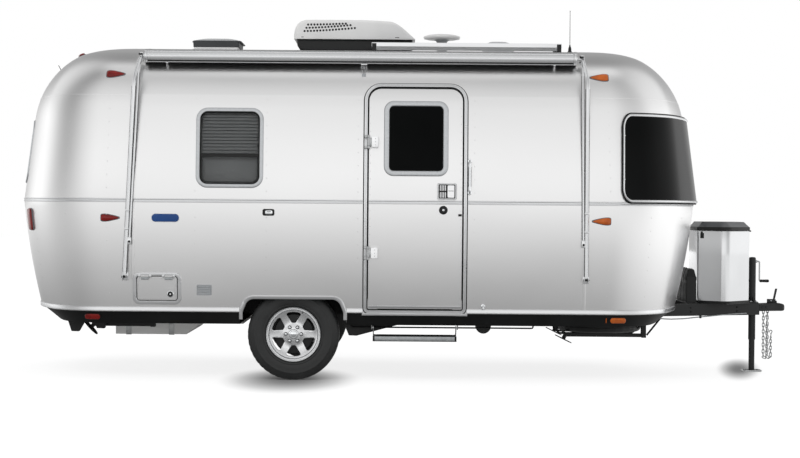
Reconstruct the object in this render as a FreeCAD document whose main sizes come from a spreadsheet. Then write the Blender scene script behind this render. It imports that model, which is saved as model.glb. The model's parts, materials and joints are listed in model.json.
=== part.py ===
import FreeCAD, Part
import math
import os

import Sketcher
from FreeCAD import Placement, Rotation, Vector

# A single-axle travel caravan: an aluminium body with rounded ends on a steel chassis.
# X runs forward to the coupler, Y to the street side and Z up. The origin is on the ground, under the
# middle of the caravan. The entry door is on the curb side, at negative Y.

# Driving dimensions in millimetres: alias, value. Places along X count from the seam named.
DIMENSIONS = [
    # Body envelope
    ("rear_seam", -2076), ("middle_length", 3427), ("half_width", 1219), ("rear_reach", 1031),
    ("front_reach", 984), ("floor_height", 520), ("ring_start", 400), ("belt_height", 1365),
    ("roof_height", 2600), ("eaves_height", 2172), ("wall", 42), ("seat_gap", 0.3),
    ("side_radius", 6000), ("eaves_radius", 480), ("crown_radius", 4000), ("dome_radius", 680),
    ("lean_above", 0.136), ("lean_below", 0.1), ("bow_below", 0.000097),
    ("straight_share", 0.2245), ("corner_share", 0.612), ("corner_limit", 0.75),
    ("nose_limit", 0.95),
    ("floor_thickness", 25), ("deck_gap", 1.5), ("trim_base", 523), ("trim_height", 34), ("trim_proud", 13),
    # Windows
    ("window_height", 1465), ("window_rise", 607), ("window_corner", 88), ("window_border", 26),
    ("frame_proud", 10), ("glass_inset", 14), ("glass_thickness", 6),
    ("curb_window_start", 475), ("curb_window_length", 510),
    ("street_window_start", 2210), ("street_window_length", 760), ("street_rear_start", 300),
    ("rear_window_half", 480), ("rear_window_height", 1500), ("rear_window_rise", 500),
    ("front_opening_half", 420), ("front_opening_height", 1470), ("front_opening_rise", 500),
    ("guard_start", 278), ("guard_height", 1373), ("guard_rise", 678), ("guard_stand", 40),
    ("guard_skin", 8), ("guard_rim", 26),
    # Entry door
    ("door_start", 1786), ("door_width", 709), ("door_sill", 556), ("door_rise", 1672),
    ("door_thickness", 36),
    ("door_corner", 92), ("door_gap", 6), ("door_border", 34), ("door_frame_proud", 12),
    ("pane_from_hinge", 138), ("pane_width", 430), ("pane_above_sill", 1043), ("pane_rise", 500),
    ("pane_corner", 62), ("hinge_stand", 30), ("hinge_low", 979), ("hinge_high", 1821),
    ("hinge_pin", 6), ("hinge_barrel", 11), ("hinge_length", 60), ("hinge_lug", 20),
    ("hinge_gap", 1), ("hinge_play", 0.08), ("hinge_leaf", 62), ("hinge_plate", 5),
    ("door_low_corner", 6), ("handle_from_hinge", 516), ("handle_width", 150), ("handle_above_sill", 830),
    ("handle_height", 127), ("handle_proud", 20), ("bolt_radius", 22), ("bolt_drop", 78),
    ("bolt_proud", 32), ("bolt_inset", 52),
    ("grab_ahead", 30), ("grab_height", 1432), ("grab_rise", 257), ("grab_radius", 9),
    ("grab_stand", 46), ("grab_foot", 16),
    # Storage hatch
    ("hatch_start", 33), ("hatch_width", 301), ("hatch_sill", 609), ("hatch_rise", 178),
    ("hatch_corner", 18), ("hatch_thickness", 20), ("hatch_gap", 6), ("hatch_border", 20),
    ("hatch_stand", 30), ("hatch_pin", 4), ("hatch_barrel", 7), ("hatch_knuckle", 60),
    ("hatch_lean", 36.57), ("hatch_hinge_reach", 90), ("hatch_lug", 12),
    # Running gear
    ("axle_from_seam", 1216), ("tyre_radius", 350), ("tyre_width", 214), ("tyre_outer", 1120),
    ("tread_half", 78), ("shoulder_drop", 12), ("bulge_radius", 270), ("bead_half", 88),
    ("bead_rise", 18), ("rim_seat", 190), ("rim_lip", 12), ("rim_wall", 9), ("disc_inset", 34),
    ("disc_thickness", 26), ("hub_radius", 62), ("hub_depth", 90), ("spindle_radius", 24),
    ("spindle_play", 0.08), ("spoke_inner", 88), ("spoke_outer", 164), ("cap_radius", 38),
    ("cap_length", 26), ("beam_size", 76), ("arm_length", 150), ("arm_thickness", 30),
    ("arm_start", 862), ("arm_half", 36),
    ("well_gap", 62), ("well_rise", 90), ("well_inner", 850), ("well_sheet", 4),
    ("arch_gap", 58), ("arch_top_gap", 18), ("arch_rise", 297), ("arch_corner", 95),
    # Belly pan and chassis
    ("pan_inset", 12), ("pan_depth", 93), ("pan_taper", 40), ("pan_end_taper", 130), ("pan_sheet", 6),
    ("rail_base", 471), ("rail_height", 96), ("rail_width", 52), ("rail_sheet", 5), ("rail_outer", 500),
    ("rail_overhang", 700), ("member_width", 50), ("member_height", 40), ("outrigger_end", 1085),
    ("tongue_start", 201), ("tongue_start_half", 590), ("tongue_end", 1544), ("tongue_end_half", 78),
    ("tongue_half_width", 27.8), ("notch_gap", 4),
    ("tank_back", 227), ("tank_length", 562), ("tank_ramp", 105), ("tank_tail", 345),
    ("tank_base", 305), ("tank_half", 540), ("tank_end_base", 392),
    ("spare_ahead", 245), ("spare_radius", 340), ("spare_width", 190),
    ("spare_hub", 90), ("spare_base", 321), ("spare_gap", 20),
    # Coupler, jack, gas bottles, battery
    ("coupler_length", 226), ("coupler_back_half", 106), ("coupler_nose_half", 46),
    ("coupler_base", 500), ("coupler_height", 66), ("socket_radius", 30), ("socket_depth", 32),
    ("socket_inset", 60), ("lever_rise", 118), ("lever_half", 12), ("lever_top", 30),
    ("jack_ahead", 1503), ("jack_top", 941), ("jack_bottom", 262), ("jack_radius", 29),
    ("jack_leg_radius", 24.5), ("jack_play", 0.3), ("jack_head", 40), ("jack_leg_hidden", 300),
    ("jack_foot_half", 77), ("jack_foot_height", 12), ("jack_flange", 40), ("jack_flange_ahead", 32),
    ("jack_flange_half", 112),
    ("jack_flange_height", 8), ("crank_height", 905), ("crank_reach", 30), ("crank_drop", 160),
    ("crank_radius", 6), ("drop_radius", 7), ("drop_over", 9), ("grip_length", 90), ("grip_radius", 12),
    ("cover_back", 1013), ("cover_back_half", 230), ("cover_wide", 1225), ("cover_wide_half", 388),
    ("cover_front", 1449), ("cover_front_half", 150), ("corner_reach", 0.7),
    ("cover_rise", 583), ("cover_sheet", 4), ("lid_side", 32),
    ("lid_rise", 74), ("lid_bevel", 46), ("lid_sheet", 5), ("lid_stand", 9), ("lid_knuckle", 90),
    ("tray_height", 6), ("bottle_radius", 150), ("bottle_height", 430), ("bottle_side", 172),
    ("bottle_ahead", 1197), ("neck_radius", 60), ("neck_height", 70),
    ("battery_back", 913), ("battery_length", 90), ("battery_half", 280), ("battery_rise", 277),
    # Step
    ("step_start", 1812), ("step_length", 661), ("hanger_sheet", 6), ("step_side_gap", 5.5),
    ("step_pivot_y", 1062), ("step_pivot_z", 408), ("step_link_offset", 62), ("step_arm", 120),
    ("step_stow", 50), ("step_pin", 5), ("step_eye", 12), ("tread_sheet", 12), ("tread_outer", 1172),
    ("tread_depth", 240), ("tread_below", 16),
    # Stabilisers
    ("front_leg_pivot", 549), ("front_leg_y", 457), ("front_leg_length", 640), ("front_leg_z", 320),
    ("rear_leg_pivot", 86), ("rear_leg_y", 660), ("rear_leg_length", 480), ("rear_leg_z", 390),
    ("leg_width", 40), ("leg_height", 28), ("leg_pin", 8), ("leg_eye", 18), ("leg_post", 34),
    ("leg_post_radius", 16), ("pad_radius", 75), ("pad_thickness", 6), ("cheek", 8), ("cheek_gap", 5.5),
    # Roof fittings
    ("cooler_start", 1160), ("cooler_length", 976), ("cooler_half", 350), ("cooler_split", 2676),
    ("cooler_rise", 156), ("cooler_inset", 22), ("cooler_rear_run", 83), ("cooler_top_run", 410),
    ("cooler_brow_run", 185), ("cooler_brow_rise", 144), ("cooler_nose_run", 107),
    ("cooler_nose_rise", 103), ("roof_root", 240),
    ("solar_start", 1791), ("solar_length", 1489), ("solar_near", 750), ("solar_far", 385),
    ("solar_height", 2583), ("solar_thickness", 34), ("solar_foot", 60),
    ("vent_start", 335), ("vent_length", 390), ("vent_half", 210), ("vent_top", 2662),
    ("vent_wall", 30), ("vent_dome", 36), ("vent_dome_inset", 36),
    ("skylight_start", 2688), ("skylight_length", 281), ("skylight_near", 60),
    ("skylight_width", 281), ("skylight_top", 2698), ("skylight_inset", 30),
    ("dish_from_seam", 2365), ("dish_side", 350), ("dish_radius", 155), ("dish_base", 2738),
    ("dish_height", 48), ("dish_stem", 42),
    ("whip_from_seam", 3383), ("whip_side", 300), ("whip_radius", 3), ("whip_top", 2923),
    ("whip_boot", 14), ("whip_boot_rise", 40),
    # Awning
    ("roller_start", 57), ("roller_end", 58), ("roller_radius", 52), ("roller_inset", 179),
    ("roller_z", 2473), ("rail_reach", 208), ("rail_tall", 60),
    ("arm_width", 30), ("arm_depth", 22), ("arm_stand", 9), ("arm_foot", 798), ("arm_knee", 2290),
    ("arm_bracket", 60), ("arm_space_rear", 82), ("arm_space_front", 51), ("arm_stub", 18),
    # Lamps, plate and chains
    ("marker_length", 142), ("marker_height", 46), ("marker_proud", 18), ("marker_low", 1232),
    ("marker_high", 2336), ("red_marker_back", 242), ("amber_marker_ahead", 53),
    ("tail_side", 700), ("tail_width", 120), ("tail_base", 1060), ("tail_height", 180),
    ("tail_proud", 34), ("chain_ahead", 1624), ("chain_side", 62), ("chain_bend", 28),
    ("chain_radius", 11), ("chain_bottom", 94),
]

doc = FreeCAD.newDocument("travel_caravan")
sheet = doc.addObject("Spreadsheet::Sheet", "Sizes")
for row, (alias, value) in enumerate(DIMENSIONS, start=1):
    sheet.set(f"A{row}", alias)
    sheet.set(f"B{row}", str(value))
    sheet.setAlias(f"B{row}", alias)
doc.recompute()


class Size:
    """A length made from sheet cells: its text binds an expression, its value draws a shape."""

    def __init__(self, text, value):
        self.text = text
        self.value = float(value)

    def mix(self, other, sign, value):
        return Size(f"({self.text} {sign} {other.text})", value)

    def __add__(self, other):
        other = as_size(other)
        return self.mix(other, "+", self.value + other.value)

    def __sub__(self, other):
        other = as_size(other)
        return self.mix(other, "-", self.value - other.value)

    def __rsub__(self, other):
        return as_size(other) - self

    def __mul__(self, factor):
        factor = as_size(factor)
        return self.mix(factor, "*", self.value * factor.value)

    def __truediv__(self, factor):
        factor = as_size(factor)
        return self.mix(factor, "/", self.value / factor.value)

    def __neg__(self):
        return Size(f"(0 - {self.text})", -self.value)

    __radd__ = __add__
    __rmul__ = __mul__


def as_size(number):
    return number if isinstance(number, Size) else Size(f"({number})", number)


class Sizes:
    """Gives each sheet cell by its alias, as size.wall."""

    def __getattr__(self, alias):
        return Size(f"Sizes.{alias}", sheet.get(alias))


size = Sizes()
nodes = {}

rear_seam = size.rear_seam
front_seam = rear_seam + size.middle_length
rear_end = rear_seam - size.rear_reach
front_end = front_seam + size.front_reach
axle_x = rear_seam + size.axle_from_seam
rail_top = size.rail_base + size.rail_height
arch_half = size.tyre_radius + size.arch_gap
well_half = size.tyre_radius + size.well_gap
roller_y = size.half_width - size.roller_inset
BEYOND = size.half_width * 4
# Cutters through a side wall, and the roots of fittings on it, reach these shares of the half width
WALL_INSIDE = 0.7
WALL_OUTSIDE = 1.3
FITTING_ROOT = 0.9


# ---- document helpers


def bind(item, **cells):
    """Ties properties to sheet cells; a double underscore stands for a dot in the path."""
    for path, cell in cells.items():
        item.setExpression(path.replace("__", "."), as_size(cell).text)
    return item


def place(item, x=0, y=0, z=0, turn=None):
    if turn is not None:
        item.Placement = Placement(Vector(), turn)
    return bind(item, Placement__Base__x=x, Placement__Base__y=y, Placement__Base__z=z)


def box(name, x, y, z):
    """A box from three (low, high) pairs."""
    made = doc.addObject("Part::Box", name)
    bind(made, Length=as_size(x[1]) - x[0], Width=as_size(y[1]) - y[0], Height=as_size(z[1]) - z[0])
    return place(made, x[0], y[0], z[0])


TURNS = {"x": Rotation(Vector(0, 1, 0), 90), "y": Rotation(Vector(1, 0, 0), -90), "z": Rotation()}


def rod(name, radius, start, length, axis="z", turn=None):
    """A cylinder that starts at a point and runs along +X, +Y or +Z, or along its own turn."""
    made = doc.addObject("Part::Cylinder", name)
    bind(made, Radius=radius, Height=length)
    return place(made, *start, turn=turn or TURNS[axis])


def join(name, *parts):
    made = doc.addObject("Part::MultiFuse", name)
    made.Shapes = list(parts)
    return made


def carve(name, base, *tools):
    """The base with the tools taken out of it."""
    made = doc.addObject("Part::Cut", name)
    made.Base = base
    made.Tool = tools[0] if len(tools) == 1 else join(name + "_tools", *tools)
    return made


def overlap(name, first, second):
    made = doc.addObject("Part::Common", name)
    made.Base = first
    made.Tool = second
    return made


def feature(name, shape):
    made = doc.addObject("Part::Feature", name)
    made.Shape = shape
    return made


def mirror(name, source):
    """A copy on the other side of the caravan's centre plane."""
    made = doc.addObject("Part::Mirroring", name)
    made.Source = source
    made.Normal = Vector(0, 1, 0)
    return made


def group(name, *parts):
    """Separate solids that share a node."""
    made = doc.addObject("Part::Compound", name)
    made.Links = list(parts)
    return made


def both_sides(name, source):
    return group(name, source, mirror(name + "_mirrored", source))


def sub_part(name, item):
    """Names a finished piece, which is written to its own file."""
    item.Label = name
    nodes[name] = item
    return item


PLANES = {"xy": "XY_Plane", "xz": "XZ_Plane", "yz": "YZ_Plane"}


def outline(body, name, plane, corners, offset=0):
    """A closed sketch through corners given as pairs of sizes, each tied to the sheet."""
    sketch = body.newObject("Sketcher::SketchObject", name)
    origin = [item for item in body.Origin.OriginFeatures if item.Role == PLANES[plane]][0]
    sketch.AttachmentSupport = [(origin, "")]
    sketch.MapMode = "FlatFace"
    bind(sketch, AttachmentOffset__Base__z=offset)
    corners = [(as_size(a), as_size(b)) for a, b in corners]
    points = [Vector(a.value, b.value, 0) for a, b in corners]
    count = len(points)
    for i in range(count):
        sketch.addGeometry(Part.LineSegment(points[i], points[(i + 1) % count]), False)
    for i in range(count):
        sketch.addConstraint(Sketcher.Constraint("Coincident", i, 2, (i + 1) % count, 1))
    for i, (a, b) in enumerate(corners):
        for kind, cell in (("DistanceX", a), ("DistanceY", b)):
            index = sketch.addConstraint(Sketcher.Constraint(kind, -1, 1, i, 1, cell.value))
            sketch.setExpression(f"Constraints[{index}]", cell.text)
    return sketch


def slab(name, plane, corners, low, high):
    """A padded outline. Low and high run along +Z for xy, +Y for xz and +X for yz."""
    low, high = as_size(low), as_size(high)
    body = doc.addObject("PartDesign::Body", name)
    sketch = outline(body, name + "_outline", plane, corners, -high if plane == "xz" else low)
    pad = body.newObject("PartDesign::Pad", name + "_pad")
    pad.Profile = sketch
    bind(pad, Length=high - low)
    body.Tip = pad
    return body


def turned(name, corners):
    """A body turned about the Y axis, from (distance from the axis, place along Y) corners."""
    body = doc.addObject("PartDesign::Body", name)
    sketch = outline(body, name + "_outline", "xy", corners)
    turn = body.newObject("PartDesign::Revolution", name + "_turn")
    turn.Profile = sketch
    turn.ReferenceAxis = (sketch, ["V_Axis"])
    turn.Angle = 360
    body.Tip = turn
    return body


LIFTS = {
    "xz": (lambda a, b, c: Vector(a, c, b), Vector(0, 1, 0)),
    "yz": (lambda a, b, c: Vector(c, a, b), Vector(1, 0, 0)),
    "xy": (lambda a, b, c: Vector(a, b, c), Vector(0, 0, 1)),
}


def prism(name, plane, corners, radii, low, high):
    """A solid whose outline has rounded corners: one radius each, or one for all."""
    low, high = as_size(low).value, as_size(high).value
    lift, across = LIFTS[plane]
    points = [Vector(as_size(a).value, as_size(b).value, 0) for a, b in corners]
    count = len(points)
    if not isinstance(radii, (list, tuple)):
        radii = [radii] * count
    stops = []
    for i, corner in enumerate(points):
        back = (points[i - 1] - corner).normalize()
        ahead = (points[(i + 1) % count] - corner).normalize()
        half = back.getAngle(ahead) / 2
        radius = as_size(radii[i]).value
        reach = radius / math.tan(half)
        middle = corner + (back + ahead).normalize() * (radius / math.sin(half) - radius)
        stops.append((corner + back * reach, middle, corner + ahead * reach, radius))
    edges = []
    for i, (start, middle, end, radius) in enumerate(stops):
        start, middle, end = (lift(p.x, p.y, low) for p in (start, middle, end))
        following = stops[(i + 1) % count][0]
        following = lift(following.x, following.y, low)
        if radius:
            edges.append(Part.Arc(start, middle, end).toShape())
        if end.distanceToPoint(following) > 0.001:
            edges.append(Part.makeLine(end, following))
    return feature(name, Part.Face(Part.Wire(edges)).extrude(across * (high - low)))


def rectangle(start, low, length, rise, grow=0):
    """The four corners of a rectangle grown all round."""
    left, right = as_size(start) - grow, start + length + grow
    bottom, top = as_size(low) - grow, low + rise + grow
    return [(left, bottom), (right, bottom), (right, top), (left, top)]


# ---- body envelope: a side profile of three tangent arcs, and plan rings of lines and arcs


def circles_meet(first, first_reach, second, second_reach):
    """Where two circles meet, at the meeting place farther up and out."""
    apart = math.dist(first, second)
    along = (first_reach**2 - second_reach**2 + apart**2) / (2 * apart)
    off = math.sqrt(first_reach**2 - along**2)
    ux, uz = (second[0] - first[0]) / apart, (second[1] - first[1]) / apart
    meets = [(first[0] + ux * along - side * uz * off, first[1] + uz * along + side * ux * off)
             for side in (1, -1)]
    return max(meets)


def profile_arcs():
    """The side, eaves and crown arcs: centre (y, z), radius, and the angles where each ends."""
    side_r, eaves_r, crown_r = size.side_radius.value, size.eaves_radius.value, size.crown_radius.value
    side = (size.half_width.value - side_r, size.belt_height.value)
    crown = (0.0, size.roof_height.value - crown_r)
    eaves = circles_meet(side, side_r - eaves_r, crown, crown_r - eaves_r)
    first = math.atan2(eaves[1] - side[1], eaves[0] - side[0])
    second = math.atan2(eaves[1] - crown[1], eaves[0] - crown[0])
    return (side, side_r, first), (eaves, eaves_r, second), (crown, crown_r, math.pi / 2)


def profile_point(angle, grow=0):
    """The point (y, z) of the side profile whose outward direction has this angle."""
    for centre, radius, last in profile_arcs():
        if angle <= last + 1e-9:
            break
    return centre[0] + (radius + grow) * math.cos(angle), centre[1] + (radius + grow) * math.sin(angle)


def side_angle(height):
    return math.asin((height - size.belt_height.value) / size.side_radius.value)


def end_inset(height, grow=0):
    """How far an end lies inside its place at the belt: a bowed line, a lean and a dome arc."""
    above = height - size.belt_height.value
    if above < 0:
        return -above * size.lean_below.value + above**2 * size.bow_below.value - grow
    lean = size.lean_above.value
    slant = math.hypot(1, lean)
    radius = size.dome_radius.value
    dome_z = size.roof_height.value - radius
    if height < dome_z + (radius + grow) * lean / slant:
        return lean * above - grow * slant
    centre = lean * (dome_z - size.belt_height.value) + radius * slant
    return centre - math.sqrt((radius + grow) ** 2 - (height - dome_z) ** 2)


def end_arcs(seam, reach, half, turn, grow):
    """Three tangent arcs round one end, from the street side to the curb side."""
    full = reach - grow
    straight = max(size.straight_share.value * full, full - size.nose_limit.value * (half - grow))
    corner = min(size.corner_share.value * full, size.corner_limit.value * (half - grow)) + grow
    ahead, aside = straight - reach, half - corner
    nose = (ahead**2 + aside**2 - corner**2) / (2 * (reach - straight - corner))
    centre = reach - nose
    meet = math.atan2(aside, straight - centre)
    middle = (math.pi / 2 + meet) / 2
    arcs = []
    for sign in (1, -1):
        arcs.append([(seam + turn * a, sign * b) for a, b in (
            (straight, half),
            (straight + corner * math.cos(middle), aside + corner * math.sin(middle)),
            (centre + nose * math.cos(meet), nose * math.sin(meet)),
        )])
    tip = [arcs[0][2], (seam + turn * reach, 0.0), arcs[1][2]]
    return [arcs[0], tip, arcs[1][::-1]]


def ring(height, half, rear_reach, front_reach, grow=0):
    """One closed plan ring: two straight sides and three arcs round each end."""
    front = end_arcs(front_seam.value, front_reach, half, 1, grow)
    rear = end_arcs(rear_seam.value, rear_reach, half, -1, grow)
    rear = [arc[::-1] for arc in rear[::-1]]
    edges = [Part.Arc(*[Vector(x, y, height) for x, y in arc]).toShape() for arc in front]
    edges.append(Part.makeLine(Vector(*front[2][2], height), Vector(*rear[0][0], height)))
    edges += [Part.Arc(*[Vector(x, y, height) for x, y in arc]).toShape() for arc in rear]
    edges.append(Part.makeLine(Vector(*rear[2][2], height), Vector(*front[0][0], height)))
    return Part.Wire(edges)


def ring_at(angle, grow=0):
    half, height = profile_point(angle, grow)
    inset = end_inset(height, grow)
    return ring(height, half, size.rear_reach.value - inset, size.front_reach.value - inset, grow)


LOWER_STEPS = (1.0, 0.82, 0.55, 0.25)
SIDE_STEPS = (0.0, 0.3, 0.6, 0.85)
EAVES_STEPS = (0.0, 0.25, 0.46, 0.63, 0.77, 0.9)
CROWN_STEPS = (0.0, 0.3, 0.56, 0.76)


def envelope(name, grow=0):
    """The whole body's outer shape as a solid, grown or shrunk from the skin."""
    (_, _, first), (_, _, second), (_, _, last) = profile_arcs()
    low = side_angle(size.ring_start.value)
    angles = [low * step for step in LOWER_STEPS] + [first * step for step in SIDE_STEPS]
    angles += [first + (second - first) * step for step in EAVES_STEPS]
    angles += [second + (last - second) * step for step in CROWN_STEPS]
    return feature(name, Part.makeLoft([ring_at(angle, grow) for angle in angles], True, False, False, 3))


def middle_body(name, grow=0):
    """The straight middle between the seams, from the exact profile arcs."""
    (_, _, first), (_, _, second), (_, _, last) = profile_arcs()
    low = side_angle(size.ring_start.value)

    def point(angle, sign):
        y, z = profile_point(angle, grow)
        return Vector(rear_seam.value, sign * y, z)

    edges = []
    for start, end in ((low, first), (first, second)):
        stops = (start, (start + end) / 2, end)
        edges.append(Part.Arc(*[point(angle, 1) for angle in stops]).toShape())
    edges.append(Part.Arc(point(second, 1), point(last, 1), point(second, -1)).toShape())
    for start, end in ((second, first), (first, low)):
        stops = (start, (start + end) / 2, end)
        edges.append(Part.Arc(*[point(angle, -1) for angle in stops]).toShape())
    edges.append(Part.makeLine(point(low, -1), point(low, 1)))
    face = Part.Face(Part.Wire(edges))
    return feature(name, face.extrude(Vector(size.middle_length.value, 0, 0)))


skin = middle_body("skin")
lining = middle_body("lining", -size.wall.value)
hull = envelope("hull")
hull_lining = envelope("hull_lining", -size.wall.value)


def layer(name, make, low, high):
    """A curved layer between two distances from the skin."""
    outside = make(name + "_outside", as_size(high).value)
    return carve(name, outside, make(name + "_inside", as_size(low).value))


def side_prism(name, corners, radius, side=-1):
    """A cutter through one side wall."""
    near, far = size.half_width * WALL_INSIDE, size.half_width * WALL_OUTSIDE
    low, high = (-far, -near) if side < 0 else (near, far)
    return prism(name, "xz", corners, radius, low, high)


def door_radii(grow=0):
    """The radii of a door outline: nearly square at the sill and round at the head."""
    return [size.door_low_corner] * 2 + [size.door_corner + grow] * 2


# ---- walls, roof and ends


curb_glass = rectangle(rear_seam + size.curb_window_start, size.window_height,
                       size.curb_window_length, size.window_rise, -size.window_border)
street_starts = [rear_seam + size.street_window_start, rear_seam + size.street_rear_start]
street_glass = [rectangle(start, size.window_height, size.street_window_length,
                          size.window_rise, -size.window_border) for start in street_starts]
door_leaf = (rear_seam + size.door_start, size.door_sill, size.door_width, size.door_rise)
hatch_leaf = (rear_seam + size.hatch_start, size.hatch_sill, size.hatch_width, size.hatch_rise)
glass_corner = size.window_corner - size.window_border
seat = size.seat_gap


def arch_cutter(name, grow, low, high):
    """The wheel arch's opening, square to the side wall."""
    half, top_half = arch_half + grow, size.tyre_radius + size.arch_top_gap + grow
    base, top = size.ring_start, size.tyre_radius + size.arch_rise + grow
    corners = [(axle_x - half, base), (axle_x + half, base), (axle_x + half, size.trim_base),
               (axle_x + top_half, top), (axle_x - top_half, top), (axle_x - half, size.trim_base)]
    round_top = size.arch_corner.value
    return prism(name, "xz", corners, [0, 0, round_top, round_top, round_top, round_top], low, high)


def walls():
    whole = carve("middle_wall", skin, lining)
    above = (size.floor_height, size.eaves_height)
    span = (rear_seam, front_seam)
    curb = overlap("curb_blank", whole, box("curb_zone", span, (-BEYOND, 0), above))
    street = overlap("street_blank", whole, box("street_zone", span, (0, BEYOND), above))
    door_hole = side_prism("door_hole", rectangle(*door_leaf, size.door_gap), door_radii(size.door_gap))
    hatch_hole = side_prism("hatch_hole", rectangle(*hatch_leaf, size.hatch_gap),
                            size.hatch_corner + size.hatch_gap)
    window_hole = side_prism("curb_window_hole", curb_glass, glass_corner)
    curb_arch = arch_cutter("curb_arch", 0, -BEYOND, 0)
    roof = overlap("roof_blank", whole,
                   box("roof_zone", span, (-BEYOND, BEYOND), (size.eaves_height, BEYOND)))
    vent_hole = box("vent_hole", (vent_low, vent_high), (-vent_inner, vent_inner),
                    (size.eaves_height, BEYOND))
    roof = carve("roof_panel", roof, vent_hole, door_hole)
    sub_part("roof_shell", roof)
    sub_part("curb_side_wall", carve("curb_panel", curb, door_hole, hatch_hole, window_hole, curb_arch))
    street_holes = [side_prism(f"street_window_hole_{i}", corners, glass_corner, 1)
                    for i, corners in enumerate(street_glass)]
    street_arch = arch_cutter("street_arch", 0, 0, BEYOND)
    sub_part("street_side_wall", carve("street_panel", street, *street_holes, street_arch))


def ends():
    shell = carve("end_wall", hull, hull_lining)
    high = (size.floor_height, BEYOND)
    wide = (-BEYOND, BEYOND)
    rear = overlap("rear_blank", shell, box("rear_zone", (rear_end * 2, rear_seam), wide, high))
    front = overlap("front_blank", shell, box("front_zone", (front_seam, front_end * 2), wide, high))
    rear_hole = prism("rear_window_hole", "yz", rear_glass, glass_corner, rear_end * 2, rear_seam)
    front_hole = prism("front_opening", "yz", front_glass, glass_corner, front_seam, front_end * 2)
    sub_part("rear_cap", carve("rear_panel", rear, rear_hole))
    sub_part("front_cap", carve("front_panel", front, front_hole, tongue_notch))


def tongue_corners(grow):
    half = size.tongue_half_width + grow
    start, end = front_seam + size.tongue_start, front_seam + size.tongue_end
    return [(start, -size.tongue_start_half - half), (end, -size.tongue_end_half - half),
            (end, -size.tongue_end_half + half), (start, -size.tongue_start_half + half)]


vent_low = rear_seam + size.vent_start + size.vent_wall
vent_high = rear_seam + size.vent_start + size.vent_length - size.vent_wall
vent_inner = size.vent_half - size.vent_wall
rear_glass = rectangle(-size.rear_window_half, size.rear_window_height,
                       size.rear_window_half * 2, size.rear_window_rise, -size.window_border)
front_glass = rectangle(-size.front_opening_half, size.front_opening_height,
                        size.front_opening_half * 2, size.front_opening_rise)
tongue_notch = both_sides("tongue_notch", slab(
    "curb_notch", "xy", tongue_corners(size.notch_gap),
    size.rail_base - size.notch_gap, rail_top + size.notch_gap))


def base_trim():
    """The half-round rail along the foot of the body."""
    band = overlap("trim_band", layer("trim_layer", envelope, seat, size.trim_proud),
                   box("trim_zone", (rear_end * 2, front_end * 2), (-BEYOND, BEYOND),
                       (size.trim_base, size.trim_base + size.trim_height)))
    door = side_prism("trim_door", rectangle(*door_leaf, door_frame_reach + seat), door_radii())
    arch = arch_cutter("trim_arch", 0, -BEYOND, BEYOND)
    sub_part("base_rail", carve("trim", band, skin, door, arch, tongue_notch))


door_frame_reach = size.door_gap + size.door_border


# ---- floor, belly pan and chassis


def floor():
    inside = envelope("deck_limit", -(size.wall + size.deck_gap).value)
    deck = overlap("deck_blank", inside, box(
        "deck_zone", (rear_end, front_end), (-size.half_width, size.half_width),
        (rail_top, rail_top + size.floor_thickness)))
    wells = both_sides("well_holes", box(
        "well_hole", (axle_x - well_half - seat, axle_x + well_half + seat),
        (-BEYOND, -size.well_inner + seat), (size.ring_start, BEYOND)))
    sub_part("floor_deck", carve("deck", deck, wells))


def pan_ring(height, drop, grow):
    """A plan ring of the belly pan; drop is 0 at its top edge and 1 at its base."""
    top = size.floor_height.value
    half, _ = profile_point(side_angle(top))
    inset = end_inset(top) + size.pan_inset.value + size.pan_end_taper.value * drop - grow
    half = half - size.pan_inset.value - size.pan_taper.value * drop + grow
    return ring(height, half, size.rear_reach.value - inset, size.front_reach.value - inset)


def belly():
    top, thick = size.floor_height.value, size.pan_sheet.value
    base = top - size.pan_depth.value
    outside = Part.makeLoft([pan_ring(base, 1, 0), pan_ring(top, 0, 0)], True, True)
    inside = Part.makeLoft([pan_ring(base + thick, 1, -thick), pan_ring(top + 1, 0, -thick)], True, True)
    tub = feature("tub", outside.cut(inside))
    gap = box("axle_gap", (axle_x - arch_half, axle_x + arch_half), (-BEYOND, BEYOND),
              (size.ring_start, size.floor_height + 1))
    spare_hole = rod("spare_hole", size.spare_radius + size.spare_gap,
                     (front_seam + size.spare_ahead, 0, size.ring_start), size.pan_depth)
    sub_part("belly_pan", carve("pan", tub, gap, spare_hole, tongue_notch))


def channel(name, outer, x):
    """A C-section rail along X, with its open side towards the middle."""
    inner = outer + size.rail_width
    sheet_t = size.rail_sheet
    corners = [(outer, size.rail_base), (inner, size.rail_base), (inner, size.rail_base + sheet_t),
               (outer + sheet_t, size.rail_base + sheet_t), (outer + sheet_t, rail_top - sheet_t),
               (inner, rail_top - sheet_t), (inner, rail_top), (outer, rail_top)]
    return slab(name, "yz", corners, *x)


def chassis():
    back = rear_seam - size.rail_overhang
    ahead = front_seam + size.tongue_start - size.member_width
    rail = channel("main_rail", -size.rail_outer, (back, ahead))
    tongue = slab("tongue_rail", "xy", tongue_corners(0), size.rail_base, rail_top)
    sub_part("chassis_rails", group("rails", rail, mirror("street_rail", rail),
                                    tongue, mirror("street_tongue", tongue)))
    inner = size.rail_outer - size.rail_width
    members = []
    for i, x in enumerate((back, rear_seam, axle_x - well_half - size.member_width,
                           axle_x + well_half, front_seam - well_half)):
        members.append(box(f"member_{i}", (x, x + size.member_width), (-inner, inner),
                           (rail_top - size.member_height, rail_top)))
        arm = box(f"outrigger_{i}", (x, x + size.member_width), (-size.outrigger_end, -size.rail_outer),
                  (rail_top - size.member_height, rail_top))
        if i:
            members += [arm, mirror(f"street_outrigger_{i}", arm)]
    head = box("head_member", (ahead, ahead + size.member_width),
               (-size.tongue_start_half - size.rail_width, size.tongue_start_half + size.rail_width),
               (size.spare_base + size.spare_width, rail_top))
    sub_part("chassis_crossmembers", group("crossmembers", *members, head))


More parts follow.
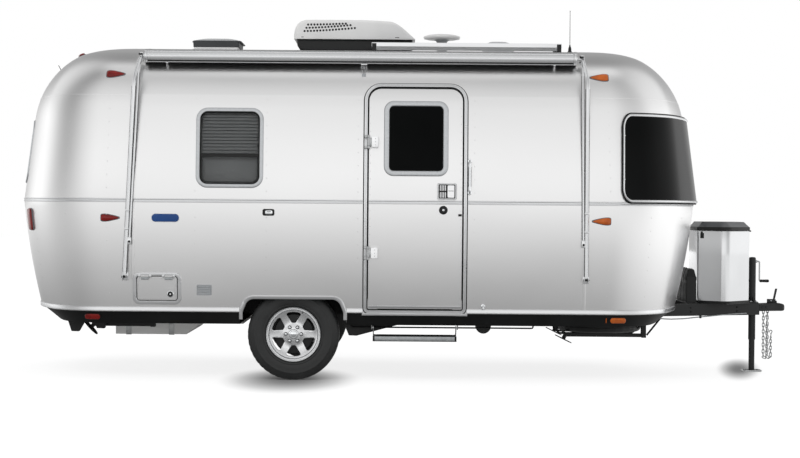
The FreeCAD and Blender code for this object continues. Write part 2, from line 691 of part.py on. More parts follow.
def axle():
    beam_x = axle_x + size.arm_length
    half = size.beam_size / 2
    beam_z = (size.rail_base - size.beam_size, size.rail_base)
    beam = box("beam", (beam_x - half, beam_x + half), (-size.arm_start, size.arm_start), beam_z)
    arm = slab("trailing_arm", "xz", [
        (axle_x - size.arm_half, size.tyre_radius - size.arm_half),
        (beam_x + half, size.rail_base - size.beam_size), (beam_x + half, size.rail_base),
        (beam_x, size.rail_base), (axle_x - size.arm_half, size.tyre_radius + size.arm_half)],
        -size.arm_start - size.arm_thickness, -size.arm_start)
    spindle_end = wheel_y + size.bead_half - size.disc_inset
    start = size.arm_start + size.arm_thickness
    spindle = rod("spindle", size.spindle_radius - size.spindle_play,
                  (axle_x, -spindle_end, size.tyre_radius), spindle_end - start + 1, "y")
    side = join("axle_side", arm, spindle)
    sub_part("axle_beam", join("axle", beam, side, mirror("street_axle_side", side)))


wheel_y = size.tyre_outer - size.tyre_width / 2


def wheels():
    half, seat_r = size.tyre_width / 2, size.rim_seat
    lip_r = seat_r + size.bead_rise
    rising = [(seat_r, size.bead_half), (lip_r + seat, size.bead_half), (lip_r + 6, half - 6),
              (size.bulge_radius, half), (size.tyre_radius - size.shoulder_drop * 3, half - 7),
              (size.tyre_radius - size.shoulder_drop, size.tread_half + 14),
              (size.tyre_radius, size.tread_half)]
    tyre = turned("tyre", rising + [(r, -y) for r, y in rising[::-1]])
    face = size.disc_inset - size.bead_half
    inner = seat_r - size.rim_wall
    lip_y = size.bead_half + size.rim_lip
    rim = turned("rim", [
        (size.spindle_radius, face), (inner, face), (inner, -lip_y), (lip_r, -lip_y),
        (lip_r, -size.bead_half), (seat_r, -size.bead_half), (seat_r, size.bead_half),
        (lip_r, size.bead_half), (lip_r, lip_y), (inner, lip_y), (inner, face + size.disc_thickness),
        (size.hub_radius, face + size.disc_thickness), (size.hub_radius, face + size.hub_depth),
        (size.spindle_radius, face + size.hub_depth)])
    centre = (axle_x, -wheel_y, size.tyre_radius)
    place(tyre, *centre)
    place(rim, *centre)
    windows = []
    for i in range(SPOKES):
        turn = math.radians(360 / SPOKES * i)
        corners = []
        for reach, angle in WINDOW_CORNERS:
            radius = size.spoke_inner if reach == 0 else size.spoke_outer
            corners.append((axle_x + radius * math.sin(turn + math.radians(angle)),
                            size.tyre_radius + radius * math.cos(turn + math.radians(angle))))
        windows.append(slab(f"spoke_window_{i}", "xz", corners,
                            -size.tyre_outer, -wheel_y + size.bead_half))
    cap = rod("hub_cap", size.cap_radius, (axle_x, -wheel_y + face - size.cap_length, size.tyre_radius),
              size.cap_length, "y")
    curb_rim = join("curb_rim", carve("rim_spokes", rim, *windows), cap)
    sub_part("tyre_curb", tyre)
    sub_part("rim_curb", curb_rim)
    sub_part("tyre_street", mirror("street_tyre", tyre))
    sub_part("rim_street", mirror("street_rim", curb_rim))


SPOKES = 6
WINDOW_CORNERS = [(0, -15), (1, -21), (1, -7), (1, 7), (1, 21), (0, 15)]


def wheel_wells():
    x = (axle_x - well_half, axle_x + well_half)
    thick = size.well_sheet
    top = size.tyre_radius * 2 + size.well_rise
    outside = box("well_outside", x, (-BEYOND, -size.well_inner), (size.floor_height, top))
    hollow = box("well_hollow", (x[0] + thick, x[1] - thick), (-BEYOND, -size.well_inner - thick),
                 (size.ring_start, top - thick))
    tub = carve("well_tub", outside, hollow)
    inside = middle_body("well_limit", -(size.wall + seat).value)
    sub_part("wheel_wells", both_sides("wells", overlap("well", tub, inside)))


def under_body():
    back = rear_seam - size.tank_back
    top = size.floor_height - size.pan_depth
    ramp = back + size.tank_length
    tail = ramp + size.tank_ramp + size.tank_tail
    tank = slab("tank", "xz", [
        (back, size.tank_base), (ramp, size.tank_base), (ramp + size.tank_ramp, size.tank_end_base),
        (tail, size.tank_end_base), (tail, top), (back, top)], -size.tank_half, size.tank_half)
    sub_part("holding_tank", tank)
    hub = size.spare_hub
    spare = carve("spare_tyre", rod("spare_round", size.spare_radius,
                                    (front_seam + size.spare_ahead, 0, size.spare_base), size.spare_width),
                  rod("spare_centre", hub, (front_seam + size.spare_ahead, 0, size.spare_base), hub))
    sub_part("spare_wheel", spare)


# ---- tongue: coupler, jack, gas bottles and battery


def coupler():
    back = front_seam + size.tongue_end
    tip = back + size.coupler_length
    top = size.coupler_base + size.coupler_height
    shell = slab("coupler_shell", "xy", [
        (back, -size.coupler_back_half), (tip - size.socket_inset, -size.coupler_nose_half),
        (tip, -size.coupler_nose_half / 2), (tip, size.coupler_nose_half / 2),
        (tip - size.socket_inset, size.coupler_nose_half), (back, size.coupler_back_half)],
        size.coupler_base, top)
    socket = rod("socket", size.socket_radius, (tip - size.socket_inset, 0, size.coupler_base),
                 size.socket_depth)
    lever_x = tip - size.socket_inset * 2
    lever = slab("lever", "xz", [
        (lever_x - size.socket_inset / 2, top - 1), (lever_x, top - 1),
        (tip - size.socket_inset, top + size.lever_rise),
        (tip - size.socket_inset - size.lever_top, top + size.lever_rise)],
        -size.lever_half, size.lever_half)
    sub_part("coupler", join("coupler_body", carve("coupler_hollow", shell, socket), lever))


def jack():
    x = front_seam + size.jack_ahead
    tall = size.jack_top - size.jack_bottom
    tube = rod("jack_outer", size.jack_radius, (x, 0, size.jack_bottom), tall)
    flange = box("jack_flange", (x - size.jack_flange, x + size.jack_flange_ahead),
                 (-size.jack_flange_half, size.jack_flange_half),
                 (rail_top, rail_top + size.jack_flange_height))
    bore = rod("jack_bore", size.jack_leg_radius + size.jack_play, (x, 0, size.jack_bottom),
               tall - size.jack_head)
    reach = size.jack_radius + size.crank_reach
    crank = rod("crank_bar", size.crank_radius, (x, 0, size.crank_height), reach, "x")
    grip_z = size.crank_height - size.crank_drop
    drop = rod("crank_drop", size.drop_radius, (x + reach, 0, grip_z), size.crank_drop + size.drop_over)
    grip = rod("crank_grip", size.grip_radius, (x + reach - size.grip_radius, 0, grip_z),
               size.grip_length, "x")
    body = join("jack_body", tube, flange, crank, drop, grip)
    sub_part("jack_tube", carve("jack_hollow", body, bore))
    leg_top = size.jack_bottom + size.jack_leg_hidden
    leg = rod("jack_inner", size.jack_leg_radius, (x, 0, 0), leg_top)
    foot = box("jack_foot", (x - size.jack_foot_half, x + size.jack_foot_half),
               (-size.jack_foot_half, size.jack_foot_half), (0, size.jack_foot_height))
    sub_part("jack_leg", join("jack_leg_body", leg, foot))


def cover_corners(grow=0):
    """The gas locker's six-sided plan, grown all round."""
    reach = size.corner_reach * grow
    street = [(front_seam + size.cover_back - grow, size.cover_back_half + reach),
              (front_seam + size.cover_wide, size.cover_wide_half + grow),
              (front_seam + size.cover_front + grow, size.cover_front_half + reach)]
    return [(x, -y) for x, y in street] + street[::-1]


def hinge(name, at, axis, length, pin, barrel):
    """A pinned hinge at a point, with its pin centred there: the moving knuckle and the fixed ends."""
    lug, gap = size.hinge_lug, size.hinge_gap

    def along(shift):
        start = list(at)
        index = "xyz".index(axis)
        start[index] = at[index] + shift
        return start

    half = length / 2
    knuckle = carve(name + "_knuckle",
                    rod(name + "_round", barrel, along(-half), length, axis),
                    rod(name + "_hole", pin + size.hinge_play, along(-half - 1), length + 2, axis))
    reach = half + gap + lug
    ends = join(name + "_ends",
                rod(name + "_low_end", barrel, along(-reach), lug, axis),
                rod(name + "_high_end", barrel, along(half + gap), lug, axis),
                rod(name + "_pin", pin, along(-reach), reach * 2, axis))
    return knuckle, ends


def gas_locker():
    base = rail_top + size.tray_height
    plate = slab("tray_plate", "xy", cover_corners(size.tray_height), rail_top, base)
    shelf = box("battery_shelf", (front_seam + size.battery_back, front_seam + size.cover_back),
                (-size.battery_half, size.battery_half), (rail_top, base))
    sub_part("gas_tray", join("tray", plate, shelf))
    bottle_x, neck_z = front_seam + size.bottle_ahead, base + size.bottle_height
    bottle = join(
        "bottle",
        rod("bottle_body", size.bottle_radius, (bottle_x, -size.bottle_side, base), size.bottle_height),
        rod("bottle_neck", size.neck_radius, (bottle_x, -size.bottle_side, neck_z), size.neck_height))
    sub_part("gas_bottles", both_sides("bottles", bottle))
    rim_z = base + size.cover_rise
    wall = carve("cover_wall", slab("cover_outside", "xy", cover_corners(), base, rim_z),
                 slab("cover_inside", "xy", cover_corners(-size.cover_sheet), base, rim_z))
    front = front_seam + size.cover_front
    hinge_x = front + size.lid_stand
    knuckle, ends = hinge("lid_hinge", (hinge_x, 0, rim_z), "y",
                          size.lid_knuckle, size.hatch_pin, size.hatch_barrel)
    reach = size.lid_knuckle / 2 + size.hinge_gap + size.hinge_lug
    blocks = []
    for i, sign in enumerate((-1, 1)):
        inner, outer = size.lid_knuckle / 2 + size.hinge_gap, reach
        y = (-outer, -inner) if sign < 0 else (inner, outer)
        blocks.append(box(f"cover_lug_{i}", (front - 1, hinge_x), y, (rim_z - size.hinge_lug, rim_z)))
    lid_gap = rod("lid_barrel_gap", size.hatch_barrel + seat, (hinge_x, -reach, rim_z), reach * 2, "y")
    sub_part("tank_cover", join("cover", wall, ends, *blocks))
    lid_base = rim_z + seat
    steps = [(0, 0), (size.lid_side.value, 0), (size.lid_rise.value, size.lid_bevel.value)]

    def hexagon(height, inset):
        points = [Vector(as_size(x).value, as_size(y).value, height) for x, y in cover_corners(-inset)]
        return Part.makePolygon(points + points[:1])

    thick = size.lid_sheet.value
    outside = Part.makeLoft([hexagon(lid_base.value + up, inset) for up, inset in steps], True, True)
    inside = Part.makeLoft([hexagon(lid_base.value + up - (thick if up > 0 else 0), inset + thick)
                            for up, inset in steps], True, True)
    shell = feature("lid_shell", outside.cut(inside))
    leaf = box("lid_leaf", (front - size.lid_sheet, hinge_x), (-size.lid_knuckle / 2, size.lid_knuckle / 2),
               (lid_base, lid_base + size.hatch_barrel - seat))
    clear = carve("lid_body", shell, lid_gap)
    sub_part("tank_lid", join("lid", clear, knuckle, carve("lid_leaf_cut", leaf, rod(
        "lid_pin_gap", size.hatch_pin + size.hinge_play, (hinge_x, -reach, rim_z), reach * 2, "y"))))
    battery_x = front_seam + size.battery_back
    battery = box("battery", (battery_x, battery_x + size.battery_length),
                  (-size.battery_half, size.battery_half), (base, base + size.battery_rise))
    sub_part("battery_box", battery)


def chains():
    x = front_seam + size.chain_ahead
    low = size.chain_bottom + size.chain_radius + size.chain_bend
    runs = [rod(f"chain_run_{i}", size.chain_radius, (x + shift, -size.chain_side, low),
                size.coupler_base - low)
            for i, shift in enumerate((-size.chain_bend, size.chain_bend))]
    bend = doc.addObject("Part::Torus", "chain_bend")
    bind(bend, Radius1=size.chain_bend, Radius2=size.chain_radius)
    place(bend, x, -size.chain_side, low, TURNS["y"])
    lower = carve("chain_half", bend, box("chain_trim", (x - size.chain_bend * 3, x + size.chain_bend * 3),
                                          (-size.chain_side * 2, 0), (low, low + size.chain_bend * 3)))
    sub_part("safety_chains", both_sides("chains", join("chain", *runs, lower)))


# ---- windows


def windows():
    glass_low = -(size.glass_inset + size.glass_thickness)
    flange = layer("flange_layer", middle_body, seat, size.frame_proud)
    glazing = layer("glazing_layer", middle_body, glass_low, -size.glass_inset)
    end_flange = layer("end_flange_layer", envelope, seat, size.frame_proud)
    end_glazing = layer("end_glazing_layer", envelope, glass_low, -size.glass_inset)
    frames, panes = [], []

    def side_window(name, start, length, side):
        opening = (start, size.window_height, length, size.window_rise)
        outer = side_prism(name + "_border", rectangle(*opening), size.window_corner, side)
        hole = side_prism(name + "_inner", rectangle(*opening, -size.window_border), glass_corner, side)
        frames.append(carve(name + "_frame", overlap(name + "_ring", flange, outer), hole))
        pane = side_prism(name + "_pane_outline", rectangle(*opening, -size.window_border - seat),
                          glass_corner - seat, side)
        panes.append(overlap(name + "_pane", glazing, pane))

    side_window("curb_window", rear_seam + size.curb_window_start, size.curb_window_length, -1)
    for i, start in enumerate(street_starts):
        side_window(f"street_window_{i}", start, size.street_window_length, 1)
    back = (rear_end * 2, rear_seam)
    rear_border = rectangle(-size.rear_window_half, size.rear_window_height,
                            size.rear_window_half * 2, size.rear_window_rise)
    rear_outer = prism("rear_border", "yz", rear_border, size.window_corner, *back)
    rear_inner = prism("rear_inner", "yz", rear_glass, glass_corner, *back)
    frames.append(carve("rear_frame", overlap("rear_ring", end_flange, rear_outer), rear_inner))
    rear_pane = prism("rear_pane_outline", "yz", rectangle(
        -size.rear_window_half, size.rear_window_height, size.rear_window_half * 2,
        size.rear_window_rise, -size.window_border - seat), glass_corner - seat, *back)
    panes.append(overlap("rear_pane", end_glazing, rear_pane))
    front_pane = prism("front_pane_outline", "yz", rectangle(
        -size.front_opening_half, size.front_opening_height, size.front_opening_half * 2,
        size.front_opening_rise, -seat), glass_corner - seat, front_seam, front_end * 2)
    panes.append(overlap("front_pane", end_glazing, front_pane))
    hatch_outer = side_prism("hatch_border", rectangle(*hatch_leaf, size.hatch_gap + size.hatch_border),
                             size.hatch_corner + size.hatch_border)
    hatch_inner = side_prism("hatch_inner", rectangle(*hatch_leaf, size.hatch_gap),
                             size.hatch_corner + size.hatch_gap)
    frames.append(carve("hatch_frame", overlap("hatch_ring", flange, hatch_outer), hatch_inner))
    frames += hatch_ends
    sub_part("window_frames", group("frames", *frames))
    sub_part("window_panes", group("panes", *panes))


def front_guard():
    """The dark wrap-round guard over the front windows, with a rim that stands on the skin."""
    zone = box("guard_zone", (front_seam + size.guard_start, front_end * 2), (-BEYOND, BEYOND),
               (size.guard_height, size.guard_height + size.guard_rise))
    core = box("guard_core", (front_seam + size.guard_start + size.guard_rim, front_end * 2),
               (-BEYOND, BEYOND),
               (size.guard_height + size.guard_rim, size.guard_height + size.guard_rise - size.guard_rim))
    full = overlap("guard_full", layer("guard_layer", envelope, seat, size.guard_stand), zone)
    under = layer("guard_under", envelope, 0, size.guard_stand - size.guard_skin)
    sub_part("front_guard", carve("guard", full, overlap("guard_hollow", under, core)))


# ---- entry door and storage hatch


hinge_x = rear_seam + size.door_start - size.door_gap / 2
hinge_y = -size.half_width - size.hinge_stand


def door():
    wall_layer = layer("door_layer", middle_body, -size.door_thickness, 0)
    flange = layer("door_flange_layer", middle_body, seat, size.door_frame_proud)
    trim_layer = layer("door_trim_layer", middle_body, seat, size.frame_proud)
    glazing = layer("door_glazing_layer", middle_body, -(size.glass_inset + size.glass_thickness),
                    -size.glass_inset)
    leaf = overlap("door_leaf_blank", wall_layer,
                   side_prism("door_leaf_outline", rectangle(*door_leaf), door_radii()))
    pane_at = (rear_seam + size.door_start + size.pane_from_hinge, size.door_sill + size.pane_above_sill,
               size.pane_width, size.pane_rise)
    pane_hole = side_prism("door_pane_hole", rectangle(*pane_at), size.pane_corner)
    leaf = carve("door_leaf_glazed", leaf, pane_hole)
    frame_outer = side_prism("door_frame_outline", rectangle(*door_leaf, door_frame_reach),
                             door_radii(door_frame_reach))
    frame_inner = side_prism("door_frame_inner", rectangle(*door_leaf, size.door_gap),
                             door_radii(size.door_gap))
    frame = carve("door_frame_ring", overlap("door_frame_blank", flange, frame_outer), frame_inner)
    leaf_parts, frame_parts = [leaf], [frame]
    frame_face = middle_body("frame_face", size.door_frame_proud.value)
    for tag, z in (("low", size.hinge_low), ("high", size.hinge_high)):
        knuckle, ends = hinge(f"{tag}_hinge", (hinge_x, hinge_y, z), "z", size.hinge_length,
                              size.hinge_pin, size.hinge_barrel)
        half = size.hinge_length / 2
        plate = box(f"{tag}_leaf_plate", (hinge_x, hinge_x + size.hinge_leaf),
                    (hinge_y - size.hinge_plate / 2, hinge_y + size.hinge_plate / 2), (z - half, z + half))
        foot = box(f"{tag}_leaf_foot", (hinge_x + size.hinge_leaf / 2, hinge_x + size.hinge_leaf),
                   (hinge_y, -size.half_width * FITTING_ROOT), (z - half, z + half))
        hole = rod(f"{tag}_plate_hole", size.hinge_pin + size.hinge_play, (hinge_x, hinge_y, z - half),
                   size.hinge_length)
        leaf_parts += [knuckle, carve(f"{tag}_leaf", join(f"{tag}_leaf_blank", plate, foot), hole, skin)]
        reach = half + size.hinge_gap + size.hinge_lug
        lugs = []
        for side, (low, high) in (("under", (z - reach, z - half - size.hinge_gap)),
                                  ("over", (z + half + size.hinge_gap, z + reach))):
            lugs.append(box(f"{tag}_lug_{side}", (hinge_x - size.door_border, hinge_x),
                            (hinge_y, -size.half_width * FITTING_ROOT), (low, high)))
            lugs.append(box(f"{tag}_lug_plate_{side}", (hinge_x - size.door_border, hinge_x),
                            (hinge_y - size.hinge_plate / 2, hinge_y + size.hinge_plate / 2),
                            (low, high)))
        keep_clear = box(f"{tag}_lug_clear", (hinge_x - size.door_gap / 2, hinge_x + size.door_border),
                         (-size.half_width - size.door_frame_proud, 0), (z - reach, z + reach))
        block = carve(f"{tag}_lug_body", join(f"{tag}_lug_blank", *lugs), frame_face, keep_clear)
        frame_parts += [ends, block]
    sub_part("entry_door", join("door", *leaf_parts))
    sub_part("door_frame", join("door_surround", *frame_parts))
    sub_part("door_pane", overlap("door_glass", glazing, side_prism(
        "door_pane_outline", rectangle(*pane_at, -seat), size.pane_corner - seat)))
    ring_outline = side_prism("door_window_outline", rectangle(*pane_at, size.window_border),
                              size.pane_corner + size.window_border)
    window_ring = carve("door_window_ring", overlap("door_window_blank", trim_layer, ring_outline),
                        pane_hole)
    start = rear_seam + size.door_start + size.handle_from_hinge
    low = size.door_sill + size.handle_above_sill
    reach_y = -size.half_width - size.handle_proud
    plate = carve("handle_plate", box("handle_blank", (start, start + size.handle_width),
                                      (reach_y, -size.half_width * FITTING_ROOT),
                                      (low, low + size.handle_height)), skin)
    bolt_at = (start + size.bolt_inset, -size.half_width - size.bolt_proud, low - size.bolt_drop)
    bolt = carve("door_bolt", rod("bolt_blank", size.bolt_radius, bolt_at, size.bolt_proud * 2, "y"), skin)
    sub_part("door_trim", group("door_fittings", window_ring, plate, bolt))


def grab_handle():
    x = rear_seam + size.door_start + size.door_width + door_frame_reach + size.grab_ahead
    y = -size.half_width - size.grab_stand
    bar = rod("grab_bar", size.grab_radius, (x, y, size.grab_height), size.grab_rise)
    feet = []
    for i, z in enumerate((size.grab_height, size.grab_height + size.grab_rise - size.grab_foot)):
        feet.append(box(f"grab_foot_{i}", (x - size.grab_radius, x + size.grab_radius),
                        (y, -size.half_width * FITTING_ROOT), (z, z + size.grab_foot)))
    sub_part("grab_handle", carve("grab", join("grab_blank", bar, *feet), skin))


def hatch():
    wall_layer = layer("hatch_layer", middle_body, -size.hatch_thickness, 0)
    leaf = overlap("hatch_leaf", wall_layer,
                   side_prism("hatch_outline", rectangle(*hatch_leaf), size.hatch_corner))
    middle_x = rear_seam + size.hatch_start + size.hatch_width / 2
    pivot_y = -size.half_width - size.hatch_stand + size.hatch_lean
    pivot_z = size.hatch_sill + size.hatch_rise + size.hatch_gap / 2
    leaf_parts, fixed = [leaf], []
    for i, shift in enumerate((-size.hatch_hinge_reach, size.hatch_hinge_reach)):
        x = middle_x + shift
        knuckle, ends = hinge(f"hatch_hinge_{i}", (x, pivot_y, pivot_z), "x", size.hatch_knuckle,
                              size.hatch_pin, size.hatch_barrel)
        half = size.hatch_knuckle / 2
        plate = box(f"hatch_plate_{i}", (x - half, x + half), (pivot_y - size.hinge_plate / 2,
                    pivot_y + size.hinge_plate / 2), (pivot_z - size.hatch_knuckle / 2, pivot_z))
        foot = box(f"hatch_foot_{i}", (x - half, x + half), (pivot_y, -size.half_width * FITTING_ROOT),
                   (pivot_z - size.hatch_knuckle / 2, pivot_z - size.hatch_knuckle / 4))
        hole = rod(f"hatch_plate_hole_{i}", size.hatch_pin + size.hinge_play, (x - half, pivot_y, pivot_z),
                   size.hatch_knuckle, "x")
        strap = join(f"hatch_strap_blank_{i}", plate, foot)
        leaf_parts += [knuckle, carve(f"hatch_strap_{i}", strap, hole, skin)]
        reach = half + size.hinge_gap + size.hinge_lug
        lugs = []
        for tag, (low, high) in (("rear", (x - reach, x - half - size.hinge_gap)),
                                 ("front", (x + half + size.hinge_gap, x + reach))):
            lug_z = (pivot_z, pivot_z + size.hatch_lug)
            lugs.append(box(f"hatch_lug_{i}_{tag}", (low, high),
                            (pivot_y, -size.half_width * FITTING_ROOT), lug_z))
            lugs.append(box(f"hatch_lug_plate_{i}_{tag}", (low, high), (
                pivot_y - size.hinge_plate / 2, pivot_y + size.hinge_plate / 2), lug_z))
        face = middle_body(f"hatch_frame_face_{i}", size.frame_proud.value)
        lug_body = carve(f"hatch_lugs_{i}", join(f"hatch_lugs_blank_{i}", *lugs), face)
        fixed += [join(f"hatch_mount_{i}", ends, lug_body)]
    sub_part("curb_hatch", join("hatch", *leaf_parts))
    return fixed


# ---- step and stabilisers


def step():
    low_x = rear_seam + size.step_start
    pan_base = size.floor_height - size.pan_depth
    stow = math.radians(size.step_stow.value)
    pivots = [(-size.step_pivot_y, size.step_pivot_z),
              (-size.step_pivot_y - size.step_link_offset, size.step_pivot_z)]
    hang_y, hang_z = size.step_arm * math.sin(stow), size.step_arm * math.cos(stow)
    ends = [(y + hang_y, z - hang_z) for y, z in pivots]
    thick, gap, pin = size.hanger_sheet, size.step_side_gap, size.step_pin
    eye = size.step_eye
    hangers, arms, links, cheeks = [], [], [], []
    for tag, x, sign in (("rear", low_x, 1), ("front", low_x + size.step_length, -1)):
        def span(first, last):
            a, b = x + sign * as_size(first), x + sign * as_size(last)
            return (a, b) if sign > 0 else (b, a)

        plate = span(0, thick)
        hanger = slab(f"{tag}_hanger", "yz", [
            (pivots[1][0] - eye, pivots[1][1] - eye), (pivots[0][0] + eye, pivots[0][1] - eye),
            (pivots[0][0] + eye * 2, pan_base), (pivots[1][0] - eye * 2, pan_base)], *plate)
        arm_x = span(thick + gap, thick * 2 + gap)
        cheek_x = span(thick * 2 + gap * 2, thick * 3 + gap * 2)
        pins = []
        for i, (y, z) in enumerate(pivots):
            low, high = span(0, thick * 2 + gap + 2)
            pins.append(rod(f"{tag}_hanger_pin_{i}", pin, (low, y, z), high - low, "x"))
        hangers.append(join(f"{tag}_hanger_body", hanger, *pins))
        for i, ((y, z), (ey, ez), bars) in enumerate(zip(pivots, ends, (arms, links))):
            slant_y, slant_z = eye * math.cos(stow), eye * math.sin(stow)
            bar = slab(f"{tag}_bar_{i}", "yz", [
                (y - slant_y, z - slant_z), (ey - slant_y, ez - slant_z),
                (ey + slant_y, ez + slant_z), (y + slant_y, z + slant_z)], *arm_x)
            width = arm_x[1] - arm_x[0]
            eyes = [rod(f"{tag}_eye_{i}_{j}", eye, (arm_x[0], py, pz), width, "x")
                    for j, (py, pz) in enumerate(((y, z), (ey, ez)))]
            holes = [rod(f"{tag}_eye_hole_{i}_{j}", pin + size.hinge_play,
                         (arm_x[0] - 1, py, pz), width + 2, "x")
                     for j, (py, pz) in enumerate(((y, z), (ey, ez)))]
            bars.append(carve(f"{tag}_arm_{i}", join(f"{tag}_arm_blank_{i}", bar, *eyes), *holes))
        cheek = slab(f"{tag}_cheek", "yz", [
            (-size.tread_outer + size.tread_sheet, ends[0][1] - size.tread_below - 1),
            (ends[0][0] + eye * 2, ends[0][1] - size.tread_below - 1),
            (ends[0][0] + eye * 2, ends[0][1] + eye), (ends[1][0] - eye, ends[0][1] + eye)], *cheek_x)
        cheek_pins = []
        for i, (ey, ez) in enumerate(ends):
            low, high = span(thick + gap - 2, thick * 3 + gap * 2)
            cheek_pins.append(rod(f"{tag}_cheek_pin_{i}", pin, (low, ey, ez), high - low, "x"))
        cheeks += [cheek, *cheek_pins]
    inner = size.hanger_sheet * 2 + gap * 2
    tread = box("tread_plate", (low_x + inner, low_x + size.step_length - inner),
                (-size.tread_outer, -size.tread_outer + size.tread_depth),
                (ends[0][1] - size.tread_below - size.tread_sheet, ends[0][1] - size.tread_below))
    sub_part("step_hangers", group("hangers", *hangers))
    sub_part("step_arms", group("step_arm_pair", *arms))
    sub_part("step_links", group("step_link_pair", *links))
    sub_part("step_tread", join("tread", tread, *cheeks))


def stabiliser(name, pivot_x, side_y, z, length):
    """One drop leg, stowed level behind its pivot, and the bracket that it hangs in."""
    drop = math.asin((z.value - size.pad_thickness.value - size.leg_post.value) / length.value)
    half, tall = size.leg_width / 2, size.leg_height / 2
    pad_x = pivot_x - length
    bar = box(name + "_bar", (pad_x, pivot_x), (side_y - half, side_y + half), (z - tall, z + tall))
    eye = rod(name + "_eye", size.leg_eye, (pivot_x, side_y - half, z), size.leg_width, "y")
    hole = rod(name + "_hole", size.leg_pin + size.hinge_play, (pivot_x, side_y - half - 1, z),
               size.leg_width + 2, "y")
    lean = Vector(-math.sin(drop), 0, -math.cos(drop))
    tilt = Rotation(Vector(0, 0, 1), lean)
    post = rod(name + "_post", size.leg_post_radius, (pad_x + size.leg_post_radius, side_y, z),
               size.leg_post, turn=tilt)
    pad_at = (pad_x + size.leg_post_radius + size.leg_post * lean.x, side_y, z + size.leg_post * lean.z)
    pad = rod(name + "_pad", size.pad_radius, pad_at, size.pad_thickness, turn=tilt)
    body = carve(name + "_leg", join(name + "_blank", bar, eye, post, pad), hole)
    cheeks = []
    outer = half + size.cheek_gap + size.cheek
    inner = half + size.cheek_gap
    top = size.floor_height - size.pan_depth
    for tag, span in (("near", (side_y - outer, side_y - inner)), ("far", (side_y + inner, side_y + outer))):
        cheeks.append(box(f"{name}_cheek_{tag}", (pivot_x - size.leg_eye, pivot_x + size.leg_eye), span,
                          (z - size.leg_eye, top)))
    pin = rod(name + "_pin", size.leg_pin, (pivot_x, side_y - outer, z), outer * 2, "y")
    bracket = join(name + "_bracket", *cheeks, pin)
    return body, bracket


def stabilisers():
    brackets = []
    for name, x, y, z, length in (
            ("front_leg", front_seam + size.front_leg_pivot, size.front_leg_y, size.front_leg_z,
             size.front_leg_length),
            ("rear_leg", rear_seam + size.rear_leg_pivot, size.rear_leg_y, size.rear_leg_z,
             size.rear_leg_length)):
        body, bracket = stabiliser(name, x, -y, z, length)
        sub_part(name + "_curb", body)
        sub_part(name + "_street", mirror(name + "_mirrored", body))
        brackets += [bracket, mirror(name + "_bracket_mirrored", bracket)]
    sub_part("leg_brackets", group("stabiliser_brackets", *brackets))


# ---- roof fittings, awning and lamps


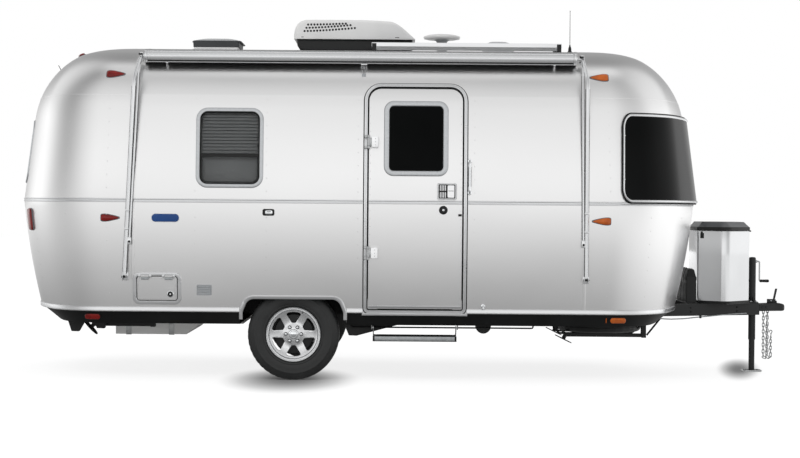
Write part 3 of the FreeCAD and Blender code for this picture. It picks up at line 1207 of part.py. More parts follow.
def roof_fittings():
    x = rear_seam + size.cooler_start
    end = x + size.cooler_length
    low = size.eaves_height + size.roof_root
    inset = size.cooler_inset
    base = carve("cooler_seat", box("cooler_base_blank", (x + inset, end - inset),
                                    (-size.cooler_half + inset, size.cooler_half - inset),
                                    (low, size.cooler_split)), skin)
    sub_part("cooler_base", base)
    split, rise = size.cooler_split, size.cooler_rise
    sub_part("cooler_shroud", slab("shroud", "xz", [
        (x, split), (end, split), (end - size.cooler_nose_run, split + size.cooler_nose_rise),
        (end - size.cooler_brow_run, split + size.cooler_brow_rise),
        (end - size.cooler_top_run, split + rise), (x + size.cooler_rear_run, split + rise)],
        -size.cooler_half, size.cooler_half))
    start = rear_seam + size.vent_start
    outer = box("vent_outside", (start, start + size.vent_length), (-size.vent_half, size.vent_half),
                (low, size.vent_top))
    inner = box("vent_inside", (vent_low, vent_high), (-vent_inner, vent_inner), (low, BEYOND))
    hinge_at = (start - size.hatch_barrel - 1, 0, size.vent_top)
    knuckle, ends = hinge("vent_hinge", hinge_at, "y",
                          size.lid_knuckle, size.hatch_pin, size.hatch_barrel)
    near = size.lid_knuckle / 2 + size.hinge_gap
    reach = near + size.hinge_lug
    blocks = [box(f"vent_lug_{i}", (hinge_at[0], start + 1), span,
                  (size.vent_top - size.hinge_lug, size.vent_top))
              for i, span in enumerate(((-reach, -near), (near, reach)))]
    frame = join("vent_curb", carve("vent_ring", outer, inner, skin), ends, *blocks)
    skylight_x, skylight_y = rear_seam + size.skylight_start, size.skylight_near
    skylight = carve("skylight_seat", slab("skylight", "xz", [
        (skylight_x, low), (skylight_x + size.skylight_length, low),
        (skylight_x + size.skylight_length - size.skylight_inset, size.skylight_top),
        (skylight_x + size.skylight_inset, size.skylight_top)],
        skylight_y, skylight_y + size.skylight_width), skin)
    sub_part("vent_frames", group("vent_curbs", frame, skylight))
    lid_low = size.vent_top + seat
    lid = slab("vent_dome", "xz", [
        (start, lid_low), (start + size.vent_length, lid_low),
        (start + size.vent_length - size.vent_dome_inset, lid_low + size.vent_dome),
        (start + size.vent_dome_inset, lid_low + size.vent_dome)], -size.vent_half, size.vent_half)
    leaf = carve("vent_leaf", box("vent_leaf_blank", (hinge_at[0], start + 1),
                                  (-size.lid_knuckle / 2, size.lid_knuckle / 2),
                                  (lid_low, lid_low + size.hatch_barrel - seat)),
                 rod("vent_leaf_hole", size.hatch_pin + size.hinge_play,
                     (hinge_at[0], -size.lid_knuckle, size.vent_top), size.lid_knuckle * 2, "y"))
    barrel_gap = [rod(f"vent_barrel_gap_{i}", size.hatch_barrel + seat, (hinge_at[0], y, size.vent_top),
                      size.hinge_lug + size.hinge_gap, "y")
                  for i, y in enumerate((-reach, size.lid_knuckle / 2))]
    sub_part("roof_vent_lid", join("vent_lid", carve("vent_dome_cut", lid, *barrel_gap), leaf, knuckle))
    panel_x = rear_seam + size.solar_start
    panel = box("solar_plate", (panel_x, panel_x + size.solar_length), (-size.solar_near, -size.solar_far),
                (size.solar_height, size.solar_height + size.solar_thickness))
    feet = []
    for i in range(2):
        for j in range(2):
            fx = panel_x + i * (size.solar_length - size.solar_foot)
            fy = -size.solar_near + j * (size.solar_near - size.solar_far - size.solar_foot)
            feet.append(box(f"solar_foot_{i}{j}", (fx, fx + size.solar_foot), (fy, fy + size.solar_foot),
                            (low, size.solar_height + 1)))
    sub_part("solar_panel", carve("solar", join("solar_blank", panel, *feet), skin))
    dish_x = rear_seam + size.dish_from_seam
    disc = rod("dish_disc", size.dish_radius, (dish_x, size.dish_side, size.dish_base), size.dish_height)
    stem = rod("dish_stem", size.dish_stem, (dish_x, size.dish_side, low), size.dish_base - low + 1)
    dish = join("dish", disc, carve("dish_stem_seat", stem, skin))
    whip_x = rear_seam + size.whip_from_seam
    boot_top = size.roof_height + size.whip_boot_rise
    boot = rod("whip_boot", size.whip_boot, (whip_x, -size.whip_side, low), boot_top - low)
    rod_low = boot_top - 1
    whip = join("whip", carve("whip_boot_seat", boot, skin),
                rod("whip_rod", size.whip_radius, (whip_x, -size.whip_side, rod_low),
                    size.whip_top - rod_low))
    sub_part("roof_antennas", group("antennas", dish, whip))


def awning():
    start = rear_seam + size.roller_start
    end = front_seam - size.roller_end
    roller = rod("roller", size.roller_radius, (start, -roller_y, size.roller_z), end - start, "x")
    rail = carve("awning_rail", box("rail_blank", (start, end), (-roller_y, -roller_y + size.rail_reach),
                                    (size.roller_z - size.rail_tall, size.roller_z)), skin)
    sub_part("awning_roller", join("awning_roll", roller, rail))
    y = -size.half_width - size.arm_stand
    arms = []
    rear_arm, front_arm = start - size.arm_space_rear, end + size.arm_space_front
    for tag, low, high, stub_x, space in (
            ("rear", rear_arm - size.arm_width, rear_arm, rear_arm - 1, size.arm_space_rear),
            ("front", front_arm, front_arm + size.arm_width, end, size.arm_space_front)):
        arm = slab(f"{tag}_awning_arm", "yz", [
            (y - size.arm_depth, size.arm_foot), (y, size.arm_foot), (y, size.arm_knee - size.arm_depth),
            (-roller_y, size.roller_z - size.arm_depth), (-roller_y, size.roller_z + size.arm_depth),
            (y - size.arm_depth, size.arm_knee)], low, high)
        foot = carve(f"{tag}_arm_foot", box(
            f"{tag}_foot_blank", (low, high), (y - 1, -size.half_width * FITTING_ROOT),
            (size.arm_foot, size.arm_foot + size.arm_bracket)), hull, skin)
        stub = rod(f"{tag}_arm_stub", size.arm_stub, (stub_x, -roller_y, size.roller_z), space + 1, "x")
        arms.append(join(f"{tag}_awning_side", arm, foot, stub))
    sub_part("awning_arms", group("awning_arm_pair", *arms))


def lamps():
    def marker(name, x, z):
        blank = box(name + "_blank", (x, x + size.marker_length),
                    (-size.half_width - size.marker_proud, -size.half_width * WALL_INSIDE),
                    (z - size.marker_height / 2, z + size.marker_height / 2))
        near = overlap(name + "_near", blank, marker_layer)
        return both_sides(name, near)

    marker_layer = layer("marker_layer", envelope, seat, size.marker_proud)
    red_x = rear_seam - size.red_marker_back
    amber_x = front_seam + size.amber_marker_ahead
    tail = overlap("tail_lamp", layer("tail_layer", envelope, seat, size.tail_proud), box(
        "tail_zone", (rear_end * 2, rear_seam), (-size.tail_side - size.tail_width, -size.tail_side),
        (size.tail_base, size.tail_base + size.tail_height)))
    heights = (size.marker_low, size.marker_high)
    reds = [marker(f"red_marker_{i}", red_x, z) for i, z in enumerate(heights)]
    ambers = [marker(f"amber_marker_{i}", amber_x, z) for i, z in enumerate(heights)]
    sub_part("red_lamps", group("red_lamp_set", *reds, both_sides("tail_lamps", tail)))
    sub_part("amber_lamps", group("amber_lamp_set", *ambers))


STAGES = (walls, ends, base_trim, floor, belly, chassis, axle, wheels, wheel_wells, under_body, coupler, jack,
          gas_locker, chains)
for stage in STAGES:
    stage()
hatch_ends = hatch()
for stage in (windows, front_guard, door, grab_handle, step, stabilisers, roof_fittings, awning, lamps):
    stage()

doc.recompute()
failed = [item.Name for item in doc.Objects if "Invalid" in item.State or "Error" in item.State]
if failed:
    raise RuntimeError(f"these objects failed: {failed}")
for name, item in nodes.items():
    if item.Shape.isNull() or not item.Shape.isValid() or not item.Shape.Solids:
        raise RuntimeError(f"{name} has no valid solid")

os.makedirs("parts", exist_ok=True)
for name, item in nodes.items():
    item.Shape.exportStep(f"parts/{name}.step")
print(f"{len(nodes)} pieces written")
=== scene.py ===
import json
from math import asin, atan2, copysign, cos, dist, hypot, pi, radians, sin, sqrt, tan

import bmesh
import bpy
from mathutils import Matrix, Vector

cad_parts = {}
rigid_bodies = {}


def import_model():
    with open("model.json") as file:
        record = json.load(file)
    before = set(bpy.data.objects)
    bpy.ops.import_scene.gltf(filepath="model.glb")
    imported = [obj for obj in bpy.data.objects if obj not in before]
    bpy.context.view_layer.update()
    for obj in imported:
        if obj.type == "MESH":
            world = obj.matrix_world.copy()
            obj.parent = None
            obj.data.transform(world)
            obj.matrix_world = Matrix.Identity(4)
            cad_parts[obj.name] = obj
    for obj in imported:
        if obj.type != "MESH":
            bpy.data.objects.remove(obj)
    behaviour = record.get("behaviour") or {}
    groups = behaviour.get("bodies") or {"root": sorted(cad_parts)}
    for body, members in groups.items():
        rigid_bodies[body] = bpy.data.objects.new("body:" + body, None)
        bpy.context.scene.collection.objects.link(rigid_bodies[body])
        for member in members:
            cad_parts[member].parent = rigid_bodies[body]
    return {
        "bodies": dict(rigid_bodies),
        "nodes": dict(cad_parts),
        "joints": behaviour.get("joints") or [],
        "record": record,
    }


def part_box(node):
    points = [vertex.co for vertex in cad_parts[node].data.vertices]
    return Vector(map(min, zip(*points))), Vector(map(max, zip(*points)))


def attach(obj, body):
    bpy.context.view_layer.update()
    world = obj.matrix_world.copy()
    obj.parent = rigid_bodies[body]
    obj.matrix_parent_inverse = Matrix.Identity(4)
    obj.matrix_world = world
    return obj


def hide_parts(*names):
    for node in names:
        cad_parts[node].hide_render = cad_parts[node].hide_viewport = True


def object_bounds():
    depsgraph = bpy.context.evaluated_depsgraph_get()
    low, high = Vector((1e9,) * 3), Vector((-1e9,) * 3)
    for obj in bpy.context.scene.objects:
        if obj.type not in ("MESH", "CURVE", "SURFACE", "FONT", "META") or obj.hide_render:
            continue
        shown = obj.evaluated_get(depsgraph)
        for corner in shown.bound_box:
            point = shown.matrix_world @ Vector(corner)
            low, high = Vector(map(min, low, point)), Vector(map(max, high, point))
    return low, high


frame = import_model()
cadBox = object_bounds()
nodes = frame["nodes"]
mm = 0.001
root = "caravan"   # the body that every fixed piece rides on
print("frame loaded with", len(nodes), "CAD nodes")


def addObject(name, data):
    made = bpy.data.objects.new(name, data)
    bpy.context.scene.collection.objects.link(made)
    return made


# Camera: a long lens square to the curb side, a little above wheel height.

camera = {"place": (-0.051, -15.13, 1.322), "lens": 82.67, "down": 0.655, "roll": 0.45}


def addCamera():
    data = bpy.data.cameras.new("camera")
    data.lens = camera["lens"]
    data.clip_end = 200
    eye = addObject("camera", data)
    tilt = Matrix.Rotation(radians(90 - camera["down"]), 4, "X")
    roll = Matrix.Rotation(radians(camera["roll"]), 4, "Z")
    eye.matrix_world = Matrix.Translation(camera["place"]) @ tilt @ roll
    bpy.context.scene.camera = eye


addCamera()


# Materials. Each starts from what the real finish is; patterns are sized in millimetres.


def linear(colour):   # an sRGB hex value as linear RGBA
    parts = [int(colour[i:i + 2], 16) / 255 for i in (1, 3, 5)]
    return [p / 12.92 if p <= 0.04045 else ((p + 0.055) / 1.055) ** 2.4 for p in parts] + [1.0]


def addNode(tree, kind, settings=None, links=None):   # one node with its settings and what feeds it
    node = tree.nodes.new("ShaderNode" + kind)
    for key, value in (settings or {}).items():
        if isinstance(key, int) or key in node.inputs:
            node.inputs[key].default_value = value
        else:
            setattr(node, key, value)
    for key, source in (links or {}).items():
        tree.links.new(source.outputs[0] if isinstance(source, bpy.types.Node) else source, node.inputs[key])
    return node


def setStops(ramp, stops):   # colours along a ramp, as (place, hex)
    while len(ramp.color_ramp.elements) < len(stops):
        ramp.color_ramp.elements.new(0.5)
    for element, (place, colour) in zip(ramp.color_ramp.elements, stops):
        element.position = place
        element.color = linear(colour)


# What each finish is made of. "blotch" is the size of its slow colour change and "grain" that of its
# surface grain, both in mm, "depth" is the grain's height in mm, and "stretch" draws both out.
finishes = {
    # Bare clad sheet, rolled smooth and weathered to a soft haze: bright, but no mirror.
    "cladAluminium": dict(colours=("#E1E1E1", "#E7E7E7"), blotch=700, roughness=(0.27, 0.36),
        grain=420, depth=0.5, metallic=1.0, stretch=(0.5, 1, 1)),
    # Extruded mouldings, anodised: a finer, whiter satin than the sheet.
    "anodisedAluminium": dict(colours=("#D4D5D6", "#E1E2E3"), blotch=90, roughness=(0.24, 0.36),
        grain=14, depth=0.03, metallic=1.0, stretch=(0.15, 1, 1)),
    # Stamped window surrounds, stippled by the die and left dull.
    "stippledAluminium": dict(colours=("#B9BCBE", "#D0D2D4"), blotch=16, roughness=(0.36, 0.52),
        grain=9, depth=0.35, metallic=1.0),
    # Cast wheel with silver lacquer under a clear coat.
    "castAlloy": dict(colours=("#D2D3D4", "#DFE0E1"), blotch=60, roughness=(0.2, 0.3),
        grain=5, depth=0.04, metallic=0.85, coat=0.5),
    # Bright-dipped sheet of the gas locker.
    "brightSheet": dict(colours=("#C2C3C4", "#CBCCCD"), blotch=400, roughness=(0.1, 0.16),
        grain=300, depth=0.1, metallic=1.0),
    "chrome": dict(colours=("#DADCDE", "#E8EAEB"), blotch=40, roughness=(0.08, 0.16),
        grain=30, depth=0.02, metallic=1.0),
    # Frame rails, tongue and brackets: black powder coat with its orange peel.
    "powderCoat": dict(colours=("#121313", "#1E1F1F"), blotch=120, roughness=(0.38, 0.55),
        grain=7, depth=0.12, specular=0.35),
    # Pressed underbody pan, painted and dusted by the road.
    "underbodyPaint": dict(colours=("#0A0B0B", "#161717"), blotch=260, roughness=(0.42, 0.62),
        grain=12, depth=0.15, specular=0.2),
    # Step, tank straps and jack parts: zinc with its pale spangle.
    "galvanisedSteel": dict(colours=("#8E9193", "#B6B9BA"), blotch=22, roughness=(0.34, 0.5),
        grain=26, depth=0.05, metallic=0.9),
    "zincPlate": dict(colours=("#A3A5A6", "#C3C4C4"), blotch=14, roughness=(0.3, 0.45),
        grain=6, depth=0.05, metallic=0.95),
    # Tyre carcass: black rubber greyed by dust, with the fine ribbing of its mould.
    "tyreRubber": dict(colours=("#151616", "#242525"), blotch=120, roughness=(0.4, 0.56),
        grain=6, depth=0.2),
    "sealRubber": dict(colours=("#0F1010", "#1B1C1C"), blotch=40, roughness=(0.55, 0.75),
        grain=8, depth=0.06, specular=0.25),
    # Moulded ABS in three colours, with a fine leather-like grain.
    "whiteAbs": dict(colours=("#CDCDCC", "#D8D8D7"), blotch=240, roughness=(0.34, 0.46),
        grain=5, depth=0.05, coat=0.1),
    "greyAbs": dict(colours=("#8A8D8F", "#999C9E"), blotch=200, roughness=(0.4, 0.55),
        grain=5, depth=0.06),
    "blackAbs": dict(colours=("#0E0F0F", "#1A1B1B"), blotch=150, roughness=(0.36, 0.5),
        grain=5, depth=0.1, specular=0.3),
    "lidAbs": dict(colours=("#4A4C4E", "#5C5E60"), blotch=150, roughness=(0.3, 0.42),
        grain=6, depth=0.08, coat=0.2),
    "ventAbs": dict(colours=("#303233", "#3C3E3F"), blotch=150, roughness=(0.4, 0.55),
        grain=6, depth=0.08, specular=0.3),
    # Domes of the vent and the skylight: pale smoked acrylic.
    "domeAcrylic": dict(colours=("#A9ABAC", "#B4B6B7"), blotch=200, roughness=(0.2, 0.3),
        grain=200, depth=0.03, specular=0.3),
    # Tank: blow-moulded polyethylene, pale and waxy.
    "tankPolyethylene": dict(colours=("#DADAD8", "#E6E6E4"), blotch=180, roughness=(0.45, 0.6),
        grain=18, depth=0.2),
    # Rolled awning cover: coated cloth in silver grey, drawn tight.
    "awningVinyl": dict(colours=("#CBCCCD", "#D6D7D8"), blotch=60, roughness=(0.2, 0.3),
        grain=10, depth=0.02, metallic=0.9, stretch=(0.08, 1, 1)),
    # Bottles in the locker: enamelled steel.
    "bottleEnamel": dict(colours=("#C9CCCB", "#DADCDB"), blotch=90, roughness=(0.3, 0.42),
        grain=6, depth=0.05, coat=0.3),
    # Inner faces: laminate board, warm white, and the vinyl on the floor.
    "laminateBoard": dict(colours=("#CFCBC2", "#DCD9D1"), blotch=300, roughness=(0.45, 0.6),
        grain=9, depth=0.04),
    "floorVinyl": dict(colours=("#6E5B48", "#8A745D"), blotch=110, roughness=(0.4, 0.55),
        grain=12, depth=0.06, stretch=(0.12, 1, 1)),
    # Blue plate: enamel on a domed metal tab.
    "blueEnamel": dict(colours=("#0D3468", "#123D76"), blotch=300, roughness=(0.2, 0.3),
        grain=20, depth=0.03, specular=0.3),
    "hingePaint": dict(colours=("#E9EAEA", "#F2F2F2"), blotch=30, roughness=(0.3, 0.42),
        grain=6, depth=0.04),
    # Dark toughened glass and the smoked acrylic of the stone guard.
    "tintedGlass": dict(colours=("#050606", "#0B0C0C"), blotch=500, roughness=(0.05, 0.09),
        grain=300, depth=0.05, specular=0.02),
    "smokedAcrylic": dict(colours=("#040505", "#0B0C0C"), blotch=500, roughness=(0.1, 0.16),
        grain=400, depth=0.1, specular=0.07),
    # Side windows: a tinted pane that shows the blind behind it.
    "paneTint": dict(colours=("#0B0C0C", "#111212"), blotch=300, roughness=(0.04, 0.08),
        grain=300, depth=0.04, alpha=0.25, specular=0.2),
    "blindFabric": dict(colours=("#8A8D8D", "#969999"), blotch=60, roughness=(0.7, 0.85),
        grain=4, depth=0.1),
    "shadeFabric": dict(colours=("#8D9090", "#989B9B"), blotch=130, roughness=(0.75, 0.9),
        grain=3, depth=0.15),
}


def makeMaterial(name, spec):
    material = bpy.data.materials.new(name)
    material.use_nodes = True
    tree = material.node_tree
    shader = tree.nodes["Principled BSDF"]
    shader.inputs["Metallic"].default_value = spec.get("metallic", 0.0)
    shader.inputs["Coat Weight"].default_value = spec.get("coat", 0.0)
    shader.inputs["Coat Roughness"].default_value = 0.12
    shader.inputs["Alpha"].default_value = spec.get("alpha", 1.0)
    shader.inputs["Specular IOR Level"].default_value = spec.get("specular", 0.5)
    where = addNode(tree, "TexCoord")
    drawn = addNode(tree, "Mapping", {"Scale": spec.get("stretch", (1, 1, 1))},
        {"Vector": where.outputs["Object"]})
    blotch = addNode(tree, "TexNoise", {"Scale": 1 / (spec["blotch"] * mm), "Detail": 3.0},
        {"Vector": drawn})
    tone = addNode(tree, "ValToRGB", {}, {"Fac": blotch.outputs["Fac"]})
    setStops(tone, [(0.2, spec["colours"][0]), (0.8, spec["colours"][1])])
    tree.links.new(tone.outputs["Color"], shader.inputs["Base Color"])
    gloss = addNode(tree, "MapRange", {"From Min": 0.2, "From Max": 0.8, "To Min": spec["roughness"][0],
        "To Max": spec["roughness"][1]}, {"Value": blotch.outputs["Fac"]})
    tree.links.new(gloss.outputs["Result"], shader.inputs["Roughness"])
    grain = addNode(tree, "TexNoise", {"Scale": 1 / (spec["grain"] * mm), "Detail": 2.0}, {"Vector": drawn})
    bump = addNode(tree, "Bump", {"Strength": 1.0, "Distance": spec["depth"] * mm},
        {"Height": grain.outputs["Fac"]})
    tree.links.new(bump.outputs["Normal"], shader.inputs["Normal"])
    return material


paint = {name: makeMaterial(name, spec) for name, spec in finishes.items()}


def makeLens(name, colours, ribs):   # injection-moulded acrylic with fine upright prisms inside
    material = makeMaterial(name, {"colours": colours, "blotch": 60, "roughness": (0.12, 0.22), "grain": 40,
        "depth": 0.05, "coat": 0.1, "specular": 0.3})
    tree = material.node_tree
    shader = tree.nodes["Principled BSDF"]
    where = addNode(tree, "TexCoord")
    prisms = addNode(tree, "TexWave", {"Scale": 0.314 / (ribs * mm), "bands_direction": "X"},
        {"Vector": where.outputs["Object"]})
    bump = addNode(tree, "Bump", {"Strength": 0.6, "Distance": 0.5 * mm}, {"Height": prisms.outputs["Fac"]})
    tree.links.new(bump.outputs["Normal"], shader.inputs["Normal"])
    shader.inputs["Emission Color"].default_value = linear(colours[1])
    shader.inputs["Emission Strength"].default_value = 0.03   # a painted glow: the unlit lenses give off a little light of their own colour
    return material


paint["redAcrylic"] = makeLens("redAcrylic", ("#520704", "#80100A"), 9)
paint["amberAcrylic"] = makeLens("amberAcrylic", ("#9A4412", "#C0621F"), 9)


# Solar cells: dark blue silicon squares under glass, with bright busbars between them.

solar = {"cell": 130, "line": 5}


def makeSolar():
    material = makeMaterial("solarCells", {"colours": ("#0D1220", "#161D30"), "blotch": 90,
        "roughness": (0.1, 0.16), "grain": 200, "depth": 0.03, "coat": 0.5})
    tree = material.node_tree
    shader = tree.nodes["Principled BSDF"]
    where = addNode(tree, "TexCoord")
    cells = addNode(tree, "TexBrick", {"offset": 0.0, "squash": 1.0, "Scale": 1.0,
        "Brick Width": solar["cell"] * mm, "Row Height": solar["cell"] * mm,
        "Mortar Size": solar["line"] * mm / 2, "Color1": linear("#0D1220"), "Color2": linear("#18203A"),
        "Mortar": linear("#9DA3A8")}, {"Vector": where.outputs["Object"]})
    tree.links.new(cells.outputs["Color"], shader.inputs["Base Color"])
    return material


paint["solarCells"] = makeSolar()
print("materials made:", len(paint))


# The stage: a white studio, with a soft pool of shade painted on the floor under the wheel and one under the
# jack.

studio = {"floorHalf": 60, "skyLevel": 0.95, "roomLevel": 1.57, "floorLevel": 1.5, "floorGlow": 0.84,
    "bodyHalf": 1.2}
# Painted shadows on the floor: the centre, reach and turn of each pool of shade.
paintedShadows = ({"at": (-0.89, -1.06), "reach": (0.6, 1.25), "turn": 0.0},
    {"at": (2.79, 0.22), "reach": (0.21, 1.3), "turn": -0.18})


def makeFloor():
    material = bpy.data.materials.new("studioFloor")
    material.use_nodes = True
    tree = material.node_tree
    tree.nodes.clear()
    where = addNode(tree, "NewGeometry")
    paintedPools = []
    # Each painted shadow darkens the floor's colour round a fixed centre.
    for shade in paintedShadows:
        across, deep = shade["reach"]
        moved = addNode(tree, "Mapping", {"vector_type": "TEXTURE", "Location": (*shade["at"], 0),
            "Rotation": (0, 0, shade["turn"]), "Scale": (across, deep, 1)},
            {"Vector": where.outputs["Position"]})
        away = addNode(tree, "VectorMath", {"operation": "LENGTH"}, {0: moved})
        pool = addNode(tree, "ValToRGB", {}, {"Fac": away.outputs["Value"]})
        pool.color_ramp.interpolation = "B_SPLINE"
        setStops(pool, [(0.0, "#404040"), (0.3, "#525252"), (0.62, "#C6C6C6"), (0.85, "#FFFFFF"),
            (1.0, "#FFFFFF")])
        paintedPools.append(pool.outputs["Color"])
    shown = addNode(tree, "Mix", {"data_type": "RGBA", "blend_type": "MULTIPLY", 0: 1.0},
        {6: paintedPools[0], 7: paintedPools[1]})
    glow = addNode(tree, "Emission", {"Strength": studio["floorGlow"]}, {"Color": shown.outputs[2]})
    # A share of the floor is lit, so that what stands on it still throws a shadow.
    catcher = addNode(tree, "BsdfDiffuse", {"Color": linear("#7E7E7E")})
    seen = addNode(tree, "AddShader", {}, {0: glow, 1: catcher})
    plain = addNode(tree, "BsdfDiffuse", {"Color": linear("#DCDCDC")})
    # What the skin reflects of the floor: painted shade, grey near the body and paler farther out.
    parts = addNode(tree, "SeparateXYZ", {}, {"Vector": where.outputs["Position"]})
    aside = addNode(tree, "Math", {"operation": "ABSOLUTE"}, {0: parts.outputs["Y"]})
    sideGap = addNode(tree, "Math", {"operation": "SUBTRACT", 1: studio["bodyHalf"]}, {0: aside})
    ahead = addNode(tree, "Math", {"operation": "MULTIPLY_ADD", 1: 5.0, 2: -7.0}, {0: parts.outputs["X"]})
    behind = addNode(tree, "Math", {"operation": "MULTIPLY_ADD", 1: -1.0, 2: -2.9}, {0: parts.outputs["X"]})
    endGap = addNode(tree, "Math", {"operation": "MAXIMUM"}, {0: ahead, 1: behind})
    gap = addNode(tree, "Math", {"operation": "MAXIMUM"}, {0: sideGap, 1: endGap})
    share = addNode(tree, "MapRange", {"From Min": 0.0, "From Max": 40.0}, {"Value": gap})
    reflectedShade = addNode(tree, "ValToRGB", {}, {"Fac": share.outputs["Result"]})
    setStops(reflectedShade, [(0.0, "#6E6E6E"), (0.03, "#858585"), (0.062, "#8F8F8F"), (0.12, "#A4A4A4"),
        (0.3, "#C4C4C4"), (0.7, "#E0E0E0"), (1.0, "#F4F4F4")])
    mirror = addNode(tree, "Emission", {"Strength": studio["floorLevel"]}, {"Color": reflectedShade.outputs["Color"]})
    path = addNode(tree, "LightPath")
    other = addNode(tree, "MixShader", {}, {0: path.outputs["Is Glossy Ray"], 1: plain, 2: mirror})
    whole = addNode(tree, "MixShader", {}, {0: path.outputs["Is Camera Ray"], 1: other, 2: seen})
    addNode(tree, "OutputMaterial", {}, {"Surface": whole})
    return material


def addFloor():
    half = studio["floorHalf"]
    mesh = bpy.data.meshes.new("floor")
    mesh.from_pydata([(-half, -half, 0), (half, -half, 0), (half, half, 0), (-half, half, 0)], [],
        [(0, 1, 2, 3)])
    mesh.materials.append(makeFloor())
    floor = addObject("floor", mesh)


def addWorld():
    world = bpy.data.worlds.new("studio")
    bpy.context.scene.world = world
    world.use_nodes = True
    tree = world.node_tree
    tree.nodes.clear()
    where = addNode(tree, "TexCoord")
    parts = addNode(tree, "SeparateXYZ", {}, {"Vector": where.outputs["Generated"]})
    # By height: bright walls, a grey cove high above them and a pale ceiling.
    rise = addNode(tree, "MapRange", {"From Min": -1.0, "From Max": 1.0}, {"Value": parts.outputs["Z"]})
    cove = addNode(tree, "ValToRGB", {}, {"Fac": rise.outputs["Result"]})
    setStops(cove, [(0.0, "#868686"), (0.42, "#C6C6C6"), (0.5, "#FCFCFC"), (0.574, "#FAFAFA"),
        (0.588, "#F0F0F0"), (0.6, "#E4E4E4"), (0.62, "#D9D9D9"), (0.73, "#D4D4D4"), (0.83, "#CCCCCC"),
        (0.925, "#BCBCBC"), (0.955, "#A0A0A0"), (0.975, "#CCCCCC"), (0.995, "#F0F0F0")])
    # By heading, from the back by the rear end, the camera's side and the front end: tall softboxes
    # with grey gaps between them.
    level = addNode(tree, "VectorMath", {"operation": "MULTIPLY", 1: (1, 1, 0)},
        {0: where.outputs["Generated"]})
    heading = addNode(tree, "VectorMath", {"operation": "NORMALIZE"}, {0: level})
    turned = addNode(tree, "SeparateXYZ", {}, {"Vector": heading})
    facing = addNode(tree, "Math", {"operation": "MULTIPLY", 1: -1.0}, {0: turned.outputs["Y"]})
    angle = addNode(tree, "Math", {"operation": "ARCTAN2"}, {0: turned.outputs["X"], 1: facing})
    around = addNode(tree, "MapRange", {"From Min": -pi, "From Max": pi}, {"Value": angle})
    boxes = addNode(tree, "ValToRGB", {}, {"Fac": around.outputs["Result"]})
    setStops(boxes, [(0.0, "#A0A0A0"), (0.075, "#A4A4A4"), (0.13, "#FFFFFF"), (0.2, "#F4F4F4"),
        (0.25, "#C0C0C0"), (0.29, "#A2A2A2"), (0.33, "#AEAEAE"), (0.375, "#DEDEDE"), (0.43, "#FAFAFA"),
        (0.5, "#F6F6F6"), (0.535, "#F0F0F0"), (0.58, "#D6D6D6"), (0.64, "#CCCCCC"), (0.68, "#E4E4E4"),
        (0.72, "#FFFFFF"), (0.86, "#FFFFFF"), (0.91, "#AAAAAA"), (1.0, "#A0A0A0")])
    room = addNode(tree, "Mix", {"data_type": "RGBA", "blend_type": "MULTIPLY", 0: 1.0},
        {6: cove.outputs["Color"], 7: boxes.outputs["Color"]})
    mirror = addNode(tree, "Background", {"Strength": studio["roomLevel"]}, {"Color": room.outputs[2]})
    light = addNode(tree, "Background", {"Color": linear("#F5F5F6"), "Strength": studio["skyLevel"]})
    white = addNode(tree, "Background", {"Color": linear("#FFFFFF"), "Strength": 1.0})
    path = addNode(tree, "LightPath")
    lit = addNode(tree, "MixShader", {}, {0: path.outputs["Is Glossy Ray"], 1: light, 2: mirror})
    whole = addNode(tree, "MixShader", {}, {0: path.outputs["Is Camera Ray"], 1: lit, 2: white})
    addNode(tree, "OutputWorld", {}, {"Surface": whole})


def addLamp(name, place, aim, size, power):
    data = bpy.data.lights.new(name, "AREA")
    data.shape = "RECTANGLE"
    data.size, data.size_y = size
    data.energy = power
    lamp = addObject(name, data)
    lamp.location = place
    lamp.rotation_euler = (Vector(aim) - Vector(place)).to_track_quat("-Z", "Y").to_euler()
    lamp.visible_glossy = False   # its reflection would be a hard rectangle on the skin


addFloor()
addWorld()
addLamp("keyLight", (-3.5, -7.5, 6.5), (0, 0, 1.2), (6, 3), 260)
addLamp("backLight", (3.0, 7.5, 6.0), (0, 0, 1.4), (6, 3), 200)
bpy.context.scene.view_settings.view_transform = "Standard"
print("stage and lights set")


# Mesh making: a piece is gathered from lofts of rings, then built once. Places are in metres, and sections,
# radii, bevels and rises in millimetres.

origin, upward, alongX, alongY, towardCurb = (0, 0, 0), (0, 0, 1), (1, 0, 0), (0, 1, 0), (0, -1, 0)


def cleanMesh(mesh, weld=False):   # joins doubled points and turns the faces outward
    work = bmesh.new()
    work.from_mesh(mesh)
    if weld:
        bmesh.ops.remove_doubles(work, verts=work.verts, dist=0.02 * mm)
        bmesh.ops.dissolve_degenerate(work, edges=work.edges, dist=0.01 * mm)
    bmesh.ops.recalc_face_normals(work, faces=work.faces)
    work.to_mesh(mesh)
    work.free()


class Shape:   # the points and faces of one piece, with each face's material number
    def __init__(self):
        self.points = []
        self.faces = []
        self.marks = []

    def add(self, points, faces, mark=0):
        first = len(self.points)
        self.points += [Vector(point) for point in points]
        self.faces += [[first + i for i in face] for face in faces]
        self.marks += [mark] * len(faces)

    def loft(self, rings, mark=0, ends=True, joined=False):   # quads between rings of equal length
        count, rows = len(rings[0]), len(rings)
        faces = []
        for i in range(rows if joined else rows - 1):
            a, b = i * count, (i + 1) % rows * count
            for j in range(count):
                k = (j + 1) % count
                faces.append([a + j, a + k, b + k, b + j])
        if ends and not joined:
            faces.append(list(range(count))[::-1])
            faces.append([(rows - 1) * count + j for j in range(count)])
        self.add([point for ring in rings for point in ring], faces, mark)

    def build(self, name, materials, body=root, slot=None, replaces=(), sharp=32, weld=True):
        mesh = bpy.data.meshes.new(name)
        mesh.from_pydata(self.points, [], self.faces)
        for material in materials:
            mesh.materials.append(paint[material])
        mesh.polygons.foreach_set("material_index", self.marks)
        cleanMesh(mesh, weld)
        return settle(addObject(name, mesh), body, replaces, sharp)


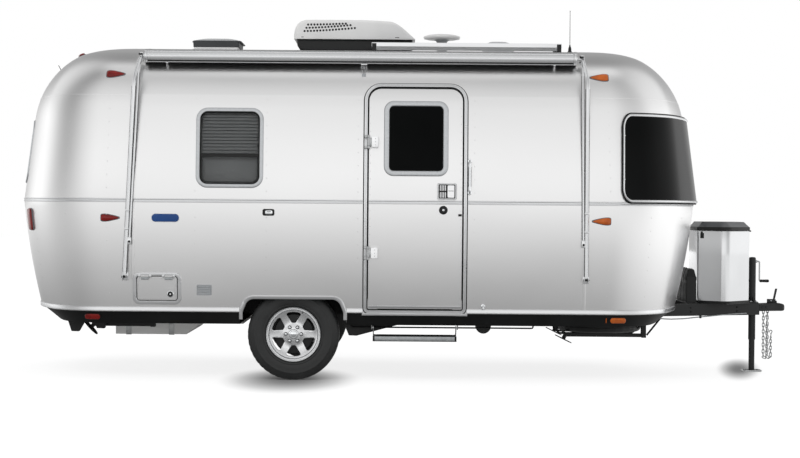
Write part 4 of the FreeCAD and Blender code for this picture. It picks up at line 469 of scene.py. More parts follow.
# Smooth shading, and what the piece rides on and stands for
def settle(piece, body, replaces, sharp=32):
    piece.data.shade_smooth()
    piece.data.set_sharp_from_angle(angle=radians(sharp))
    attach(piece, body)
    if replaces:
        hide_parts(*replaces)
    return piece


def fullTurn(steps):   # the angles of one turn
    return [2 * pi * i / steps for i in range(steps)]


def arcPoints(centre, radius, first, last, steps):   # points of an arc in a plane, angles in degrees
    turns = [radians(first + (last - first) * i / steps) for i in range(steps + 1)]
    return [(centre[0] + radius * cos(a), centre[1] + radius * sin(a)) for a in turns]


def roundedOutline(low, high, radius, grow=0.0, steps=6):   # a rectangle with round corners, all in metres
    x0, y0, x1, y1 = low[0] - grow, low[1] - grow, high[0] + grow, high[1] + grow
    r = min(max(radius + grow, 0.2 * mm), (x1 - x0) / 2 * 0.999, (y1 - y0) / 2 * 0.999)
    corners = (((x1 - r, y0 + r), -90), ((x1 - r, y1 - r), 0), ((x0 + r, y1 - r), 90),
        ((x0 + r, y0 + r), 180))
    return [p for centre, start in corners for p in arcPoints(centre, r, start, start + 90, steps)]


# Each loop is how far it is grown, and how far out of the base it lies
def loopRings(outline, loops, place, base):
    return [[place(a, b, base + out * mm) for a, b in outline(grow * mm)] for grow, out in loops]


def addFrame(shape, outline, loops, place, mark=0, base=0.0):   # a closed frame, its loops round its section
    shape.loft(loopRings(outline, loops, place, base), mark, joined=True)


def addPlate(shape, outline, loops, place, mark=0, base=0.0):   # a solid plate, its loops from back to front
    shape.loft(loopRings(outline, loops, place, base), mark)


def upright(a, b, out):   # a plan (x, y) with out as the height
    return Vector((a, b, out))


# A box with broken edges, low and high from at
def addBlock(shape, at, low, high, bevel=2, mark=0, place=upright):
    low, high = [[at[i] + end[i] * mm for i in range(3)] for end in (low, high)]
    bevel = min(bevel * mm, *((high[i] - low[i]) * 0.45 for i in range(3))) / mm

    def outline(grow):
        return roundedOutline(low[:2], high[:2], bevel * mm, grow, 2)

    top = (high[2] - low[2]) / mm
    loops = ((-bevel, 0), (-bevel * 0.3, bevel * 0.3), (0, bevel), (0, top - bevel),
        (-bevel * 0.3, top - bevel * 0.3), (-bevel, top))
    addPlate(shape, outline, loops, place, mark, low[2])


def axisFrame(axis):   # two directions square to an axis
    axis = Vector(axis).normalized()
    side = axis.cross(Vector(upward))
    if side.length < 0.1:
        side = Vector((1, 0, 0))
    side.normalize()
    return axis, side, axis.cross(side)


# (radius, along) turned about an axis
def addTurned(shape, profile, centre, axis, steps=24, mark=0, ends=True):
    axis, side, up = axisFrame(axis)
    rings = [[Vector(centre) + axis * along * mm + (side * cos(a) + up * sin(a)) * max(radius, 0.01) * mm
        for a in fullTurn(steps)] for radius, along in profile]
    shape.loft(rings, mark, ends)


def addTube(shape, path, radius, sides=10, mark=0, closed=False):   # a round bar along a line of points
    path = [Vector(point) for point in path]
    count = len(path)
    rings = []
    up = None
    for i, point in enumerate(path):
        after = path[(i + 1) % count] if closed or i < count - 1 else point
        before = path[i - 1] if closed or i > 0 else point
        along = (after - before).normalized()
        if up is None:
            up = axisFrame(along)[2]
        side = along.cross(up).normalized()
        up = side.cross(along).normalized()
        rings.append([point + (side * cos(a) + up * sin(a)) * radius * mm for a in fullTurn(sides)])
    shape.loft(rings, mark, joined=closed)


def bend(points, radius, steps=5):   # a line of points with its corners rounded
    points = [Vector(point) for point in points]
    line = [points[0]]
    for before, corner, after in zip(points, points[1:], points[2:]):
        back, on = before - corner, after - corner
        reach = min(radius * mm, back.length * 0.48, on.length * 0.48)
        start, end = corner + back.normalized() * reach, corner + on.normalized() * reach
        for i in range(steps + 1):
            t = i / steps
            line.append(start * (1 - t) ** 2 + corner * 2 * t * (1 - t) + end * t ** 2)
    return line + [points[-1]]


def addRivet(shape, point, normal, radius, rise, mark=0):   # a low domed head
    profile = [(radius, -0.2 * rise), (radius * 0.86, rise * 0.55), (radius * 0.45, rise)]
    addTurned(shape, profile, point, normal, 6, mark)


def rivetOn(shape, place, a, b, radius, rise):   # a head that stands square on a skin
    at = place(a, b, 0)
    addRivet(shape, at, place(a, b, 0.01) - at, radius, rise)


def applyModifiers(piece):
    graph = bpy.context.evaluated_depsgraph_get()
    mesh = bpy.data.meshes.new_from_object(piece.evaluated_get(graph))
    piece.modifiers.clear()
    piece.data = mesh


def spread(first, last, steps):
    return [first + (last - first) * i / steps for i in range(steps + 1)]


def inside(low, high, by):   # a rectangle's corners moved in by a few millimetres
    return (low[0] + by * mm, low[1] + by * mm), (high[0] - by * mm, high[1] - by * mm)


def fourRadii(radii):   # one radius for all four corners, or a list of four, as metres
    return [r * mm for r in (radii if isinstance(radii, (list, tuple)) else [radii] * 4)]


def lastPlace(low, high, rounds, before):   # halves a span down to where before() stops holding
    for _ in range(rounds):
        middle = (low + high) / 2
        if before(middle):
            low = middle
        else:
            high = middle
    return low


# Body hull: a side profile of three tangent arcs and plan rings of lines and arcs, in metres.

hull = {"sideRadius": 6.0, "eavesRadius": 0.48, "crownRadius": 4.0, "domeRadius": 0.68, "beltHeight": 1.365,
    "leanAbove": 0.136, "leanBelow": 0.1, "bowBelow": 0.097, "straightShare": 0.2245, "cornerShare": 0.612,
    "cornerLimit": 0.75, "noseLimit": 0.95, "floorHeight": 0.52, "wall": 0.042}
rearSeam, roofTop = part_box("roof_shell")[0].x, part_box("roof_shell")[1].z
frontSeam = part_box("roof_shell")[1].x
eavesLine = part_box("curb_side_wall")[1].z
halfWidth = -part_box("curb_side_wall")[0].y
reaches = {"rear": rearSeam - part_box("rear_cap")[0].x, "front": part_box("front_cap")[1].x - frontSeam}
seams = {"rear": rearSeam, "front": frontSeam}
turns = {"rear": -1, "front": 1}
cornerFrom, noseFrom = 0.84, 0.34   # the places round an end where its corner and its nose begin


def circlesMeet(first, firstReach, second, secondReach):
    apart = dist(first, second)
    along = (firstReach ** 2 - secondReach ** 2 + apart ** 2) / (2 * apart)
    off = sqrt(firstReach ** 2 - along ** 2)
    ux, uz = (second[0] - first[0]) / apart, (second[1] - first[1]) / apart
    return max((first[0] + ux * along - s * uz * off, first[1] + uz * along + s * ux * off) for s in (1, -1))


def profileArcs():   # side, eaves and crown: centre (y, z), radius, and the angle where each ends
    side = (halfWidth - hull["sideRadius"], hull["beltHeight"])
    crown = (0.0, roofTop - hull["crownRadius"])
    eaves = circlesMeet(side, hull["sideRadius"] - hull["eavesRadius"], crown,
        hull["crownRadius"] - hull["eavesRadius"])
    first = atan2(eaves[1] - side[1], eaves[0] - side[0])
    second = atan2(eaves[1] - crown[1], eaves[0] - crown[0])
    return ((side, hull["sideRadius"], first), (eaves, hull["eavesRadius"], second),
        (crown, hull["crownRadius"], pi / 2))


profile = profileArcs()
sideEnd, eavesEnd = profile[0][2], profile[1][2]


def profilePoint(angle, grow=0.0):
    centre, radius, _ = next((arc for arc in profile if angle <= arc[2] + 1e-9), profile[2])
    return centre[0] + (radius + grow) * cos(angle), centre[1] + (radius + grow) * sin(angle)


def angleAt(height):   # the outward direction of the profile at a height of the skin
    for centre, radius, last in profile:
        if height <= centre[1] + radius * sin(last) + 1e-9:
            return asin(min(1.0, (height - centre[1]) / radius))
    return pi / 2


def endInset(height, grow=0.0):
    above = height - hull["beltHeight"]
    if above < 0:
        return -above * hull["leanBelow"] + above ** 2 * hull["bowBelow"] - grow
    lean, radius = hull["leanAbove"], hull["domeRadius"]
    slant = hypot(1, lean)
    domeHeight = roofTop - radius
    if height < domeHeight + (radius + grow) * lean / slant:
        return lean * above - grow * slant
    centre = lean * (domeHeight - hull["beltHeight"]) + radius * slant
    return centre - sqrt(max(0.0, (radius + grow) ** 2 - (height - domeHeight) ** 2))


# Straight run, corner radius and its centre, nose radius and its centre, meeting angle
def endPlan(reach, half, grow):
    full = reach - grow
    straight = max(hull["straightShare"] * full, full - hull["noseLimit"] * (half - grow))
    corner = min(hull["cornerShare"] * full, hull["cornerLimit"] * (half - grow)) + grow
    aside = half - corner
    nose = ((straight - reach) ** 2 + aside ** 2 - corner ** 2) / (2 * (reach - straight - corner))
    centre = reach - nose
    return straight, corner, aside, nose, centre, atan2(aside, straight - centre)


# t runs from -1 at the curb seam, by 0 at the tip, to 1 at the street seam
def endPoint(end, angle, t, grow=0.0):
    half, height = profilePoint(angle, grow)
    half = max(half, 0.2 * mm)
    reach = reaches[end] - endInset(height, grow)
    straight, corner, aside, nose, centre, meet = endPlan(reach, half, grow)
    share = abs(t)
    if share > cornerFrom:
        along, out = straight * (1 - share) / (1 - cornerFrom), half
    elif share > noseFrom:
        a = pi / 2 + (meet - pi / 2) * (cornerFrom - share) / (cornerFrom - noseFrom)
        along, out = straight + corner * cos(a), aside + corner * sin(a)
    else:
        a = meet * share / noseFrom
        along, out = centre + nose * cos(a), nose * sin(a)
    return Vector((seams[end] + turns[end] * along, copysign(out, t), height))


def planHalf(end, inset, half, x):   # half the width of an end's plan at a place along X
    straight, corner, aside, nose, centre, meet = endPlan(reaches[end] - inset, half, 0.0)
    along = (x - seams[end]) * turns[end]
    if along <= straight:
        return half
    if along <= straight + corner * cos(meet):
        return aside + sqrt(max(0.0, corner ** 2 - (along - straight) ** 2))
    return sqrt(max(0.0, nose ** 2 - (along - centre) ** 2))


def ringHalf(x, height):   # half the body's width at a place along X and a height
    half = profilePoint(angleAt(height))[0]
    return planHalf("rear" if x < rearSeam else "front", endInset(height), half, x)


def ringReach(end, y, height):   # the end's face at a place along Y and a height, as X
    half = profilePoint(angleAt(height))[0]
    straight, corner, aside, nose, centre, meet = endPlan(reaches[end] - endInset(height), half, 0.0)
    if abs(y) <= nose * sin(meet):
        along = centre + sqrt(nose ** 2 - y ** 2)
    else:
        along = straight + sqrt(max(0.0, corner ** 2 - (abs(y) - aside) ** 2))
    return seams[end] + turns[end] * along


def onSkin(skin, turn):   # (a, b, out) on a face of the body, with out square to the skin
    def place(a, b, out):
        step = 2 * mm
        along = skin(a + step, b) - skin(a - step, b)
        up = skin(a, b + step) - skin(a, b - step)
        return skin(a, b) + along.cross(up).normalized() * out * turn

    return place


def onSide(side):   # (x, z, out) on a side of the body: side is -1 at the curb, 1 at the street
    return onSkin(lambda x, z: Vector((x, side * ringHalf(x, z), z)), -side)


def onEnd(end):   # (y, z, out) on an end's face
    return onSkin(lambda y, z: Vector((ringReach(end, y, z), y, z)), turns[end])


curb, street = onSide(-1), onSide(1)


def wallPoint(angle, x, grow, side):
    out, height = profilePoint(angle, grow)
    return Vector((x, side * out, height))


def gridFaces(rows, columns):   # skin, lining and rim between a grid's outer and inner points
    half = rows * columns
    skin, lining = [], []
    for i in range(rows - 1):
        for a in range(i * columns, (i + 1) * columns - 1):
            b = a + columns
            skin.append([a, a + 1, b + 1, b])
            lining.append([half + b, half + b + 1, half + a + 1, half + a])
    edge = list(range(columns)) + [i * columns + columns - 1 for i in range(1, rows)]
    edge += [(rows - 1) * columns + j for j in range(columns - 2, -1, -1)]
    edge += [i * columns for i in range(rows - 2, 0, -1)]
    return skin, lining, [[a, half + a, half + b, b] for a, b in zip(edge, edge[1:] + edge[:1])]


# A closed wall with its lining inside; point takes (row, column, grow)
def shellFromGrid(point, rows, columns):
    shape = Shape()
    points = [point(i, j, grow) for grow in (0.0, -hull["wall"]) for i in range(rows)
        for j in range(columns)]
    skin, lining, rim = gridFaces(rows, columns)
    shape.points, shape.faces = points, skin + lining + rim
    shape.marks = [0] * len(skin) + [1] * len(lining) + [0] * len(rim)
    return shape


def cutOut(piece, cutters):   # takes the cutters' space out of a piece
    for cutter in cutters:
        tool = cutter.buildTool()
        change = piece.modifiers.new("opening", "BOOLEAN")
        change.operation = "DIFFERENCE"
        change.solver = "EXACT"
        change.object = tool
    bpy.context.view_layer.update()
    applyModifiers(piece)
    for cutter in cutters:
        bpy.data.objects.remove(cutter.tool)


def throughSide(a, b, c):   # (x, z) outlines that run along Y
    return Vector((a, c, b))


def throughEnd(a, b, c):   # (y, z) outlines that run along X
    return Vector((c, a, b))


class Cutter:   # a prism through a wall, from an outline and the two ends of its run
    def __init__(self, outline, near, far, place):
        self.shape = Shape()
        self.shape.loft([[place(a, b, run) for a, b in outline] for run in (near, far)])

    def buildTool(self):
        mesh = bpy.data.meshes.new("cutter")
        mesh.from_pydata(self.shape.points, [], self.shape.faces)
        cleanMesh(mesh)
        self.tool = addObject("cutter", mesh)
        return self.tool


# "glassCorner" here, and the corners and radii of the door, hatch and guard below, are in millimetres.
openings = {"gap": 6 * mm, "doorCorner": 92 * mm, "hatchCorner": 18 * mm, "glassCorner": 62,
    "archHalf": 0.408, "archTopHalf": 0.368, "archTop": 0.647, "archCorner": 95 * mm,
    "glassRise": (1.491, 2.046), "streetGlass": ((0.16, 0.868), (-1.75, -1.042)),
    "curbGlass": (-1.575, -1.117), "rearGlass": 0.454, "rearRise": (1.526, 1.974)}
axleX = (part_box("tyre_curb")[0].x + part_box("tyre_curb")[1].x) / 2
doorLow, doorHigh = Vector((-0.29, 0, 0.556)), Vector((0.419, 0, 2.228))
hatchLow, hatchHigh = Vector((-2.043, 0, 0.609)), Vector((-1.742, 0, 0.787))


def cornered(points, radii, steps=8):   # an outline with its corners rounded by true arcs
    line = []
    count = len(points)
    for i, corner in enumerate(points):
        corner = Vector(corner)
        back = (Vector(points[i - 1]) - corner).normalized()
        ahead = (Vector(points[(i + 1) % count]) - corner).normalized()
        radius = radii[i]
        if radius == 0:
            line.append((corner.x, corner.y))
            continue
        half = back.angle(ahead) / 2
        middle = corner + (back + ahead).normalized() * (radius / sin(half))
        start = corner + back * (radius / tan(half)) - middle
        end = corner + ahead * (radius / tan(half)) - middle
        turn = start.angle_signed(end)
        for k in range(steps + 1):
            a = -turn * k / steps
            line.append((middle.x + start.x * cos(a) - start.y * sin(a),
                middle.y + start.x * sin(a) + start.y * cos(a)))
    return line


def archOutline(grow, foot):
    half, top, high = openings["archHalf"] + grow, openings["archTopHalf"] + grow, openings["archTop"] + grow
    shoulder, r = 0.523, openings["archCorner"] + grow
    return cornered([(axleX - half, foot), (axleX + half, foot), (axleX + half, shoulder),
        (axleX + top, high), (axleX - top, high), (axleX - half, shoulder)], [0, 0, r, r, r, r])


lowAngle = angleAt(hull["floorHeight"])
sideRows = spread(lowAngle, sideEnd, 40)
eavesRows = spread(sideEnd, eavesEnd, 18)[1:]
crownRows = spread(eavesEnd, pi / 2, 12)[1:]
wallTop = angleAt(eavesLine)


def overTop(angles):   # up the curb side and down the street side
    return [(a, -1) for a in angles] + [(a, 1) for a in angles[-2::-1]]


def addWalls():
    xs = spread(rearSeam, frontSeam, 24)
    wallAngles = [a for a in sideRows if a < wallTop - 0.002] + [wallTop]
    for name, node, side in (("curb_skin", "curb_side_wall", -1), ("street_skin", "street_side_wall", 1)):
        shape = shellFromGrid(lambda i, j, grow: wallPoint(wallAngles[i], xs[j], grow, side),
            len(wallAngles), len(xs))
        piece = shape.build(name, ["cladAluminium", "laminateBoard"], weld=False)
        near, far = side * halfWidth * 0.7, side * halfWidth * 1.3
        rise = openings["glassRise"]
        cutters = [Cutter(archOutline(0, 0.4), near, far, throughSide)]
        if side < 0:
            gap = openings["gap"]
            outlines = [roundedOutline(doorLow.xz, doorHigh.xz, openings["doorCorner"], gap, 8),
                roundedOutline(hatchLow.xz, hatchHigh.xz, openings["hatchCorner"], gap)]
            windows = [openings["curbGlass"]]
        else:
            outlines, windows = [], openings["streetGlass"]
        outlines += [roundedOutline((a, rise[0]), (b, rise[1]), openings["glassCorner"] * mm)
            for a, b in windows]
        cutters += [Cutter(outline, near, far, throughSide) for outline in outlines]
        cutOut(piece, cutters)
        settle(piece, root, [node])
    whole = [a for a in eavesRows + crownRows if a > wallTop + 0.002]
    sweep = overTop([wallTop] + whole)
    shape = shellFromGrid(lambda i, j, grow: wallPoint(sweep[i][0], xs[j], grow, sweep[i][1]), len(sweep),
        len(xs))
    roof = shape.build("roof_skin", ["cladAluminium", "laminateBoard"], weld=False)
    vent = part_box("roof_vent_lid")
    middle, half = (vent[0].x + vent[1].x) / 2 + 8 * mm, 0.18
    outline = roundedOutline((middle - half, -half), (middle + half, half), 10 * mm)
    hole = Cutter(outline, 2.4, 2.7, upright)
    door = Cutter(roundedOutline(doorLow.xz, doorHigh.xz, openings["doorCorner"], openings["gap"], 8),
        -halfWidth * 1.3, -halfWidth * 0.7, throughSide)
    cutOut(roof, [hole, door])
    settle(roof, root, ["roof_shell"])


def addCaps():
    angles = sideRows + eavesRows + crownRows
    columns = spread(-1, 1, 72)
    for end, node in (("rear", "rear_cap"), ("front", "front_cap")):
        shape = shellFromGrid(lambda i, j, grow: endPoint(end, angles[i], columns[j], grow),
            len(angles), len(columns))
        piece = shape.build(end + "_skin", ["cladAluminium", "laminateBoard"])
        if end == "rear":
            half, rise = openings["rearGlass"], openings["rearRise"]
            outline = roundedOutline((-half, rise[0]), (half, rise[1]), openings["glassCorner"] * mm)
            cutOut(piece, [Cutter(outline, rearSeam - 2, rearSeam - 0.5, throughEnd)])
        settle(piece, root, [node])


addWalls()
addCaps()
print("skins made")


# Lines round the body: each stop turns a height and a distance out of the skin into a point.


def alongSide(place, first, last, steps=12):
    return [lambda z, out, x=x: place(x, z, out) for x in spread(first, last, steps)]


def aroundEnd(end, first=-1.0, last=1.0, steps=64):
    return [lambda z, out, t=t: endPoint(end, angleAt(z), t, out) for t in spread(first, last, steps)]


def endShare(end, z, y):   # the place round an end where it passes a given Y
    return copysign(lastPlace(0.0, 1.0, 30, lambda t: endPoint(end, angleAt(z), t).y < abs(y)), y)


def addBand(shape, stops, z, section, mark=0):   # a moulding: section is (up, out) round its outline
    shape.loft([[stop(z + up * mm, out * mm) for up, out in section] for stop in stops], mark)


# An outline that keeps points along its straight sides
def denseOutline(low, high, radii, pitch=40, steps=7):
    radii, pitch = fourRadii(radii), pitch * mm
    sides = [(low[0], low[1]), (high[0], low[1]), (high[0], high[1]), (low[0], high[1])]
    counts = [max(1, round((dist(sides[i], sides[(i + 1) % 4])) / pitch)) for i in range(4)]

    def outline(grow=0.0):
        x0, y0, x1, y1 = low[0] - grow, low[1] - grow, high[0] + grow, high[1] + grow
        corners = ((x0, y0, 1, 1, 180), (x1, y0, -1, 1, 270), (x1, y1, -1, -1, 0), (x0, y1, 1, -1, 90))
        line = []
        arcs = []
        for (x, y, sx, sy, start), radius in zip(corners, radii):
            r = max(radius + grow, 0.2 * mm)
            arcs.append(arcPoints((x + sx * r, y + sy * r), r, start, start + 90, steps))
        for i in range(4):
            line += arcs[i]
            a, b = arcs[i][-1], arcs[(i + 1) % 4][0]
            line += [(a[0] + (b[0] - a[0]) * k / counts[i], a[1] + (b[1] - a[1]) * k / counts[i])
                for k in range(1, counts[i])]
        return line

    return outline


# A plate that follows the skin, between two outs
def addSheet(shape, low, high, radii, outs, place, mark=0):
    width, rise = high[0] - low[0], high[1] - low[1]
    radii, pitch = fourRadii(radii), 40 * mm
    rows, columns = max(2, round(rise / pitch)), max(2, round(width / pitch))
    turn = [1 - cos(radians(a)) for a in range(0, 91, 15)]
    heights = sorted({0.0, rise, *(rise * i / rows for i in range(1, rows)),
        *(r * t for r in radii[:2] for t in turn), *(rise - r * t for r in radii[2:] for t in turn)})
    heights = [h for i, h in enumerate(heights) if i == 0 or h - heights[i - 1] > 0.05 * mm]

    def inset(h, below, above):
        if h < below:
            return below - sqrt(max(0.0, below ** 2 - (below - h) ** 2))
        if h > rise - above:
            return above - sqrt(max(0.0, above ** 2 - (h - rise + above) ** 2))
        return 0.0

    points = []
    for out in outs:
        for h in heights:
            left, right = low[0] + inset(h, radii[0], radii[3]), high[0] - inset(h, radii[1], radii[2])
            points += [place(a, low[1] + h, out * mm) for a in spread(left, right, columns)]
    skin, lining, rim = gridFaces(len(heights), columns + 1)
    shape.add(points, skin + lining + rim, mark)


# Mouldings: the half-round rail at the foot, the double line at the belt and the laps at the seams.

railAt = {"z": 0.54, "section": ((-17, 0.2), (-16.4, 9), (-15, 11.6), (-12.6, 12.9), (-9.6, 12.4),
    (-8.8, 11.6), (-8, 12), (11, 7.8), (14, 6.6), (16.4, 4), (17, 0.2))}
beltAt = {"z": 1.366, "section": ((-15, 0), (-14.5, 3.2), (-12, 5), (-8, 5), (-5, 3), (-3, 1.4), (3, 1.4),
    (5, 3), (8, 5), (12, 5), (14.5, 3.2), (15, 0))}
jamb = {"left": -0.33, "right": 0.459}


def addMouldings():
    shape = Shape()
    section, z = railAt["section"], railAt["z"]
    half = openings["archHalf"]
    notch = [endShare("front", z, y) for y in (0.328, 0.408)]
    back = alongSide(curb, axleX - half, rearSeam) + aroundEnd("rear")[1:]
    back += alongSide(street, rearSeam, axleX - half)[1:]
    middle = alongSide(curb, axleX + half, jamb["left"] - 1 * mm, 4)
    curbNose = alongSide(curb, jamb["right"] + 1 * mm, frontSeam) + aroundEnd("front", -1, -notch[1], 26)[1:]
    nose = aroundEnd("front", -notch[0], notch[0], 24)
    streetNose = aroundEnd("front", notch[1], 1, 26) + alongSide(street, frontSeam, axleX + half)[1:]
    for span in (back, middle, curbNose, nose, streetNose):
        addBand(shape, span, z, section)
    shape.build("base_moulding", ["anodisedAluminium"], slot="aluminium_trim", replaces=["base_rail"])

    belt = Shape()
    ring = alongSide(curb, jamb["right"], frontSeam) + aroundEnd("front")[1:]
    ring += alongSide(street, frontSeam, rearSeam)[1:] + aroundEnd("rear", 1, -1)[1:]
    ring += alongSide(curb, rearSeam, jamb["left"])[1:]
    addBand(belt, ring, beltAt["z"], beltAt["section"])
    piece = belt.build("belt_moulding", ["anodisedAluminium"], slot="aluminium_trim")
    for vertex in piece.data.vertices:   # no farther back than the rear end itself
        vertex.co.x = max(vertex.co.x, cadBox[0][0] + 0.2 * mm)


def addLaps():   # where the sheets overlap: thin straps with rivets along them
    shape = Shape()
    sweep = overTop(sideRows[::4] + eavesRows[::2] + crownRows[::3] + [pi / 2])
    for seam, turn in ((rearSeam, -1), (frontSeam, 1)):
        rings = []
        for angle, side in sweep:
            rings.append([wallPoint(angle, seam + turn * across * mm, out * mm, side)
                for across, out in ((-13, -0.5), (-13, 0.9), (-12, 1.4), (12, 1.4), (13, 0.9), (13, -0.5))])
        shape.loft(rings)
        for angle, side in sweep:
            if profilePoint(angle)[1] > 0.6:
                place = wallPoint(angle, seam, 0.0, side)
                out = wallPoint(angle, seam, 0.01, side) - place
                addRivet(shape, place, out.normalized(), 3.4, 2.8)
    for end in ("rear", "front"):
        addBand(shape, aroundEnd(end, -0.97, 0.97), 2.17, ((-4, 0), (-4, 1.2), (-2, 1.7),
            (4, 1.7), (5, 0.9), (5, 0)))
    shape.build("skin_laps", ["cladAluminium"], slot="aluminium_trim")


# In millimetres: rows along X on each side, how high they run, and what they leave out.
rivetRows = {"curb": (-1605, -1065, -372, 512), "street": (-1300, -420, 480), "reach": (640, 2150),
    "pitch": 100, "window": ((-1640, -1080), (1440, 2100)), "archTop": 760, "archHalf": 450, "beltGap": 30}


def addRivets():
    shape = Shape()
    (left, right), (sill, lintel) = rivetRows["window"]
    for name, place in (("curb", curb), ("street", street)):
        for x in rivetRows[name]:
            z = rivetRows["reach"][0]
            while z < rivetRows["reach"][1]:
                window = left < x < right and sill < z < lintel
                arch = z < rivetRows["archTop"] and abs(x - axleX / mm) < rivetRows["archHalf"]
                if not window and not arch and abs(z - beltAt["z"] / mm) > rivetRows["beltGap"]:
                    rivetOn(shape, place, x * mm, z * mm, 4.2, 2.2)
                z += rivetRows["pitch"]
    for end in ("rear", "front"):
        for t in (-0.86, -0.6, -0.3, 0.3, 0.6, 0.86):
            for z in spread(0.66, 2.06, 14):
                at = endPoint(end, angleAt(z), t)
                if abs(z - beltAt["z"]) > rivetRows["beltGap"] * mm and not (abs(t) < 0.5 and z > 1.4):
                    addRivet(shape, at, endPoint(end, angleAt(z), t, 0.01) - at, 4.2, 2.2)
    shape.build("skin_rivets", ["cladAluminium"], slot="aluminium_trim", weld=False)


def addArchTrim():   # a bright lip round each wheel arch
    shape = Shape()
    foot = 0.466
    for side in (-1, 1):
        rings = []
        for grow, out in ((2, -8), (2, 9), (-4, 13), (-18, 13), (-24, 10), (-27, 4), (-27, -10), (-22, -12)):
            outline = archOutline(grow * mm, foot)
            rings.append([Vector((x, side * (ringHalf(0.0, z) + out * mm), z))
                for x, z in outline[1:] + outline[:1]])
        shape.loft(list(zip(*rings)))
    shape.build("arch_trim", ["anodisedAluminium"], slot="aluminium_trim")


addMouldings()
addLaps()
addRivets()
addArchTrim()
print("mouldings made")


# Entry door: the leaf, its window, its handle and lock, and the moulded frame round it.

door = {"low": (doorLow.x, doorLow.z), "high": (doorHigh.x, doorHigh.z), "radii": (6, 6, 92, 92),
    "glassLow": (-0.14, 1.601), "glassHigh": (0.274, 2.097), "glassCorner": 36,
    "hinge": Vector((-0.293, -1.249, 0)), "hingeHeights": (0.979, 1.821)}
jambSection = ((6.2, -6), (6.2, 7), (8, 10.5), (12, 12), (19, 11.6), (22, 8.6), (25, 8.6), (28, 11.4),
    (35, 11.4), (38.5, 8.5), (40, 3), (40, -0.5))
glassTrim = ((-1, -0.5), (-1, 5.5), (1.5, 8), (7, 9.4), (29, 9.4), (34, 7.6),
    (37.4, 3.5), (38, 0.1), (38, -0.5))


def addDoor():
    leaf = Shape()
    addSheet(leaf, door["low"], door["high"], door["radii"], (0, -34), curb)
    addSheet(leaf, *inside(door["low"], door["high"], 4), [4] * 2 + [88] * 2, (-33.5, -36), curb, 1)
    leaf.build("door_leaf", ["cladAluminium", "laminateBoard"], "door", "aluminium_skin", ["entry_door"])
    trim = Shape()
    outline = denseOutline(door["glassLow"], door["glassHigh"], door["glassCorner"])
    addFrame(trim, outline, glassTrim, curb)
    addFrame(trim, outline, ((-7, -0.5), (-7, 3.2), (-5.5, 4.6), (-1.2, 5), (-0.8, -0.5)), curb, 1)
    trim.build("door_window_trim", ["stippledAluminium", "sealRubber"], "door", "aluminium_trim")
    glass = Shape()
    for outs in ((2.4, 0.4), (-36.4, -38.4)):
        addSheet(glass, *inside(door["glassLow"], door["glassHigh"], 4), 33, outs, curb)
    glass.build("door_glass", ["tintedGlass"], "door", "window_glass", ["door_pane"])
    strips = Shape()
    addBand(strips, alongSide(curb, door["low"][0] + 1 * mm, door["high"][0] - 1 * mm, 8), beltAt["z"],
        beltAt["section"])
    addBand(strips, alongSide(curb, door["low"][0] + 4 * mm, door["high"][0] - 4 * mm, 8), 0.57,
        ((-9, 0), (-8, 4), (-4, 6), (6, 6), (9, 3), (10, 0)))
    for x in (door["low"][0] + 11 * mm, door["high"][0] - 11 * mm):
        for z in spread(0.64, 2.08, 24):
            fromHinge = min(abs(z - h) for h in door["hingeHeights"])
            if abs(z - beltAt["z"]) > 0.03 and (x > 0 or fromHinge > 0.06):
                rivetOn(strips, curb, x, z, 3.2, 1.8)
    strips.build("door_strips", ["anodisedAluminium"], "door", "aluminium_trim")
    frame = Shape()
    outline = denseOutline(door["low"], door["high"], door["radii"])
    addFrame(frame, outline, jambSection, curb)
    addFrame(frame, outline, ((4.4, -30), (4.4, -3), (6, -2), (6, -30)), curb, 1)
    addFrame(frame, outline, ((4.6, -3), (4.6, 9.6), (6.4, 11.8), (9.6, 12.6), (12.4, 12.4), (12.4, 10)),
        curb, 1)
    addFrame(frame, outline, ((35.6, 8), (35.6, 11.8), (38.6, 10.4), (42.6, 3.2), (43.4, -0.4), (38, -0.4)),
        curb, 1)
    addBand(frame, alongSide(curb, jamb["left"] - 6 * mm, jamb["right"] + 6 * mm, 8), 0.514,
        ((-9, -2), (-9, 15), (-6, 18), (5, 18), (9, 13), (10, -2)))
    frame.build("door_jamb", ["anodisedAluminium", "sealRubber"], root, "aluminium_trim", ["door_frame"])


def addDoorHinges():
    moving, fixed, white = Shape(), Shape(), Shape()
    for z in door["hingeHeights"]:
        at = door["hinge"] + Vector((0, 0, z))
        half = 30   # of the knuckle that swings, in mm
        addTurned(moving, [(9, -half), (10.5, -half + 1.5), (10.5, half - 1.5), (9, half)], at, upward, 16)
        addBlock(moving, at, (6, -2.4, -half), (30, 2.4, half), 1)
        for sign in (-1, 1):
            near, far = half + 1, half + 21
            addTurned(fixed, [(9, near), (10.5, near + 1.5), (10.5, far - 1.5), (8, far), (4, far + 1.5)],
                at, (0, 0, sign), 16)
            low, high = sorted((sign * near, sign * far))
            addBlock(fixed, at, (-32, -2.4, low), (-4, 2.4, high), 1)
            addBlock(fixed, at, (-32, 0, low), (-22, (curb(at.x, z, 0).y - at.y) / mm + 4, high), 1)
        face = curb(at.x + 0.05, z, 0).y
        addBlock(white, at, (22, -3.4, -40), (74, (face - at.y) / mm + 1, 40), 5)
        for up in (-24, 0, 24):
            addRivet(white, (at.x + 52 * mm, at.y - 3.4 * mm, z + up * mm), towardCurb, 4, 1.6, 1)
    moving.build("door_hinge_knuckles", ["zincPlate"], "door", "aluminium_trim")
    white.build("door_hinge_plates", ["hingePaint", "zincPlate"], "door", "white_plastic")
    fixed.build("door_hinge_lugs", ["zincPlate"], root, "aluminium_trim")


